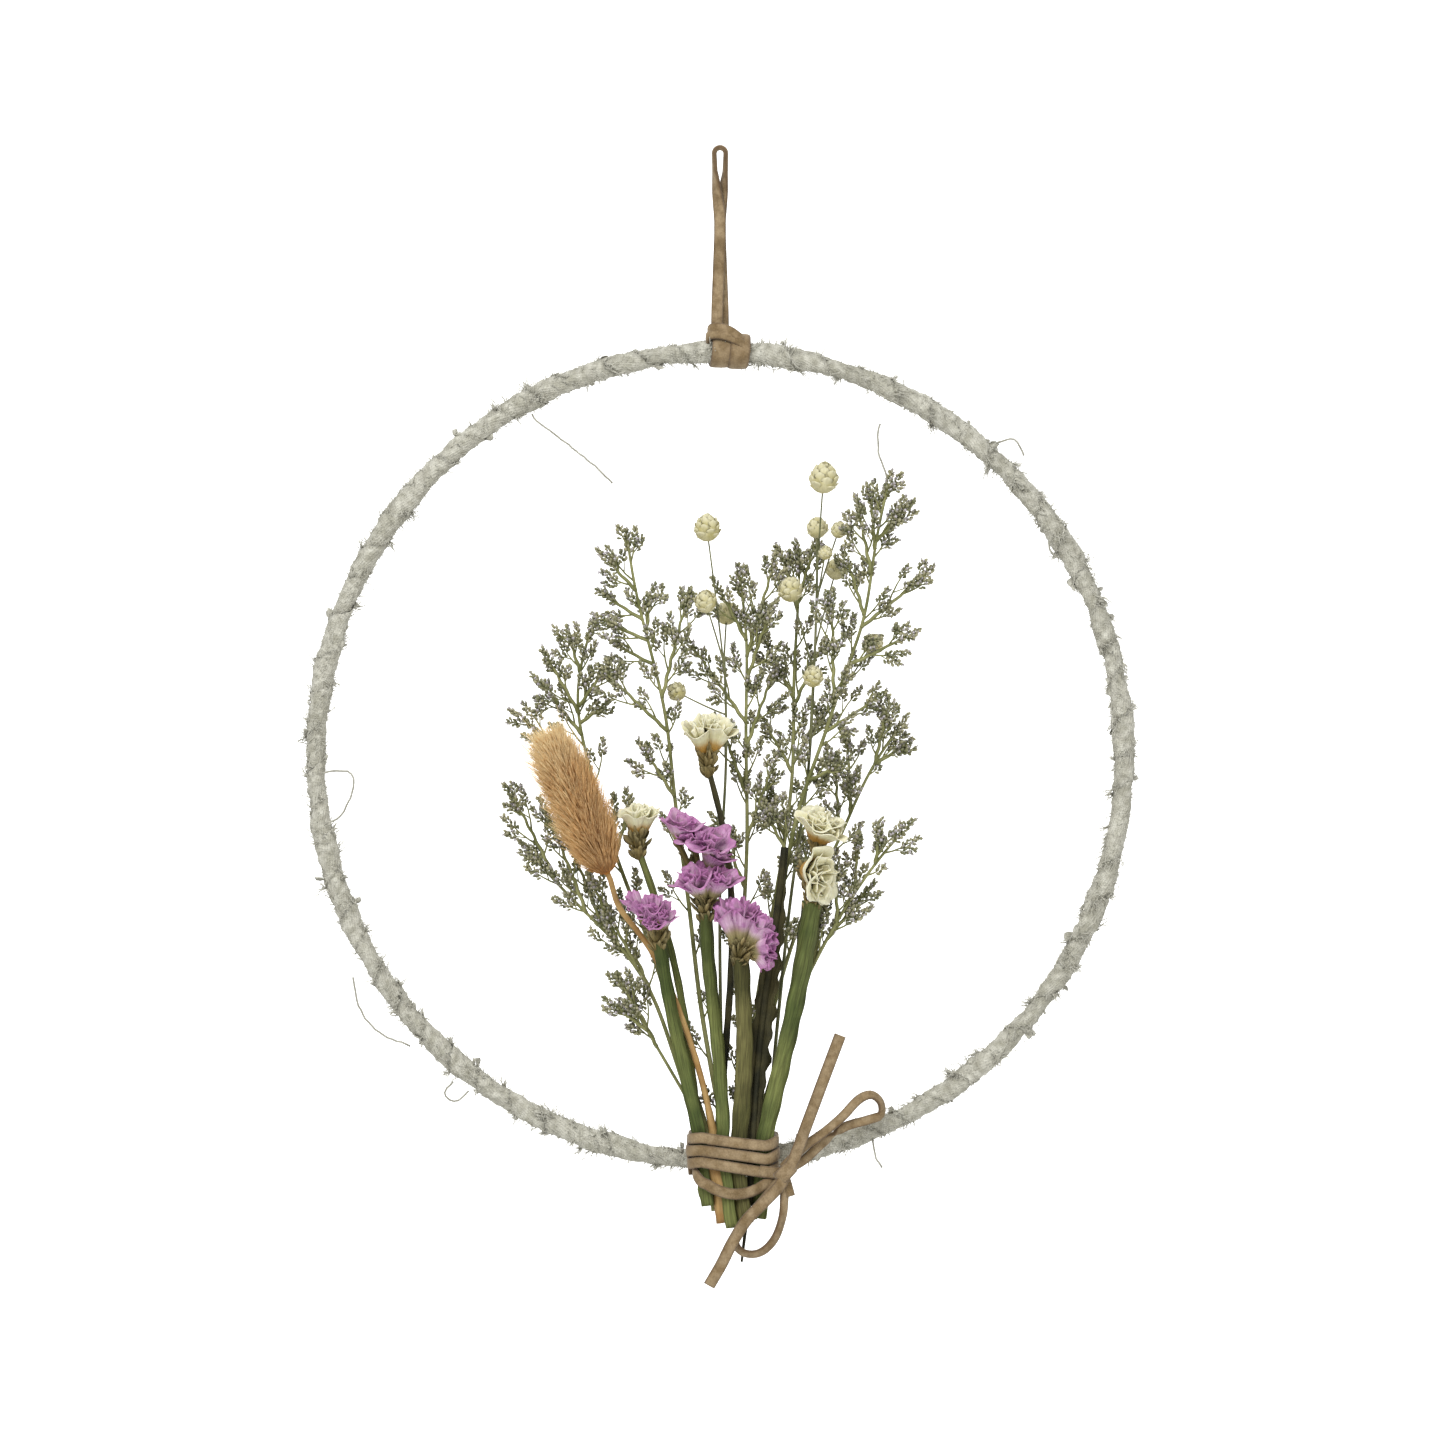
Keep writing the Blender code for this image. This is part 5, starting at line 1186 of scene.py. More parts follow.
@dataclass
class WrappedHoop:
    """The hoop: a wire ring wound with a torn strip of cotton, with frayed edges and loose threads."""

    groups: SurfaceGroups
    radius: float = 97.8
    inner_radius: float = 2.0
    turns: int = 68
    strip_width: float = 9.8
    thickness: float = 0.28
    lap_step: float = 0.30
    stations: int = 24
    columns: int = 8
    fibres: int = 3000
    fibre_radius: float = 0.13
    tufts: int = 420
    tuft_fibres: int = 13
    nap_fibres: int = 4200
    tabs: int = 200
    seed: int = 3

    def build(self) -> None:
        """Wind the strip, fray its edges and lay the loose threads."""
        rng = np.random.default_rng(self.seed)
        self.jitter = rng.uniform(-1.0, 1.0, (3, self.turns))
        self.phases = rng.uniform(0.0, 2 * math.pi, 6)
        for material_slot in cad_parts["hoop_wire"].material_slots:
            material_slot.material = WIRE.material(self.groups)
        self.build_strip()
        self.build_fray(rng)
        self.build_loose_threads(rng)

    def wander(self, row: int, turn: Array) -> Array:
        """A value between -1 and 1 that changes from turn to turn of the strip.

        Args:
            row: Which of the three wandering values.
            turn: Turns along the strip.

        Returns:
            The values.
        """
        low = np.floor(turn).astype(int)
        share = turn - low
        share = share * share * (3 - 2 * share)
        values = self.jitter[row]
        return values[low % self.turns] * (1 - share) + values[(low + 1) % self.turns] * share

    def place(self, turn: Array, across: Array, lift: Array) -> tuple[Array, Array]:
        """A point of the strip, and the way out of the cloth there.

        Args:
            turn: Turns along the strip.
            across: From -0.5 at the edge that lies on top to 0.5 at the edge that is lapped over.
            lift: Millimetres above the strip's under face.

        Returns:
            The points and the outward directions.
        """
        pitch = 2 * math.pi * self.radius / self.turns
        girth = 2 * math.pi * (self.inner_radius + 0.4)
        slant = math.hypot(pitch, girth)
        width = self.strip_width * (1.0 + 0.10 * self.wander(0, turn))
        along = pitch * turn + across * width * girth / slant + 1.7 * self.wander(1, turn)
        around = 2 * math.pi * turn - across * width * pitch / slant / (self.inner_radius + 0.4)
        where = along / self.radius
        lump = 0.20 * np.sin(13 * where + self.phases[0])
        lump = lump + 0.17 * np.sin(29 * where + 2 * around + self.phases[1])
        lump = lump + 0.13 * np.sin(47 * where - around + self.phases[2]) + 0.22 * self.wander(0, turn + 0.5)
        lump = lump + 0.09 * np.sin(187 * where + 3 * around + self.phases[4])
        fold = 0.13 * np.sin(17.0 * across + 1.7 * turn * 2 * math.pi / 3 + self.phases[3])
        fold = fold * np.cos(3.1 * turn + self.phases[4])
        fold = fold + 0.07 * np.sin(31.0 * across + 5.3 * turn + self.phases[5])
        reach = self.inner_radius + lump + fold + lift
        reach = reach + self.lap_step * (0.5 - across) * (1.0 + 0.4 * self.wander(2, turn))
        start = -0.5 * math.pi
        out = np.stack([np.cos(start + where), np.zeros_like(where), np.sin(start + where)], axis=-1)
        way = np.cos(around)[..., None] * out + np.sin(around)[..., None] * np.array([0.0, 1.0, 0.0])
        return self.radius * out + reach[..., None] * way, way

    def build_strip(self) -> None:
        """The strip itself, one closed band that is lapped all the way round the wire."""
        form = Form()
        rows = self.turns * self.stations
        turn = np.arange(rows) / self.stations
        edge = np.linspace(-0.5, 0.5, self.columns)
        across = np.concatenate([edge, edge[::-1]])
        lift = np.concatenate([np.full(self.columns, self.thickness), np.zeros(self.columns)])
        lift[0] = lift[self.columns - 1] = 0.75 * self.thickness
        turns = np.repeat(turn[:, None], 2 * self.columns, axis=1)
        ragged = np.random.default_rng(self.seed + 1).normal(0.0, 0.022, (rows, 2))
        ragged = ragged + np.repeat(np.random.default_rng(self.seed + 2).normal(0.0, 0.03, (rows // 3, 2)),
                                    3, axis=0)
        acrosses = np.tile(across, (rows, 1))
        for column, side in ((0, 0), (-1, 0), (self.columns - 1, 1), (self.columns, 1)):
            acrosses[:, column] += ragged[:, side]
        points, _ = self.place(turns, acrosses, np.tile(lift, (rows, 1)))
        # The tone's change from turn to turn is the cloth's own. The rest is painted light and shade: darker
        # towards the edge that the next turn laps over and lighter at the raised edge, and lighter and darker
        # in bands along the same fold lines that place() gives the strip.
        tone = 0.5 + 0.25 * self.wander(2, turns) + 0.15 * (0.2 - acrosses)
        tone = tone + 0.25 * np.sin(17.0 * acrosses + 1.7 * turns * 2 * math.pi / 3 + self.phases[3])
        form.add(
            points,
            grid_quads(rows, 2 * self.columns, wrap_rows=True)[:, ::-1],
            tone=tone.ravel(),
            along=(turns * 16.0).ravel(),
            across=(acrosses * self.strip_width).ravel(),
        )
        form.build("hoop_cotton_strip", [CLOTH], self.groups, "cloth", ["hoop_wrap"])

    def fray_paths(self, rng: np.random.Generator, starts: Array, ways: Array, lengths: Array,
                   curl: float) -> Array:
        """Curved fibres.

        Args:
            rng: The source of chance.
            starts: Where each one starts.
            ways: The way that each one leaves.
            lengths: How long each one is.
            curl: How far it bends, as a share of its length.

        Returns:
            An array of fibres by five points by three.
        """
        bend = unit(rng.normal(size=starts.shape)) * (curl * lengths)[:, None]
        second = unit(rng.normal(size=starts.shape)) * (0.35 * curl * lengths)[:, None]
        t = np.linspace(0.0, 1.0, 5)[None, :, None]
        straight = starts[:, None] + ways[:, None] * lengths[:, None, None] * t
        return straight + bend[:, None] * t**2 + second[:, None] * np.sin(math.pi * t)

    def build_fray(self, rng: np.random.Generator) -> None:
        """Short broken threads along the strip's edges, and tufts where it is torn."""
        form = Form()
        turn = rng.uniform(0.0, self.turns, self.fibres)
        where = turn / self.turns * 2 * math.pi - 0.5 * math.pi
        kept = rng.uniform(size=self.fibres) < 0.62 - 0.38 * np.cos(where + 0.35)
        turn = turn[kept]
        tufts = rng.uniform(0.0, self.turns, self.tufts)
        tufts = tufts + rng.normal(0.0, 0.028, (self.tuft_fibres, self.tufts))
        loners = len(turn)
        turn = np.concatenate([turn, tufts.ravel()])
        across = np.full(len(turn), -0.49)
        lower = rng.uniform(size=len(turn)) < 0.35
        across[lower] = rng.uniform(-0.45, 0.2, lower.sum())
        starts, out = self.place(turn, across, np.full(len(turn), 0.6 * self.thickness))
        ahead, _ = self.place(turn, across - 0.08, np.full(len(turn), 0.6 * self.thickness))
        stray = 0.6 * rng.normal(size=starts.shape)
        stray[loners:] = 0.35 * stray[loners:] + np.tile(0.8 * rng.normal(size=(self.tufts, 3)),
                                                         (self.tuft_fibres, 1))
        ways = unit(unit(ahead - starts) * 0.8 + 0.65 * out + stray)
        lengths = np.clip(rng.exponential(0.8, len(turn)) + 0.5, 0.6, 3.5)
        long = np.tile(rng.uniform(0.8, 3.2, self.tufts), self.tuft_fibres)
        lengths[loners:] = long * rng.uniform(0.5, 1.1, len(long))
        paths = self.fray_paths(rng, starts, ways, lengths, 0.55)
        form.strands(paths[:, ::2], self.fibre_radius, 0.6, tone=rng.uniform(0.4, 1.0, len(turn)), tips=0.8)
        turn = rng.uniform(0.0, self.turns, self.nap_fibres)
        across = rng.uniform(-0.48, 0.3, self.nap_fibres)
        starts, out = self.place(turn, across, np.full(self.nap_fibres, 0.7 * self.thickness))
        ways = unit(0.55 * out + 0.7 * rng.normal(size=starts.shape))
        lengths = rng.uniform(0.4, 1.2, self.nap_fibres)
        paths = self.fray_paths(rng, starts, ways, lengths, 0.6)
        form.strands(paths[:, ::2], 0.11, 0.6, tone=rng.uniform(0.3, 1.0, self.nap_fibres), tips=0.6)
        turn = rng.uniform(0.0, self.turns, self.tabs)
        across = np.where(rng.uniform(size=self.tabs) < 0.7, -0.48, rng.uniform(-0.4, 0.3, self.tabs))
        starts, out = self.place(turn, across, np.full(self.tabs, 0.4 * self.thickness))
        ahead, _ = self.place(turn, across - 0.08, np.full(self.tabs, 0.4 * self.thickness))
        ways = unit(unit(ahead - starts) + 0.30 * out + 0.35 * rng.normal(size=starts.shape))
        tab = blade(0.42, 0.25, 0.35, 0.07, rows=4)
        sizes = rng.uniform(1.0, 2.8, self.tabs)
        form.repeat(tab, starts, ways, rng.uniform(0.0, 6.0, self.tabs), sizes,
                    rng.uniform(0.3, 0.8, self.tabs), 0.3)
        form.build("hoop_frayed_edges", [CLOTH], self.groups, "cloth", [])

    def build_loose_threads(self, rng: np.random.Generator) -> None:
        """The long threads that have come out of the strip, where the photograph shows them."""
        routes = (
            ((-45.5, -2.4, 82.6), (-44.6, -2.8, 81.2), (-38.0, -3.4, 76.2), (-31.0, -3.8, 70.6),
             (-25.9, -4.2, 65.8)),
            ((-97.0, -2.6, -4.4), (-92.4, -3.6, -3.6), (-88.8, -4.2, -4.4), (-88.6, -4.0, -8.4),
             (-91.6, -3.6, -14.4),
             (-95.6, -2.6, -16.6)),
            ((-88.6, -2.0, -53.4), (-87.2, -2.8, -60.6), (-82.4, -3.4, -66.6), (-74.8, -2.8, -70.0)),
            ((66.8, -2.2, 75.6), (71.0, -2.8, 76.6), (73.4, -2.8, 72.6)),
            ((82.6, -1.8, 54.6), (79.6, -2.6, 52.0), (80.0, -2.8, 49.0), (82.0, -2.6, 47.8)),
            ((-64.4, -2.2, -78.6), (-66.6, -2.8, -81.6), (-63.8, -3.0, -83.4), (-60.6, -2.8, -80.8)),
            ((36.8, -1.6, -92.4), (37.6, -2.8, -96.8), (39.2, -3.0, -99.4)),
            ((40.6, -0.4, 64.5), (40.2, -0.5, 68.0), (38.6, -0.8, 72.5), (38.2, -0.9, 77.5),
             (38.6, -0.9, 80.5)),
        )
        form = Form()
        for route in routes:
            points = smooth(route, 1.2)
            points = points + rng.normal(0.0, 0.07, points.shape)
            form.tube(points, 0.24, 4, tone=0.4)
        form.build("hoop_loose_threads", [CLOTH], self.groups, "cloth", [])


@dataclass
class SuedeLace:
    """The flat suede lace, of which one length hangs the hoop and another ties the bunch to it."""

    groups: SurfaceGroups
    width: float = 2.9
    thickness: float = 1.25
    hang_top: float = HANG_DROP
    loop_radius: float = 1.4
    strand_offset: float = 0.85
    knot_ring_radius: float = 3.45
    bind_left: float = -7.4
    bind_right: float = 13.6
    bind_front: float = -12.0
    corner: float = 2.9
    tight_corner: float = 1.8
    inner_back: float = -3.45
    outer_back: float = 3.6
    cord_width: float = 0.003

    def band(
        self, form: Form, points: Array, normals: Array, closed: bool = False, width: float | None = None,
        tone: float = 0.5
    ) -> None:
        """A length of lace with soft edges along a route.

        Args:
            form: The mesh that takes it.
            points: Its centre line.
            normals: The way that its face looks, at each point.
            closed: Whether it joins itself.
            width: Its width, if not the lace's own.
            tone: How light it is.
        """
        points, normals = np.asarray(points, float), np.asarray(normals, float)
        if closed:
            steps = np.roll(points, -1, axis=0) - np.roll(points, 1, axis=0)
        else:
            steps = np.gradient(points, axis=0)
        tangents = unit(steps)
        face = unit(normals - (normals * tangents).sum(axis=1, keepdims=True) * tangents)
        edge = np.cross(tangents, face)
        half, deep = 0.5 * (width or self.width), 0.5 * self.thickness
        angles = 2 * math.pi * (np.arange(16) + 0.5) / 16
        cos, sin = np.cos(angles), np.sin(angles)
        section = np.stack([half * np.sign(cos) * np.abs(cos) ** 0.55,
                            deep * np.sign(sin) * np.abs(sin) ** 0.8], axis=1)
        rings = points[:, None] + section[None, :, :1] * edge[:, None] + section[None, :, 1:] * face[:, None]
        rows, columns = len(points), len(section)
        along = np.concatenate([[0.0], np.cumsum(np.linalg.norm(np.diff(points, axis=0), axis=1))])
        tips = 0.85 * (np.abs(section[:, 0]) / half) ** 5
        tris = None
        if not closed:
            k = np.arange(1, columns - 1)
            last = (rows - 1) * columns
            tris = np.vstack([
                np.stack([np.zeros(columns - 2, int), k + 1, k], axis=1),
                np.stack([np.full(columns - 2, last), last + k, last + k + 1], axis=1),
            ])
        form.add(
            rings,
            grid_quads(rows, columns, wrap_rows=closed),
            tris,
            tone=tone,
            tip=np.tile(tips, rows),
            along=np.repeat(along, columns),
            across=np.tile(section[:, 0], rows),
        )

    def build_hanging(self) -> None:
        """The doubled lace from its hitch up to the bight over the pin, and the hitch round the hoop."""
        strand = (
            (-0.7, -self.strand_offset, 100.4, 0.0, -1.0, 0.0),
            (-0.7, -self.strand_offset, 107.0, 0.0, -1.0, 0.0),
            (-0.3, -self.strand_offset, 118.0, 0.15, -1.0, 0.0),
            (0.0, -self.strand_offset, 129.0, 0.0, -1.0, 0.0),
            (-0.75, -0.6, 136.5, -0.7, -0.7, 0.0),
            (-1.25, -0.15, 141.5, -1.0, -0.15, 0.0),
        )
        up = smooth(strand, 1.0)
        centre = self.hang_top + 0.5 * self.thickness - self.loop_radius
        angles = np.linspace(math.pi, 0.0, 12)
        ways = np.stack([np.cos(angles), np.zeros(12), np.sin(angles)], axis=1)
        over = np.hstack([self.loop_radius * ways + (0.0, 0.0, centre), ways])
        route = np.vstack([up, over, up[::-1] * (-1.0, -1.0, 1.0, -1.0, -1.0, 1.0)])
        form = Form()
        self.band(form, route[:, :3], route[:, 3:])
        piece = form.build("hanging_lace_strands", [SUEDE], self.groups, "suede", ["hanging_lace"])
        hitch = Form()
        angles = 2 * math.pi * np.arange(48) / 48
        for x, tone, grow in ((0.1, 0.75, 0.0), (4.5, 0.6, 0.25)):
            top = math.sqrt(97.8**2 - x**2) + 0.2
            reach = self.knot_ring_radius + grow
            sway = 0.5 * np.cos(angles - 0.6)
            offset = np.stack([0.16 * reach * np.sin(angles) - sway, reach * np.cos(angles),
                               reach * np.sin(angles)], axis=1)
            self.band(hitch, offset + (x, 0.0, top), unit(offset * (0.2, 1.0, 1.0)), closed=True, tone=tone,
                      width=4.9)
        for rise, tone in ((0.0, 0.55), (1.5, 0.45)):
            collar = smooth(
                ((-3.0, -1.2, 100.4), (-2.6, -3.0, 101.6), (-0.4, -3.9, 101.8), (2.6, -3.8, 101.0),
                 (5.4, -3.4, 99.4),
                 (7.3, -1.4, 98.0), (6.6, 1.6, 98.2), (3.4, 3.6, 99.6), (-0.6, 3.4, 101.0),
                 (-2.8, 1.2, 100.8),
                 (-3.0, -1.2, 100.4)), 0.6)[:-1]
            collar = collar * (1.0 - 0.10 * rise, 1.0, 1.0) + (0.1, 0.0,
                rise * (0.9 - 0.06 * collar[:, 0:1].ravel()[0]))
            facing = (collar - collar.mean(axis=0)) * (1.0, 1.0, 0.0)
            self.band(hitch, collar, unit(facing), closed=True, width=2.3, tone=tone)
        hitch.build("hanging_lace_hitch", [SUEDE], self.groups, "suede", ["hanging_lace"])

    def binding_turn(
        self, out: float, inset: float, back: float, corner_back: float, heights: Sequence[float]
    ) -> tuple[Array, Array]:
        """One turn round the stems: a closed rounded rectangle seen from above.

        Args:
            out: How far it stands out past the first turn.
            inset: How far its left side stands in from the others.
            back: Where its back runs.
            corner_back: The radius of its back corners.
            heights: Its heights at the front left, middle and right, the right side, the back and the left.

        Returns:
            The centre line and the way that the lace faces.
        """
        left_x, right_x, front = self.bind_left - out + inset, self.bind_right + out, self.bind_front - out
        back = back + 0.3 * out
        corners = (
            (left_x, front, self.corner, 180.0), (right_x, front, self.corner, 270.0),
            (right_x, back, corner_back, 0.0), (left_x, back, corner_back, 90.0),
        )
        left, middle, right, right_side, behind, left_side = heights
        corner_heights = ((left_side, left), (right, right_side), (right_side, right_side),
                          (left_side, left_side))
        points, normals = [], []
        for (x, y, radius, first), (enter, leave) in zip(corners, corner_heights):
            centre_x = x + radius if x < 0 else x - radius
            centre_y = y + radius if y == front else y - radius
            for t in np.linspace(0.0, 1.0, 6):
                angle = math.radians(first + 90.0 * t)
                ease = t * t * (3 - 2 * t)
                points.append((centre_x + radius * math.cos(angle), centre_y + radius * math.sin(angle),
                               enter + (leave - enter) * ease))
                normals.append((math.cos(angle), math.sin(angle), 0.0))
            if first in (180.0, 0.0):
                ends, side, height = (left_x, right_x), y, middle if first == 180.0 else behind
                start = points[-1]
                stop_x = ends[1] - radius if first == 180.0 else ends[0] + radius
                stop_z = right if first == 180.0 else left_side
                pull = 2 * height - 0.5 * (start[2] + stop_z)
                for t in np.linspace(0.0, 1.0, 9)[1:-1]:
                    z = (1 - t) ** 2 * start[2] + 2 * t * (1 - t) * pull + t**2 * stop_z
                    points.append((start[0] + (stop_x - start[0]) * t, side, z))
                    normals.append((0.0, -1.0 if first == 180.0 else 1.0, 0.0))
        return np.array(points), np.array(normals)

    def build_binding(self) -> None:
        """The four turns round the stems and the hoop, the link between them, the run to the knot, the knot
        and its stub.
        """
        turns = (
            (0.0, 0.3, self.outer_back, self.corner, (-91.5, -92.6, -93.4, -92.3, -95.2, -91.9), 0.62),
            (0.25, 0.0, self.inner_back, self.tight_corner, (-94.5, -95.5, -96.6, -95.4, -95.6, -94.8), 0.50),
            (0.02, 0.1, self.inner_back, self.tight_corner, (-97.3, -98.6, -99.8, -98.7, -99.0, -97.9), 0.58),
            (0.2, 1.5, self.outer_back, self.corner, (-102.6, -105.0, -102.6, -102.0, -100.0, -99.8), 0.46),
        )
        form = Form()
        for *turn, tone in turns:
            self.band(form, *self.binding_turn(*turn), closed=True, tone=tone, width=2.7)
        link = smooth(((-7.3, -5.4, -91.2), (-7.4, -6.0, -96.0), (-7.0, -5.4, -100.6)), 1.0)
        self.band(form, link, np.tile((-1.0, 0.05, 0.0), (len(link), 1)), tone=0.4)
        to_knot = smooth(((9.5, -12.1, -99.4), (12.5, -12.5, -99.8), (15.6, -13.0, -99.9)), 1.0)
        self.band(form, to_knot, np.tile((0.0, -1.0, 0.0), (len(to_knot), 1)), tone=0.5)
        stub = smooth(((15.4, -12.6, -100.2), (16.2, -12.8, -102.8), (16.9, -12.7, -105.4)), 0.8)
        self.band(form, stub, np.tile((0.3, -1.0, 0.0), (len(stub), 1)), tone=0.4, width=2.3)
        angles = 2 * math.pi * np.arange(24) / 24
        offset = np.stack([1.5 * np.cos(angles), 1.9 * np.sin(angles), 1.5 * np.cos(angles)], axis=1)
        self.band(form, offset + (15.6, -13.0, -99.7), unit(offset), closed=True, width=3.6, tone=0.6)
        form.build("binding_lace_turns", [SUEDE], self.groups, "suede", ["binding_lace"])

    def build_bow(self) -> None:
        """The bow's two loops and two tails, each a free length of lace from the knot."""
        tails = {
            "bow_upper_tail": (
                (15.0, -13.4, -100.4), (17.4, -14.0, -97.0), (21.0, -14.4, -87.5), (25.0, -14.2, -76.8),
                (28.8, -13.4, -66.8)),
            "bow_lower_tail": (
                (16.0, -13.6, -99.2), (14.4, -14.3, -102.6), (10.6, -15.0, -106.6), (6.3, -15.4, -111.0),
                (2.9, -15.4, -116.4), (0.4, -15.2, -121.4), (-2.6, -14.9, -126.6)),
        }
        loops = {
            "bow_right_loop": (
                (15.0, -13.0, -98.6), (20.1, -12.6, -93.6), (24.7, -11.6, -90.4), (29.3, -10.4, -86.6),
                (33.2, -9.3, -82.6), (36.3, -8.4, -81.4), (38.6, -7.6, -83.2), (38.7, -7.0, -86.3),
                (35.4, -7.2, -87.6), (29.9, -8.3, -89.2), (24.6, -9.8, -92.9), (20.1, -11.2, -96.9),
                (15.2, -12.4, -99.6)),
            "bow_lower_loop": (
                (15.6, -12.6, -100.4), (15.4, -13.0, -105.8), (15.0, -13.2, -110.2), (13.4, -13.2, -115.0),
                (10.9, -13.1, -118.1), (8.0, -13.0, -119.3), (5.0, -12.9, -118.6), (3.6, -12.9, -116.0),
                (5.4, -12.9, -111.8), (10.4, -12.8, -106.2), (15.2, -12.6, -100.6)),
        }
        for tone, (name, route) in zip((0.6, 0.5), tails.items()):
            points = smooth(route, 1.0)
            form = Form()
            self.band(form, points, np.tile((0.25, -1.0, 0.1), (len(points), 1)), tone=tone)
            piece = form.build(name, [SUEDE], self.groups, "suede", ["binding_lace"])
        for tone, (name, route) in zip((0.55, 0.45), loops.items()):
            points = smooth(route, 0.8)
            middle = points.mean(axis=0)
            normals = unit(points - middle) + (0.0, -0.9, 0.0)
            form = Form()
            self.band(form, points, normals, width=2.3, tone=tone)
            piece = form.build(name, [SUEDE], self.groups, "suede", ["binding_lace"])


# The flowers


@dataclass
class BunnyTail:
    """The soft oval grass head on its straw stem."""

    groups: SurfaceGroups
    routes: dict[str, Array]
    core_radius: float = 4.0
    hairs: int = 7600
    hair_radius: float = 0.085
    awns: int = 760
    seed: int = 21

    def build(self) -> None:
        """The stem, the core, the hairs and the awns."""
        rng = np.random.default_rng(self.seed)
        stem = Form()
        route = smooth(self.routes["bunny_tail_stem"], 1.5)
        route = np.vstack([route, route[-1] + 3.0 * unit(BUNNY_TOP - BUNNY_FOOT)])
        sheath = np.clip((-84.0 - route[:, 2]) / 16.0, 0.0, 1.0)
        radii = np.linspace(0.85, 0.7, len(route)) * (1.0 + 0.95 * sheath)
        radii[::9] *= 1.08
        angles = 2 * math.pi * np.arange(14) / 14
        flat = 1.0 / np.hypot(np.cos(angles), np.sin(angles) / 0.68)
        stem.tube(route, radii, 14, profile=flat * (1.0 - 0.09 * (np.arange(14) % 2)), tone=0.5)
        stem.build("bunny_tail_straw", [STRAW], self.groups, "straw", ["bunny_tail_stem"])
        self.build_head(rng)

    def build_head(self, rng: np.random.Generator) -> None:
        """The head: a narrow core under hairs that lean towards its top.

        Args:
            rng: The source of chance.
        """
        axis = unit(BUNNY_TOP - BUNNY_FOOT)
        half = 0.5 * float(np.linalg.norm(BUNNY_TOP - BUNNY_FOOT))
        middle = 0.5 * (BUNNY_TOP + BUNNY_FOOT)
        first, second = square_to(axis)
        form = Form()
        rings = [(-1.0, 0.0)] + [(-math.cos(a), math.sin(a)) for a in np.linspace(0.2, math.pi - 0.2,
            12)] + [(1.0, 0.0)]
        core = spindle(rings, 16, tip_from=2.0)
        # The core takes a tone of 0.1, near the hair's dark colour: painted shade deep inside the head, under
        # the hairs.
        form.repeat(core, middle[None], axis[None], 0.0,
                    [[self.core_radius, self.core_radius, 0.94 * half]], tone=0.1)
        index = np.arange(self.hairs)
        height = -0.97 + 1.92 * (index + 0.5) / self.hairs
        angle = GOLDEN_ANGLE * index
        out = np.cos(angle)[:, None] * first + np.sin(angle)[:, None] * second
        girth = np.sqrt(np.maximum(1.0 - np.abs(height) ** 3.4, 0.02))
        skin = middle + (0.94 * half * height)[:, None] * axis + (0.96 * self.core_radius * girth)[:,
            None] * out
        lean = (0.80 - 0.45 * height + 0.22 * rng.normal(size=self.hairs))[:, None]
        way = unit(axis + lean * out + 0.16 * rng.normal(size=skin.shape))
        length = rng.uniform(3.0, 5.6, self.hairs) * (0.72 + 0.4 * girth)
        t = np.linspace(0.0, 1.0, 3)[None, :, None]
        paths = skin[:, None] + way[:, None] * length[:, None, None] * t
        paths = paths + (0.16 * length)[:, None, None] * t**2 * (axis - 0.5 * out)[:, None]
        pale = np.clip((height - 0.25) / 0.75, 0.0, 1.0)
        tone = np.clip(0.5 + 0.3 * pale + 0.22 * rng.normal(size=self.hairs), 0.0, 1.0)
        form.strands(paths, self.hair_radius, 0.3, tone=tone, tips=0.62 + 0.9 * pale)
        leftward = out @ np.array([-1.0, 0.0, 0.25])
        pick = rng.choice(self.hairs, 3 * self.awns, replace=False)
        pick = pick[(height[pick] > -0.6) & (leftward[pick] + 0.7 * height[pick] > -0.15)][: self.awns]
        way = unit(axis + 0.55 * out[pick] + (-0.16, 0.0, 0.06) + 0.14 * rng.normal(size=(len(pick), 3)))
        length = rng.uniform(5.0, 12.5, len(pick)) * rng.uniform(0.6, 1.0, len(pick))
        paths = skin[pick][:, None] + way[:, None] * length[:, None, None] * t
        form.strands(paths, 0.08, 0.35, tone=0.8, tips=1.3)
        form.build("bunny_tail_soft_head", [TAIL], self.groups, "bunny_tail", ["bunny_tail_head"])


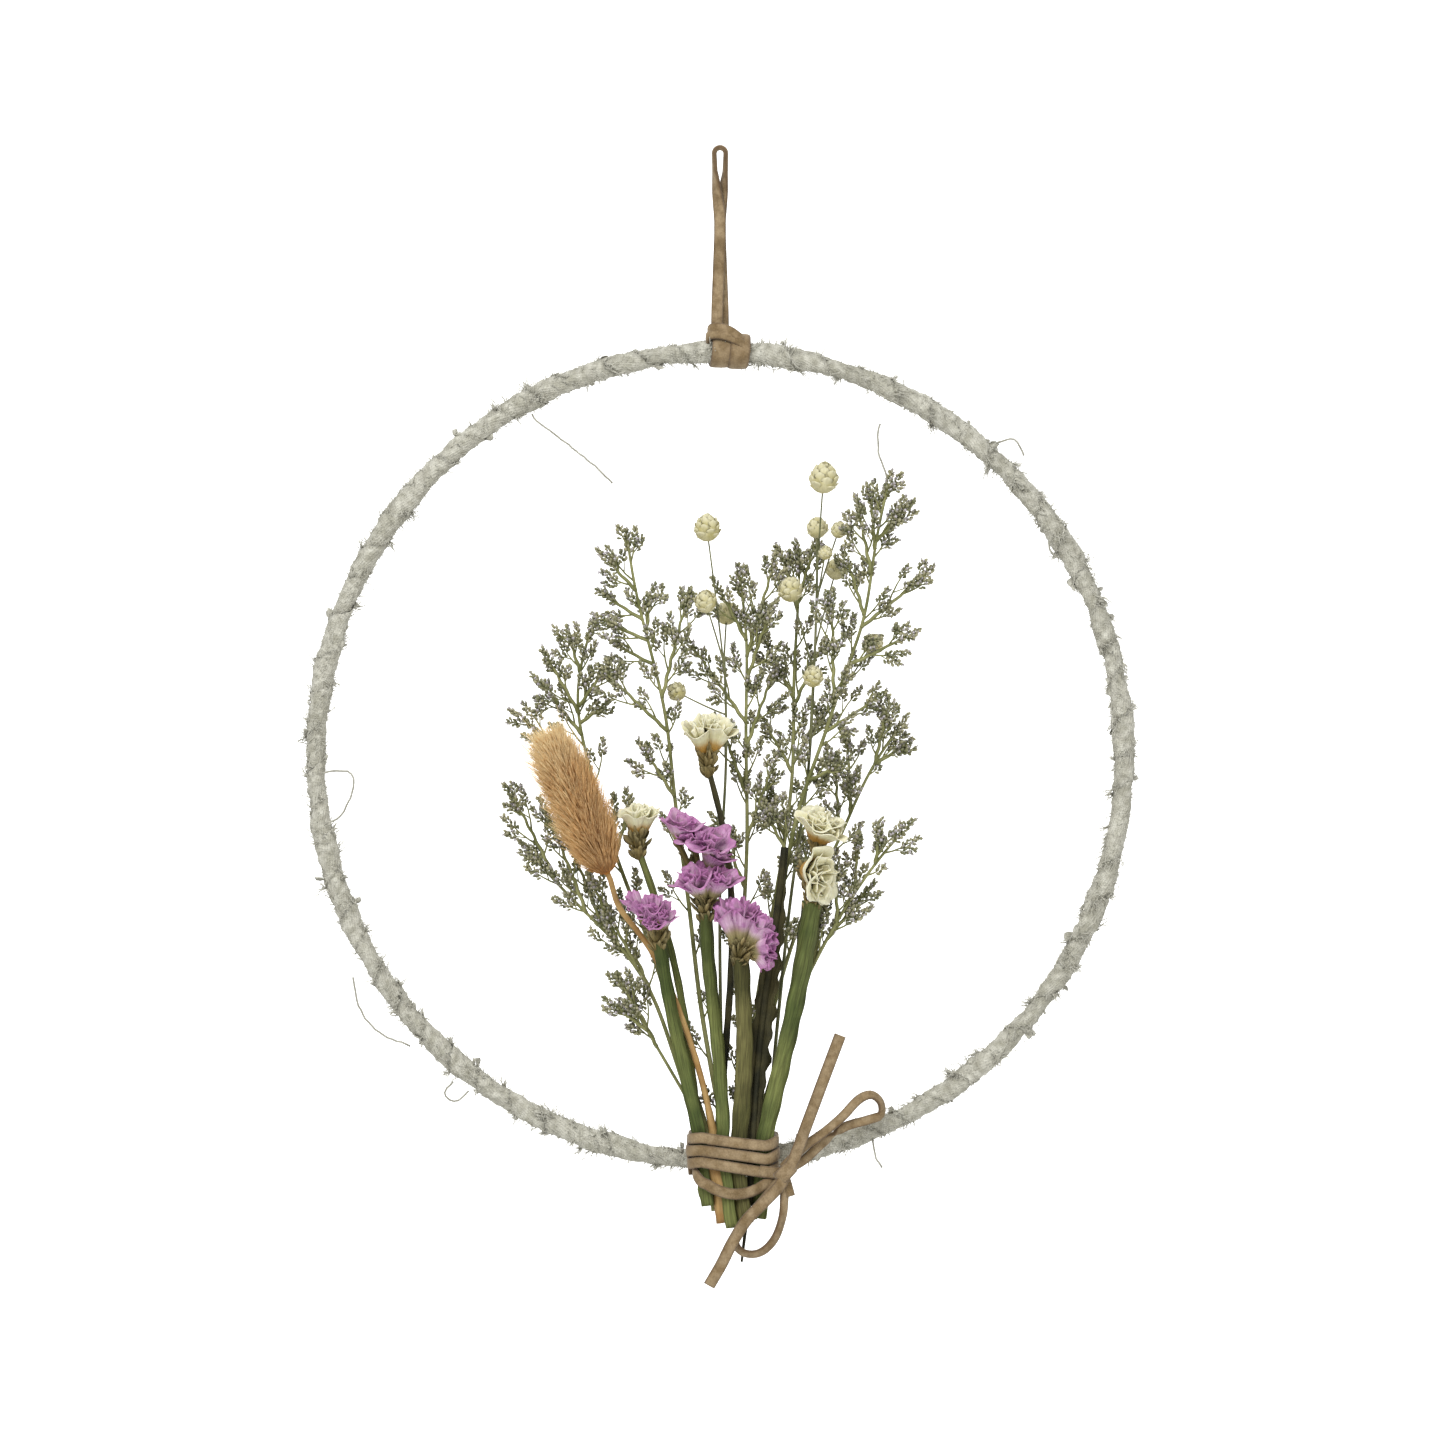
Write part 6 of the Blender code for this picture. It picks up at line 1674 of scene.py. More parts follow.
@dataclass
class PaperHead:
    """One head of papery florets, its calyxes and the winged stem that carries it."""

    groups: SurfaceGroups
    name: str
    routes: dict[str, Array]
    petals: Finish
    stem_finish: Finish
    slot: str
    stem_slot: str
    wings: int = 3
    rows: int = 10
    columns: int = 50
    petal_count: int = 9
    petal_rows: int = 8
    petal_columns: int = 11
    ribs: int = 12
    foot_share: float = 0.42
    paper: float = 0.12
    fullness: float = 1.0
    crumple: float = 1.0
    seed: int = 31

    def build(self) -> None:
        """The florets and the stem."""
        stem, centre, axis, florets = HEADS[self.name]
        rng = np.random.default_rng(self.seed)
        centre, axis = np.array(centre, float), unit(axis)
        form = Form()
        for place, way, length, mouth in self.with_fillers(florets):
            throat, way = centre + place, unit(way)
            length, mouth = length * (0.2 + 0.8 * self.fullness), mouth * self.fullness
            form.look = 0
            self.add_floret(form, rng, throat, way, 0.94 * length, 1.18 * mouth, 0.6)
            self.add_petals(form, rng, throat + 0.3 * length * way, way, 0.78 * length, mouth)
            form.look = 1
            self.add_calyx(form, rng, throat, way, length, mouth, centre)
        self.add_cushion(form, rng, centre, axis)
        form.build(self.name.replace("petals", "blossoms"), [self.petals, CALYX], self.groups, self.slot,
                   [self.name])
        self.build_stem(stem, centre, axis, rng)

    @staticmethod
    def with_fillers(florets: Sequence[Floret]) -> list[Floret]:
        """The written florets, and a smaller one between each two neighbours that share a throat."""
        found = list(florets)
        for here, there in zip(florets, florets[1:]):
            if np.linalg.norm(np.subtract(here[0], there[0])) < 3.5:
                middle = 0.5 * np.add(here[0], there[0]) + (0.0, 0.9, 0.2)
                way = unit(unit(here[1]) + unit(there[1]))
                found.append((tuple(middle), tuple(way), 0.47 * (here[2] + there[2]),
                              0.44 * (here[3] + there[3])))
        return found

    def add_cushion(self, form: Form, rng: np.random.Generator, centre: Array, axis: Array) -> None:
        """The knot of dry bracts on which the florets sit.

        Args:
            form: The mesh that takes it.
            rng: The source of chance.
            centre: The head's centre.
            axis: The way that the head faces.
        """
        rings = [(-1.0, 0.0)] + [(-math.cos(a), math.sin(a)) for a in np.linspace(0.4, 2.7, 7)] + [(1.0, 0.0)]
        ball = spindle(rings, 14, tip_from=2.0, lobes=0.12)
        form.repeat(ball, centre[None], axis[None], 0.0, [[1.6, 1.6, 2.1]], tone=0.3)
        first, second = square_to(axis)
        count = 34
        angles = GOLDEN_ANGLE * np.arange(count)
        out = np.cos(angles)[:, None] * first + np.sin(angles)[:, None] * second
        feet = centre + np.linspace(-2.2, 1.4, count)[:, None] * axis + 1.0 * out
        ways = unit(axis + 0.55 * out + 0.2 * rng.normal(size=out.shape))
        sizes = rng.uniform(2.2, 4.0, count)
        scale = blade(0.24, 0.12, 0.12, 0.05)
        form.repeat(scale, feet, ways, rng.uniform(0.0, 6.0, count), sizes, rng.uniform(0.1, 0.95, count),
                    0.7)

    def add_floret(
        self, form: Form, rng: np.random.Generator, throat: Array, way: Array, length: float, mouth: float,
        tone: float,
    ) -> None:
        """One floret: a pleated papery funnel with five round lobes, straw-coloured at its foot.

        Args:
            form: The mesh that takes it.
            rng: The source of chance.
            throat: Its narrow end.
            way: The way that it opens.
            length: How long it is.
            mouth: The radius of its mouth.
            tone: How light it is.
        """
        first, second = square_to(way)
        u = np.linspace(0.0, 1.0, self.rows)[:, None]
        v = (2 * math.pi * np.arange(self.columns) / self.columns)[None]
        phases = rng.uniform(0.0, 2 * math.pi, 6)
        lobes = 0.5 + 0.5 * np.cos(5 * v + phases[0])
        pleats = 0.04 * np.sin(15 * v + phases[1]) * np.sin(math.pi * u ** 0.8)
        swing = 0.13 * np.sin(2 * v + phases[2]) + 0.12 * np.sin(3 * v + phases[3])
        swing = swing + 0.04 * np.sin(7 * v + phases[4])
        flare = 0.72 * u**0.6 + 0.28 * u**2.5
        tucked = 1.0 - 0.32 * u**3 * np.maximum(np.sin(2 * v + phases[5]), 0.0)
        waved = (mouth - 0.5) * flare * (1.0 + pleats + swing * u)
        radius = 0.5 + waved * (0.90 + 0.14 * lobes * u**2) * tucked
        crumple = 0.09 * np.sin(3 * v + phases[5]) + 0.06 * np.sin(5 * v + phases[3])
        rise = length * (u + u**3 * (0.10 * lobes - 0.10) + crumple * u**2 - 0.15 * u**6)
        around = np.cos(v)[..., None] * first + np.sin(v)[..., None] * second
        outer = throat + rise[:, :, None] * way + radius[:, :, None] * around
        across = np.minimum(np.arange(self.columns), self.columns - np.arange(self.columns)) * 0.8
        share = np.linspace(0.0, 1.0, self.rows)
        foots = np.clip((self.foot_share - share) / 0.22 + 0.5, 0.0, 1.0)
        form.skin(outer, self.paper, 0.85 * share**2.4, tone + rng.uniform(-0.15, 0.15), across, foots)

    def add_petals(
        self, form: Form, rng: np.random.Generator, foot: Array, way: Array, length: float, mouth: float
    ) -> None:
        """The crumpled petals that fill a floret's funnel, each leaning its own way.

        Args:
            form: The mesh that takes it.
            rng: The source of chance.
            foot: Where the petals start.
            way: The way that the floret opens.
            length: How long the petals are.
            mouth: The radius of the floret's mouth.
        """
        first, second = square_to(way)
        u = np.linspace(0.0, 1.0, self.petal_rows)[:, None]
        s = np.linspace(-1.0, 1.0, self.petal_columns)[None]
        for number in range(self.petal_count):
            angle = GOLDEN_ANGLE * number + rng.uniform(-0.4, 0.4)
            out = math.cos(angle) * first + math.sin(angle) * second
            lean = mouth / length * (0.15 + 0.95 * math.sqrt((number + 0.5) / self.petal_count))
            heading = unit(way + lean * out + 0.12 * rng.normal(size=3))
            flat = unit(np.cross(heading, out) + 0.7 * rng.normal() * out)
            face = np.cross(heading, flat)
            reach = length * rng.uniform(0.82, 1.08)
            half = mouth * rng.uniform(0.42, 0.62) * (1.35 - 0.35 * self.crumple)
            phases = rng.uniform(0.0, 2 * math.pi, 4)
            width = half * (0.22 + 0.78 * np.sin(0.5 * math.pi * u**0.8))
            rise = reach * (u - 0.20 * s**2 * u**2 + 0.05 * u**3 * np.cos(5.0 * s + phases[0]))
            wave = 0.22 * u**1.5 * np.sin(4.2 * s + 1.5 * u + phases[1])
            wave = wave + 0.12 * u * np.sin(7.0 * s + phases[2])
            wave = half * (self.crumple * wave + 0.35 * u**2 * np.cos(phases[3]) + 0.30 * s**2 * u)
            middle = foot + rise[..., None] * heading + (width * s)[..., None] * flat + wave[..., None] * face
            rim = np.clip(np.maximum(u**3, (u * np.abs(s)) ** 4) * 0.9, 0.0, 1.0) * np.ones_like(s)
            form.sheet(middle, self.paper, rim, 0.25 + 0.75 * rng.uniform())

    def add_calyx(
        self, form: Form, rng: np.random.Generator, throat: Array, way: Array, length: float, mouth: float,
        centre: Array,
    ) -> None:
        """The ribs and bracts round a floret's tube, and the spur that carries a high floret.

        Args:
            form: The mesh that takes it.
            rng: The source of chance.
            throat: The floret's narrow end.
            way: The way that the floret opens.
            length: The floret's length.
            mouth: The radius of its mouth.
            centre: The head's centre.
        """
        first, second = square_to(way)
        angles = 2 * math.pi * np.arange(self.ribs) / self.ribs + rng.uniform(0.0, 1.0)
        out = np.cos(angles)[:, None] * first + np.sin(angles)[:, None] * second
        t = np.linspace(0.0, 1.0, 5)
        reach = 0.58 * (self.foot_share + 0.12) + rng.uniform(-0.08, 0.08, self.ribs)
        shares = reach[:, None] * t[None]
        radii = 0.56 + (mouth - 0.5) * (0.62 * shares**0.75 + 0.38 * shares**3)
        paths = throat + (length * shares)[..., None] * way + radii[..., None] * out[:, None]
        form.strands(paths, 0.13, 0.35, tone=rng.uniform(0.2, 0.9, self.ribs), tips=0.8)
        scale = blade(0.26, 0.10, 0.05, 0.05)
        count = 9
        angles = GOLDEN_ANGLE * np.arange(count) + rng.uniform(0.0, 1.0)
        out = np.cos(angles)[:, None] * first + np.sin(angles)[:, None] * second
        feet = throat + np.linspace(-1.4, 0.4, count)[:, None] * way + 0.5 * out
        ways = unit(way + 0.40 * out)
        sizes = rng.uniform(2.0, 3.2, count)
        form.repeat(scale, feet, ways, rng.uniform(0.0, 6.0, count), sizes, rng.uniform(0.1, 0.8, count), 0.6)
        if np.linalg.norm(throat - centre) > 3.0:
            form.tube(smooth([centre, 0.5 * (centre + throat), throat - 0.4 * way], 0.8), 0.75, 8, tone=0.3)
            side, other = square_to(unit(throat - centre))
            many = 8
            shares = np.linspace(0.15, 0.95, many)
            angles = GOLDEN_ANGLE * np.arange(many)
            out = np.cos(angles)[:, None] * side + np.sin(angles)[:, None] * other
            feet = centre + shares[:, None] * (throat - centre) + 0.4 * out
            ways = unit(unit(throat - centre) + 0.5 * out)
            form.repeat(scale, feet, ways, rng.uniform(0.0, 6.0, many), 2.8, rng.uniform(0.1, 0.7, many), 0.6)

    def build_stem(self, stem: str, centre: Array, axis: Array, rng: np.random.Generator) -> None:
        """The winged stem, and the cup of bracts just below the florets.

        Args:
            stem: The stem's name.
            centre: The head's centre.
            axis: The way that the head faces.
            rng: The source of chance.
        """
        low, high, _ = STEMS[stem]
        rim = centre - (CORE_HALF_LENGTH + GAP + 0.2) * axis
        route = smooth(eased(np.vstack([self.routes[stem][:-3], rim - 3.0 * axis, rim - 0.1 * axis]), 40),
                       1.2)
        radii = np.linspace(low, high, len(route)) * (1.0 + 0.05 * np.sin(0.9 * np.arange(len(route))))
        sides = 6 * self.wings
        turn = np.arange(sides) * self.wings * 2 * math.pi / sides
        profile = 0.92 + 0.46 * np.maximum(np.cos(turn), 0.0) ** 2 + 0.05 * np.cos(3 * turn)
        form = Form()
        form.tube(route, radii, sides, profile=profile, twist=1.2, tone=0.5 + rng.uniform(-0.1, 0.15))
        bract = blade(0.22, 0.08, 0.10, 0.06)
        count = 11
        angles = GOLDEN_ANGLE * np.arange(count)
        first, second = square_to(axis)
        out = np.cos(angles)[:, None] * first + np.sin(angles)[:, None] * second
        feet = rim - np.linspace(2.6, 0.6, count)[:, None] * axis + 0.6 * out
        ways = unit(axis + 0.75 * out)
        form.look = 1
        form.repeat(bract, feet, ways, rng.uniform(0.0, 6.0, count), 3.0, tone=rng.uniform(0.2, 0.8, count),
                    tip=0.7)
        cup = spindle([(0.0, 0.0), (0.1, 0.5), (0.5, 0.9), (0.9, 1.0), (1.0, 0.0)], 12, lobes=0.2)
        form.repeat(cup, (rim - 3.0 * axis)[None], axis[None], 0.0, [[1.7, 1.7, 3.4]], tone=0.4, tip=0.3)
        form.build(stem + "_winged", [self.stem_finish, CALYX], self.groups, self.stem_slot, [stem])


@dataclass
class DarkLeafyStem:
    """The dark olive stem with its dried wavy wing."""

    groups: SurfaceGroups
    routes: dict[str, Array]
    seed: int = 41

    def build(self) -> None:
        """The stem and two wings that wave along it."""
        rng = np.random.default_rng(self.seed)
        route = smooth(self.routes["dark_leafy_stem"], 1.2)
        form = Form()
        form.tube(route, 0.95, 12, profile=1.0 - 0.14 * (np.arange(12) % 2), tone=0.4)
        split = smooth((route[0] + (-0.4, -0.4, 2.0), (6.2, -9.6, -113.0), (5.6, -10.2, -118.0),
                        (5.2, -10.4, -121.4)), 1.0)
        form.tube(split, np.linspace(0.6, 0.3, len(split)), 6, tone=0.2)
        tangents, _, _ = carried_frames(route)
        count = len(route)
        share = np.linspace(0.0, 1.0, count)
        for sign, wide, start, stop in ((1.0, 2.4, 0.16, 0.92), (-1.0, 1.8, 0.10, 0.80)):
            body = np.clip((share - start) / (stop - start), 0.0, 1.0)
            ripple = 1.0 + 0.22 * np.sin(1.3 * np.arange(count) + sign)
            width = wide * np.sin(math.pi * body) ** 0.6 * ripple
            wave = 0.5 * np.sin(0.7 * np.arange(count)) * width
            kept = (body > 0.0) & (body < 1.0)
            side = np.array([sign, -0.25, 0.0])
            side = unit(side - (tangents @ side)[:, None] * tangents)
            lift = np.cross(tangents, side)
            rings = []
            for x, y in ((0.0, 0.16), (0.5, 0.14), (1.0, 0.05), (1.0, -0.05), (0.5, -0.14), (0.0, -0.16)):
                rings.append(
                    route + (0.5 + x * width)[:, None] * side + (y + x * x * wave)[:, None] * lift
                )
            points = np.stack(rings, axis=1)[kept]
            rows = len(points)
            k = np.arange(1, 5)
            last = (rows - 1) * 6
            tris = np.vstack([
                np.stack([np.zeros(4, int), k + 1, k], axis=1),
                np.stack([np.full(4, last), last + k, last + k + 1], axis=1),
            ])
            form.add(points, grid_quads(rows, 6), tris, tone=rng.uniform(0.4, 0.7),
                     along=np.repeat(np.arange(rows), 6),
                     across=np.tile([0.0, 1.0, 2.0, 2.0, 1.0, 0.0], rows))
        form.build("dark_winged_stem", [DARK], self.groups, "dark_stem", ["dark_leafy_stem"])


@dataclass
class CaspiaSpray:
    """One spray of caspia: a thin stem whose branches fork into twigs full of tiny florets."""

    groups: SurfaceGroups
    name: str
    route: Array
    seed: int
    twig_spacing: float = 4.0
    twig_radius: float = 0.25
    flat_share: float = 0.5
    floret_step: float = 0.25
    lowest_twig: float = -50.0
    low_twigs: tuple[float, float] = (-88.0, -56.0)

    def build(self) -> None:
        """The stem, its branches, their twigs and the florets."""
        self.rng = np.random.default_rng(self.seed)
        self.form = Form()
        self.florets: list[tuple[Array, Array]] = []
        low, high, _ = STEMS[self.name]
        points = smooth(self.route, 1.5)
        self.form.tube(points, np.linspace(1.1 * low, 0.85 * high, len(points)), 7, tone=0.45)
        if self.name in ("caspia_left_tall", "caspia_centre", "caspia_centre_right"):
            near = points[(points[:, 2] > self.low_twigs[0]) & (points[:, 2] < self.low_twigs[1])]
            self.add_twigs(near, length_of(near), 2.2)
        upper = points[points[:, 2] > self.lowest_twig]
        if len(upper) > 9:
            self.add_twigs(upper[:-8], length_of(upper[:-8]) - 1.0, 2.1)
        self.add_twigs(points[-9:], 12.0, 1.0)
        corners = node_points(self.name)
        centres = smooth(self.route, 8.0)
        for height, tip in BRANCHES[self.name]:
            self.add_branch(at_height(centres, height), np.array(tip, float), corners)
        self.add_florets()
        self.form.build(self.name + "_sprigs", [TWIG, FLORET], self.groups, "spray", [self.name])

    def add_branch(self, start: Array, tip: Array, corners: Array) -> None:
        """One branch, leaning the way that the CAD solid's branch does.

        Args:
            start: Where it leaves the stem.
            tip: Its written tip.
            corners: The corners of the CAD node.
        """
        def miss(lean: float) -> float:
            """How far the solid's nearest corner is from the tip at this lean."""
            return float(np.linalg.norm(corners - (tip + (0.0, lean, 0.0)), axis=1).min())

        lean = min(LEAN_CHOICES, key=miss)
        route = smooth(arc(start, tip, lean, 5), 1.0)
        wave = 0.16 * np.sin(1.4 * np.arange(len(route)) + self.rng.uniform(0.0, 6.0))
        route[1:-1, 0] += wave[1:-1]
        self.form.tube(route, np.linspace(0.5, 0.3, len(route)), 6, tone=0.5)
        self.add_twigs(route, 0.86 * length_of(route), 1.0)

    def add_twigs(self, route: Array, reach: float, sparse: float) -> None:
        """Twigs on alternate sides of a branch's outer end, each with a spikelet, and one at its tip.

        Args:
            route: The branch.
            reach: How much of its length carries twigs.
            sparse: How many times further apart than usual the twigs stand.
        """
        along = np.concatenate([[0.0], np.cumsum(np.linalg.norm(np.diff(route, axis=0), axis=1))])
        tangents, _, _ = carried_frames(route)
        stop = along[-1]
        spot = max(stop - reach, 0.8) + self.rng.uniform(0.0, 1.0)
        side = self.rng.choice((-1.0, 1.0))
        while spot < stop - 1.2:
            share = min(1.0, (stop - spot) / 11.0)
            base = np.array([np.interp(spot, along, route[:, k]) for k in range(3)])
            way = unit([np.interp(spot, along, tangents[:, k]) for k in range(3)])
            heading = unit(way + self.rng.uniform(0.5, 0.95) * side * self.sideways(way))
            self.add_twig(base, heading, way, self.rng.uniform(0.6, 1.3) * (2.2 + 5.2 * share))
            side = -side
            spot += sparse * self.twig_spacing * self.rng.uniform(0.7, 1.3)
        if sparse < 2.0:
            self.add_spikelet(route[-1] - 3.6 * tangents[-1], tangents[-1], self.rng.uniform(5.4, 7.4))

    def sideways(self, way: Array) -> Array:
        """A unit vector square to a direction and mostly in the plane of the hoop."""
        flat = unit(np.cross(way, (0.0, 1.0, 0.0)))
        return unit(flat + self.flat_share * self.rng.normal() * np.array([0.0, 1.0, 0.0]))

    def add_twig(self, base: Array, heading: Array, way: Array, length: float) -> None:
        """One twig, which may fork once, with a spikelet at each end.

        Args:
            base: Where it leaves its branch.
            heading: The way that it leaves.
            way: The branch's own direction, which the twig bends back to.
            length: How long it is.
        """
        t = np.linspace(0.0, 1.0, 4)[:, None]
        route = base + length * (heading * t + 0.30 * (way - heading) * t**2)
        self.form.tube(route, np.linspace(self.twig_radius, 0.15, 4), 4, tone=0.55)
        end = unit(route[-1] - route[-2])
        spike = min(4.8, 1.9 + 0.45 * length) * self.rng.uniform(0.75, 1.25)
        self.add_spikelet(route[-1] - 0.4 * spike * end, end, spike)
        if length > 4.2:
            side = self.rng.choice((-1.0, 1.0))
            fork = route[1] + 0.2 * (route[2] - route[1])
            heading = unit(end + 0.8 * side * self.sideways(end))
            self.form.strands((fork + 0.42 * length * heading * t)[None], 0.21, 0.7, tips=0.0)
            tip = fork + 0.42 * length * heading
            self.add_spikelet(tip - 0.3 * spike * heading, unit(heading + 0.3 * end), 0.75 * spike)

    def add_spikelet(self, foot: Array, way: Array, length: float) -> None:
        """A dense spike of small florets, all round its twig.

        Args:
            foot: Where it starts.
            way: The way that it points.
            length: How long it is.
        """
        first, second = square_to(way)
        count = max(5, round(length / self.floret_step))
        turn = self.rng.uniform(0.0, 6.0)
        for number in range(count):
            share = number / count
            angle = turn + GOLDEN_ANGLE * number
            out = math.cos(angle) * first + 0.8 * math.sin(angle) * second
            width = 0.80 * (1.0 - 0.7 * share**2)
            place = foot + length * share * way + 0.45 * width * out
            self.place_floret(place, unit(way + (1.25 * width) * out + 0.16 * self.rng.normal(size=3)))

    def place_floret(self, place: Array, way: Array) -> None:
        """Note a floret's foot and the way that it points."""
        self.florets.append((place, way))

    def add_florets(self) -> None:
        """All the noted florets: slim ribbed calyxes, some with a lavender tip that has opened."""
        places = np.array([place for place, _ in self.florets])
        ways = np.array([way for _, way in self.florets])
        many = len(places)
        self.form.look = 1
        calyx = spindle([(0.0, 0.0), (0.15, 0.6), (0.7, 1.0), (1.0, 0.0)], 4, tip_from=0.62)
        sizes = np.stack([self.rng.uniform(0.34, 0.50, many)] * 2 + [self.rng.uniform(0.95, 1.45, many)],
                         axis=1)
        open_now = self.rng.uniform(size=many) < 0.3
        rolls = self.rng.uniform(0.0, 6.0, many)
        tone = self.rng.uniform(0.1, 0.95, many)
        for chosen, tip in ((open_now, 1.0), (~open_now, 0.25)):
            self.form.repeat(calyx, places[chosen], ways[chosen], rolls[chosen], sizes[chosen],
                             tone[chosen], tip)
        star = spindle([(0.0, 0.0), (0.5, 1.0), (0.75, 0.0)], 4, tip_from=-1.0)
        ends = places[open_now] + ways[open_now] * (0.9 * sizes[open_now, 2:])
        spread = self.rng.uniform(0.34, 0.52, open_now.sum())
        stars = np.stack([spread, spread, 0.8 * spread], axis=1)
        self.form.repeat(star, ends, ways[open_now], rolls[open_now], stars, tone[open_now], 1.0)


@dataclass
class GlobeFlowers:
    """A thin branching stem with small cream globes of overlapping scales."""

    groups: SurfaceGroups
    name: str
    route: Array
    seed: int
    scales: int = 30

    def build(self) -> None:
        """The stem, the stalks and the globes."""
        rng = np.random.default_rng(self.seed)
        low, high, _ = STEMS[self.name]
        stems = Form()
        route = smooth(self.route, 2.0)
        stems.tube(route, np.linspace(low, high, len(route)), 6, tone=0.5)
        centres = smooth(self.route, 8.0)
        for number, (height, _, size) in enumerate(GLOBES[self.name], start=1):
            node = f"{self.name.replace('stems', 'flower')}_{number}"
            corners = node_points(node)
            middle = 0.5 * (corners.min(axis=0) + corners.max(axis=0))
            stalk = smooth(arc(at_height(centres, height), middle, 0.0, 6), 1.5)
            way = unit(stalk[-1] - stalk[-2])
            stalk[-1] = middle - 0.75 * size * way
            stems.tube(stalk, np.linspace(0.26, 0.20, len(stalk)), 5, tone=0.6)
            self.build_globe(node, middle, way, size, rng)
        stems.build(self.name + "_fine", [THIN], self.groups, "thin_stem", [self.name])

    def build_globe(self, node: str, middle: Array, way: Array, size: float,
                    rng: np.random.Generator) -> None:
        """One globe: a small core under rows of cupped scales that open towards its top.

        Args:
            node: The CAD node that it stands for.
            middle: Its centre.
            way: The way that its top faces.
            size: Its radius.
            rng: The source of chance.
        """
        form = Form()
        core = spindle([(-1.0, 0.0)] + [(-math.cos(a), math.sin(a)) for a in np.linspace(0.4, 2.75,
            7)] + [(1.0, 0.0)], 12,
                       tip_from=2.0)
        form.repeat(core, middle[None], way[None], 0.0, [[0.84 * size] * 3], tone=0.5)
        first, second = square_to(way)
        index = np.arange(self.scales)
        height = -0.95 + 1.88 * (index + 0.5) / self.scales
        angle = GOLDEN_ANGLE * index
        out = np.cos(angle)[:, None] * first + np.sin(angle)[:, None] * second
        girth = np.sqrt(1.0 - height**2)
        normal = height[:, None] * way + girth[:, None] * out
        feet = middle + 0.78 * size * normal
        upward = unit(way - (normal @ way)[:, None] * normal + 0.05)
        ways = unit(0.16 * normal + upward + 0.06 * rng.normal(size=normal.shape))
        scale = blade(0.62, 0.16, 0.16, 0.06, rows=6, widest=0.6)
        sizes = size * rng.uniform(0.56, 0.70, self.scales)
        rolls = rolls_towards(ways, -normal) + rng.uniform(-0.15, 0.15, self.scales)
        form.repeat(scale, feet, ways, rolls, sizes, rng.uniform(0.25, 0.95, self.scales), 0.9)
        form.build(node + "_scales", [GLOBE], self.groups, "globe", [node])


# The studio


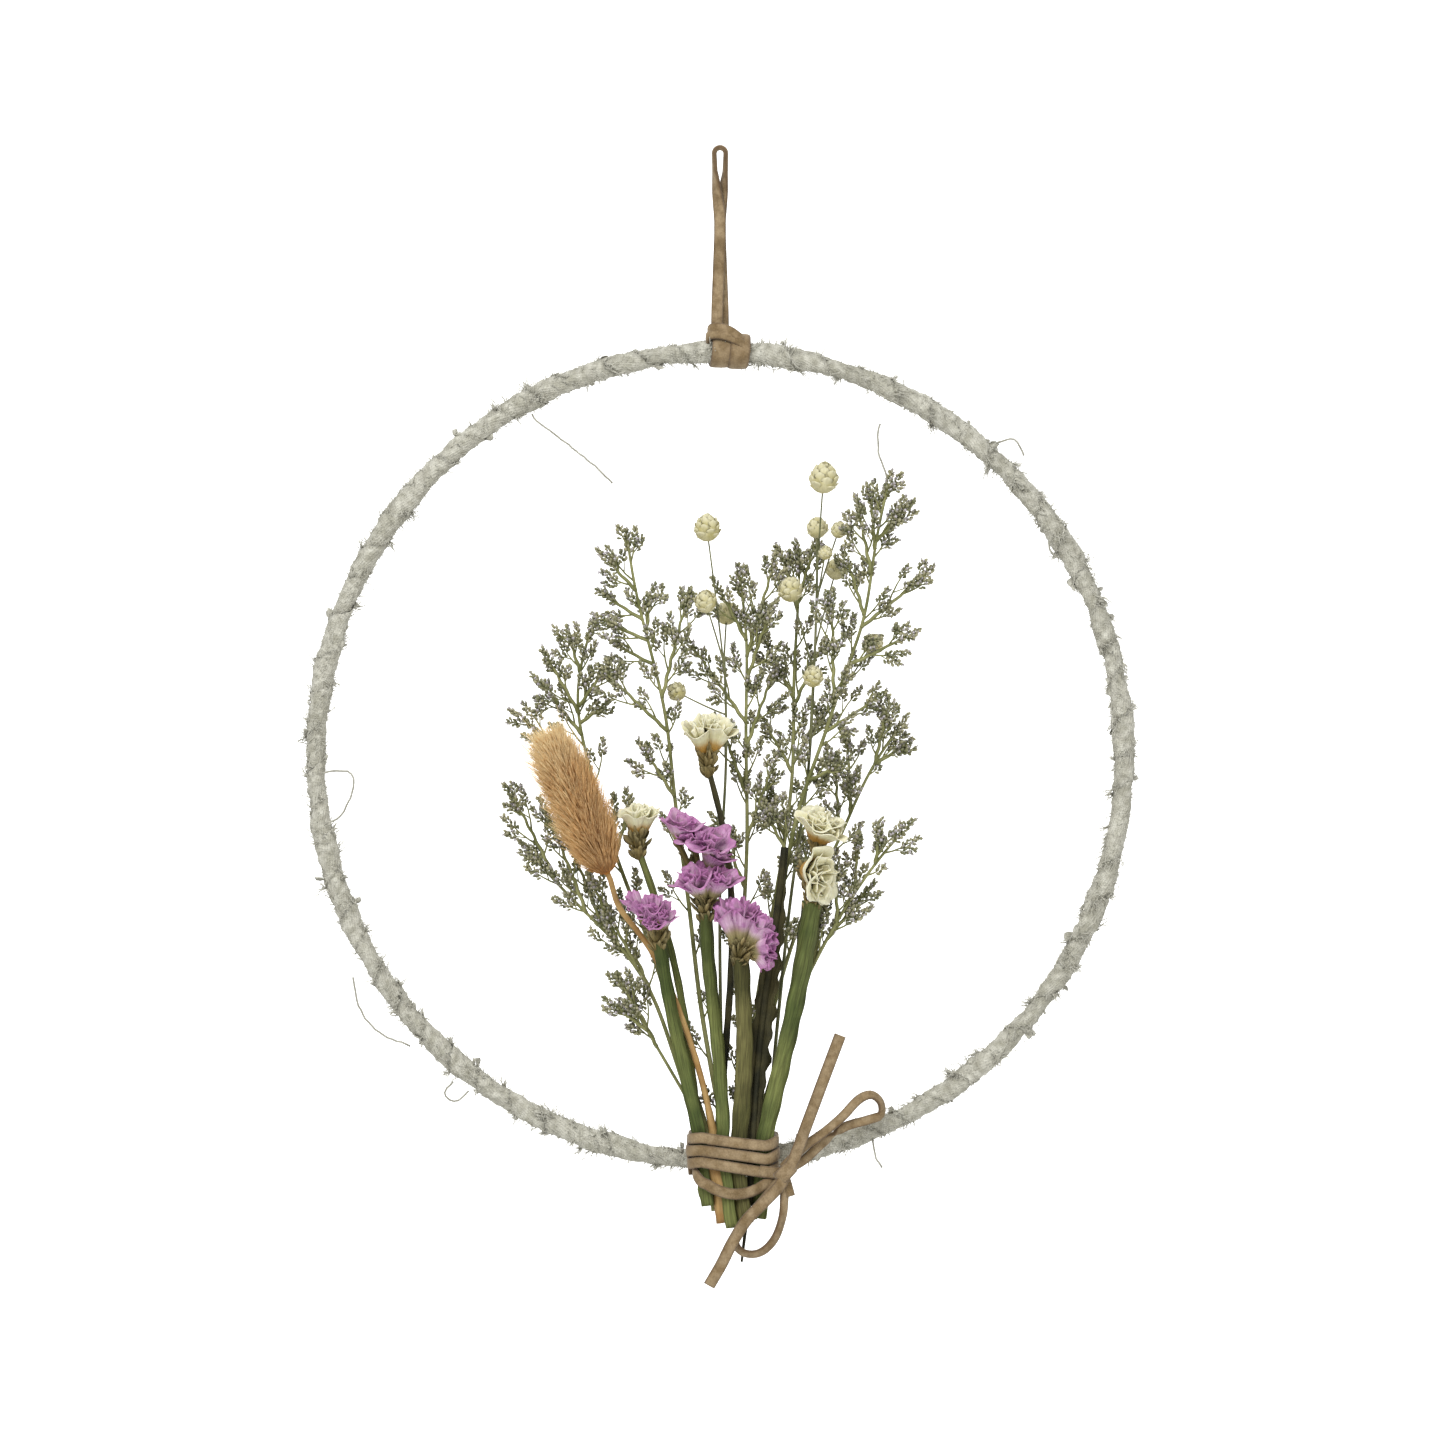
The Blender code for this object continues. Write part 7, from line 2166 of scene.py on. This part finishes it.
@dataclass
class Studio:
    """The camera at the photograph's angle, soft lights, a white backdrop and a pale floor."""

    distance: float = 1.3
    frame_width: float = 0.34969
    aim: Point = (0.0006, 0.0, -0.1385)
    surround: float = 0.62
    floor_height: float = -0.72
    backdrop_distance: float = 2.4
    backdrop_half: float = 1.5

    def build(self) -> None:
        """Place the camera, the lights, the surround, the backdrop and the floor."""
        scene = bpy.context.scene
        scene.view_settings.view_transform = "Standard"
        camera = bpy.data.objects.new("camera", bpy.data.cameras.new("camera"))
        scene.collection.objects.link(camera)
        camera.location = (self.aim[0], -self.distance, self.aim[2])
        camera.rotation_euler = (0.5 * math.pi, 0.0, 0.0)
        camera.data.sensor_width = 36.0
        camera.data.lens = 36.0 * self.distance / self.frame_width
        scene.camera = camera
        self.add_light("key_softbox", (-0.5, -1.15, 0.85), 0.9, 19.0)
        self.add_light("fill_softbox", (0.95, -0.9, 0.0), 1.1, 4.0)
        self.add_light("rim_softbox", (0.35, 0.9, 0.75), 1.0, 7.0)
        world = bpy.data.worlds.new("pale_surround")
        world.use_nodes = True
        world.node_tree.nodes["Background"].inputs["Color"].default_value = (1.0, 1.0, 1.0, 1.0)
        world.node_tree.nodes["Background"].inputs["Strength"].default_value = self.surround
        scene.world = world
        self.add_stage()

    def add_light(self, name: str, place: Point, size: float, watts: float) -> None:
        """A square softbox that faces the hoop.

        Args:
            name: Its name.
            place: Where it stands, in metres.
            size: Its side.
            watts: Its power.
        """
        light = bpy.data.lights.new(name, "AREA")
        light.size, light.energy = size, watts
        lamp = bpy.data.objects.new(name, light)
        bpy.context.scene.collection.objects.link(lamp)
        lamp.location = place
        ahead = Vector(self.aim) - Vector(place)
        lamp.rotation_euler = ahead.to_track_quat("-Z", "Y").to_euler()

    def add_stage(self) -> None:
        """A lit white backdrop well behind the hoop, and a plain pale floor well below it."""
        half, low, far = self.backdrop_half, self.floor_height, self.backdrop_distance
        wall = [(-half, far, low), (half, far, low), (half, far, low + 2.0), (-half, far, low + 2.0)]
        floor = [(-half, -half, low), (half, -half, low), (half, far, low), (-half, far, low)]
        for name, corners, glow in (("white_backdrop", wall, 1.0), ("pale_floor", floor, 0.0)):
            mesh = bpy.data.meshes.new(name)
            mesh.from_pydata(corners, [], [(0, 1, 2, 3)])
            sheet = bpy.data.objects.new(name, mesh)
            bpy.context.scene.collection.objects.link(sheet)
            paint = bpy.data.materials.new(name)
            paint.use_nodes = True
            shader = paint.node_tree.nodes["Principled BSDF"]
            shader.inputs["Base Color"].default_value = (0.86, 0.86, 0.85, 1.0)
            shader.inputs["Roughness"].default_value = 0.9
            shader.inputs["Emission Color"].default_value = (1.0, 1.0, 1.0, 1.0)
            shader.inputs["Emission Strength"].default_value = glow
            mesh.materials.append(paint)


def main() -> None:
    """Dress every piece of the hanger, from the made pieces to the flowers."""
    logging.basicConfig(level=logging.INFO, format="%(name)s: %(message)s")
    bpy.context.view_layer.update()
    Studio().build()
    groups = SurfaceGroups()
    lace = SuedeLace(groups)
    lace.build_hanging()
    lace.build_bow()
    lace.build_binding()
    WrappedHoop(groups).build()
    routes = StemLayout().routes()
    BunnyTail(groups, routes).build()
    for number, name in enumerate(HEADS):
        lilac = name.startswith("statice")
        dark = name == "white_middle_petals"
        stalk = DARK if dark else OLIVE if name == "statice_right_petals" else GREEN
        PaperHead(
            groups, name, routes, LILAC if lilac else CREAM, stalk,
            "lilac_petal" if lilac else "cream_petal", "dark_stem" if dark else "stem_green",
            petal_count=9 if lilac else 6, fullness=FULLNESS.get(name, 1.0), crumple=1.0 if lilac else 0.5,
            seed=31 + number,
        ).build()
    DarkLeafyStem(groups, routes).build()
    for number, name in enumerate(BRANCHES):
        CaspiaSpray(groups, name, routes[name], 51 + number).build()
    for number, name in enumerate(GLOBES):
        GlobeFlowers(groups, name, routes[name], 71 + number).build()


if __name__ == "__main__":
    main()
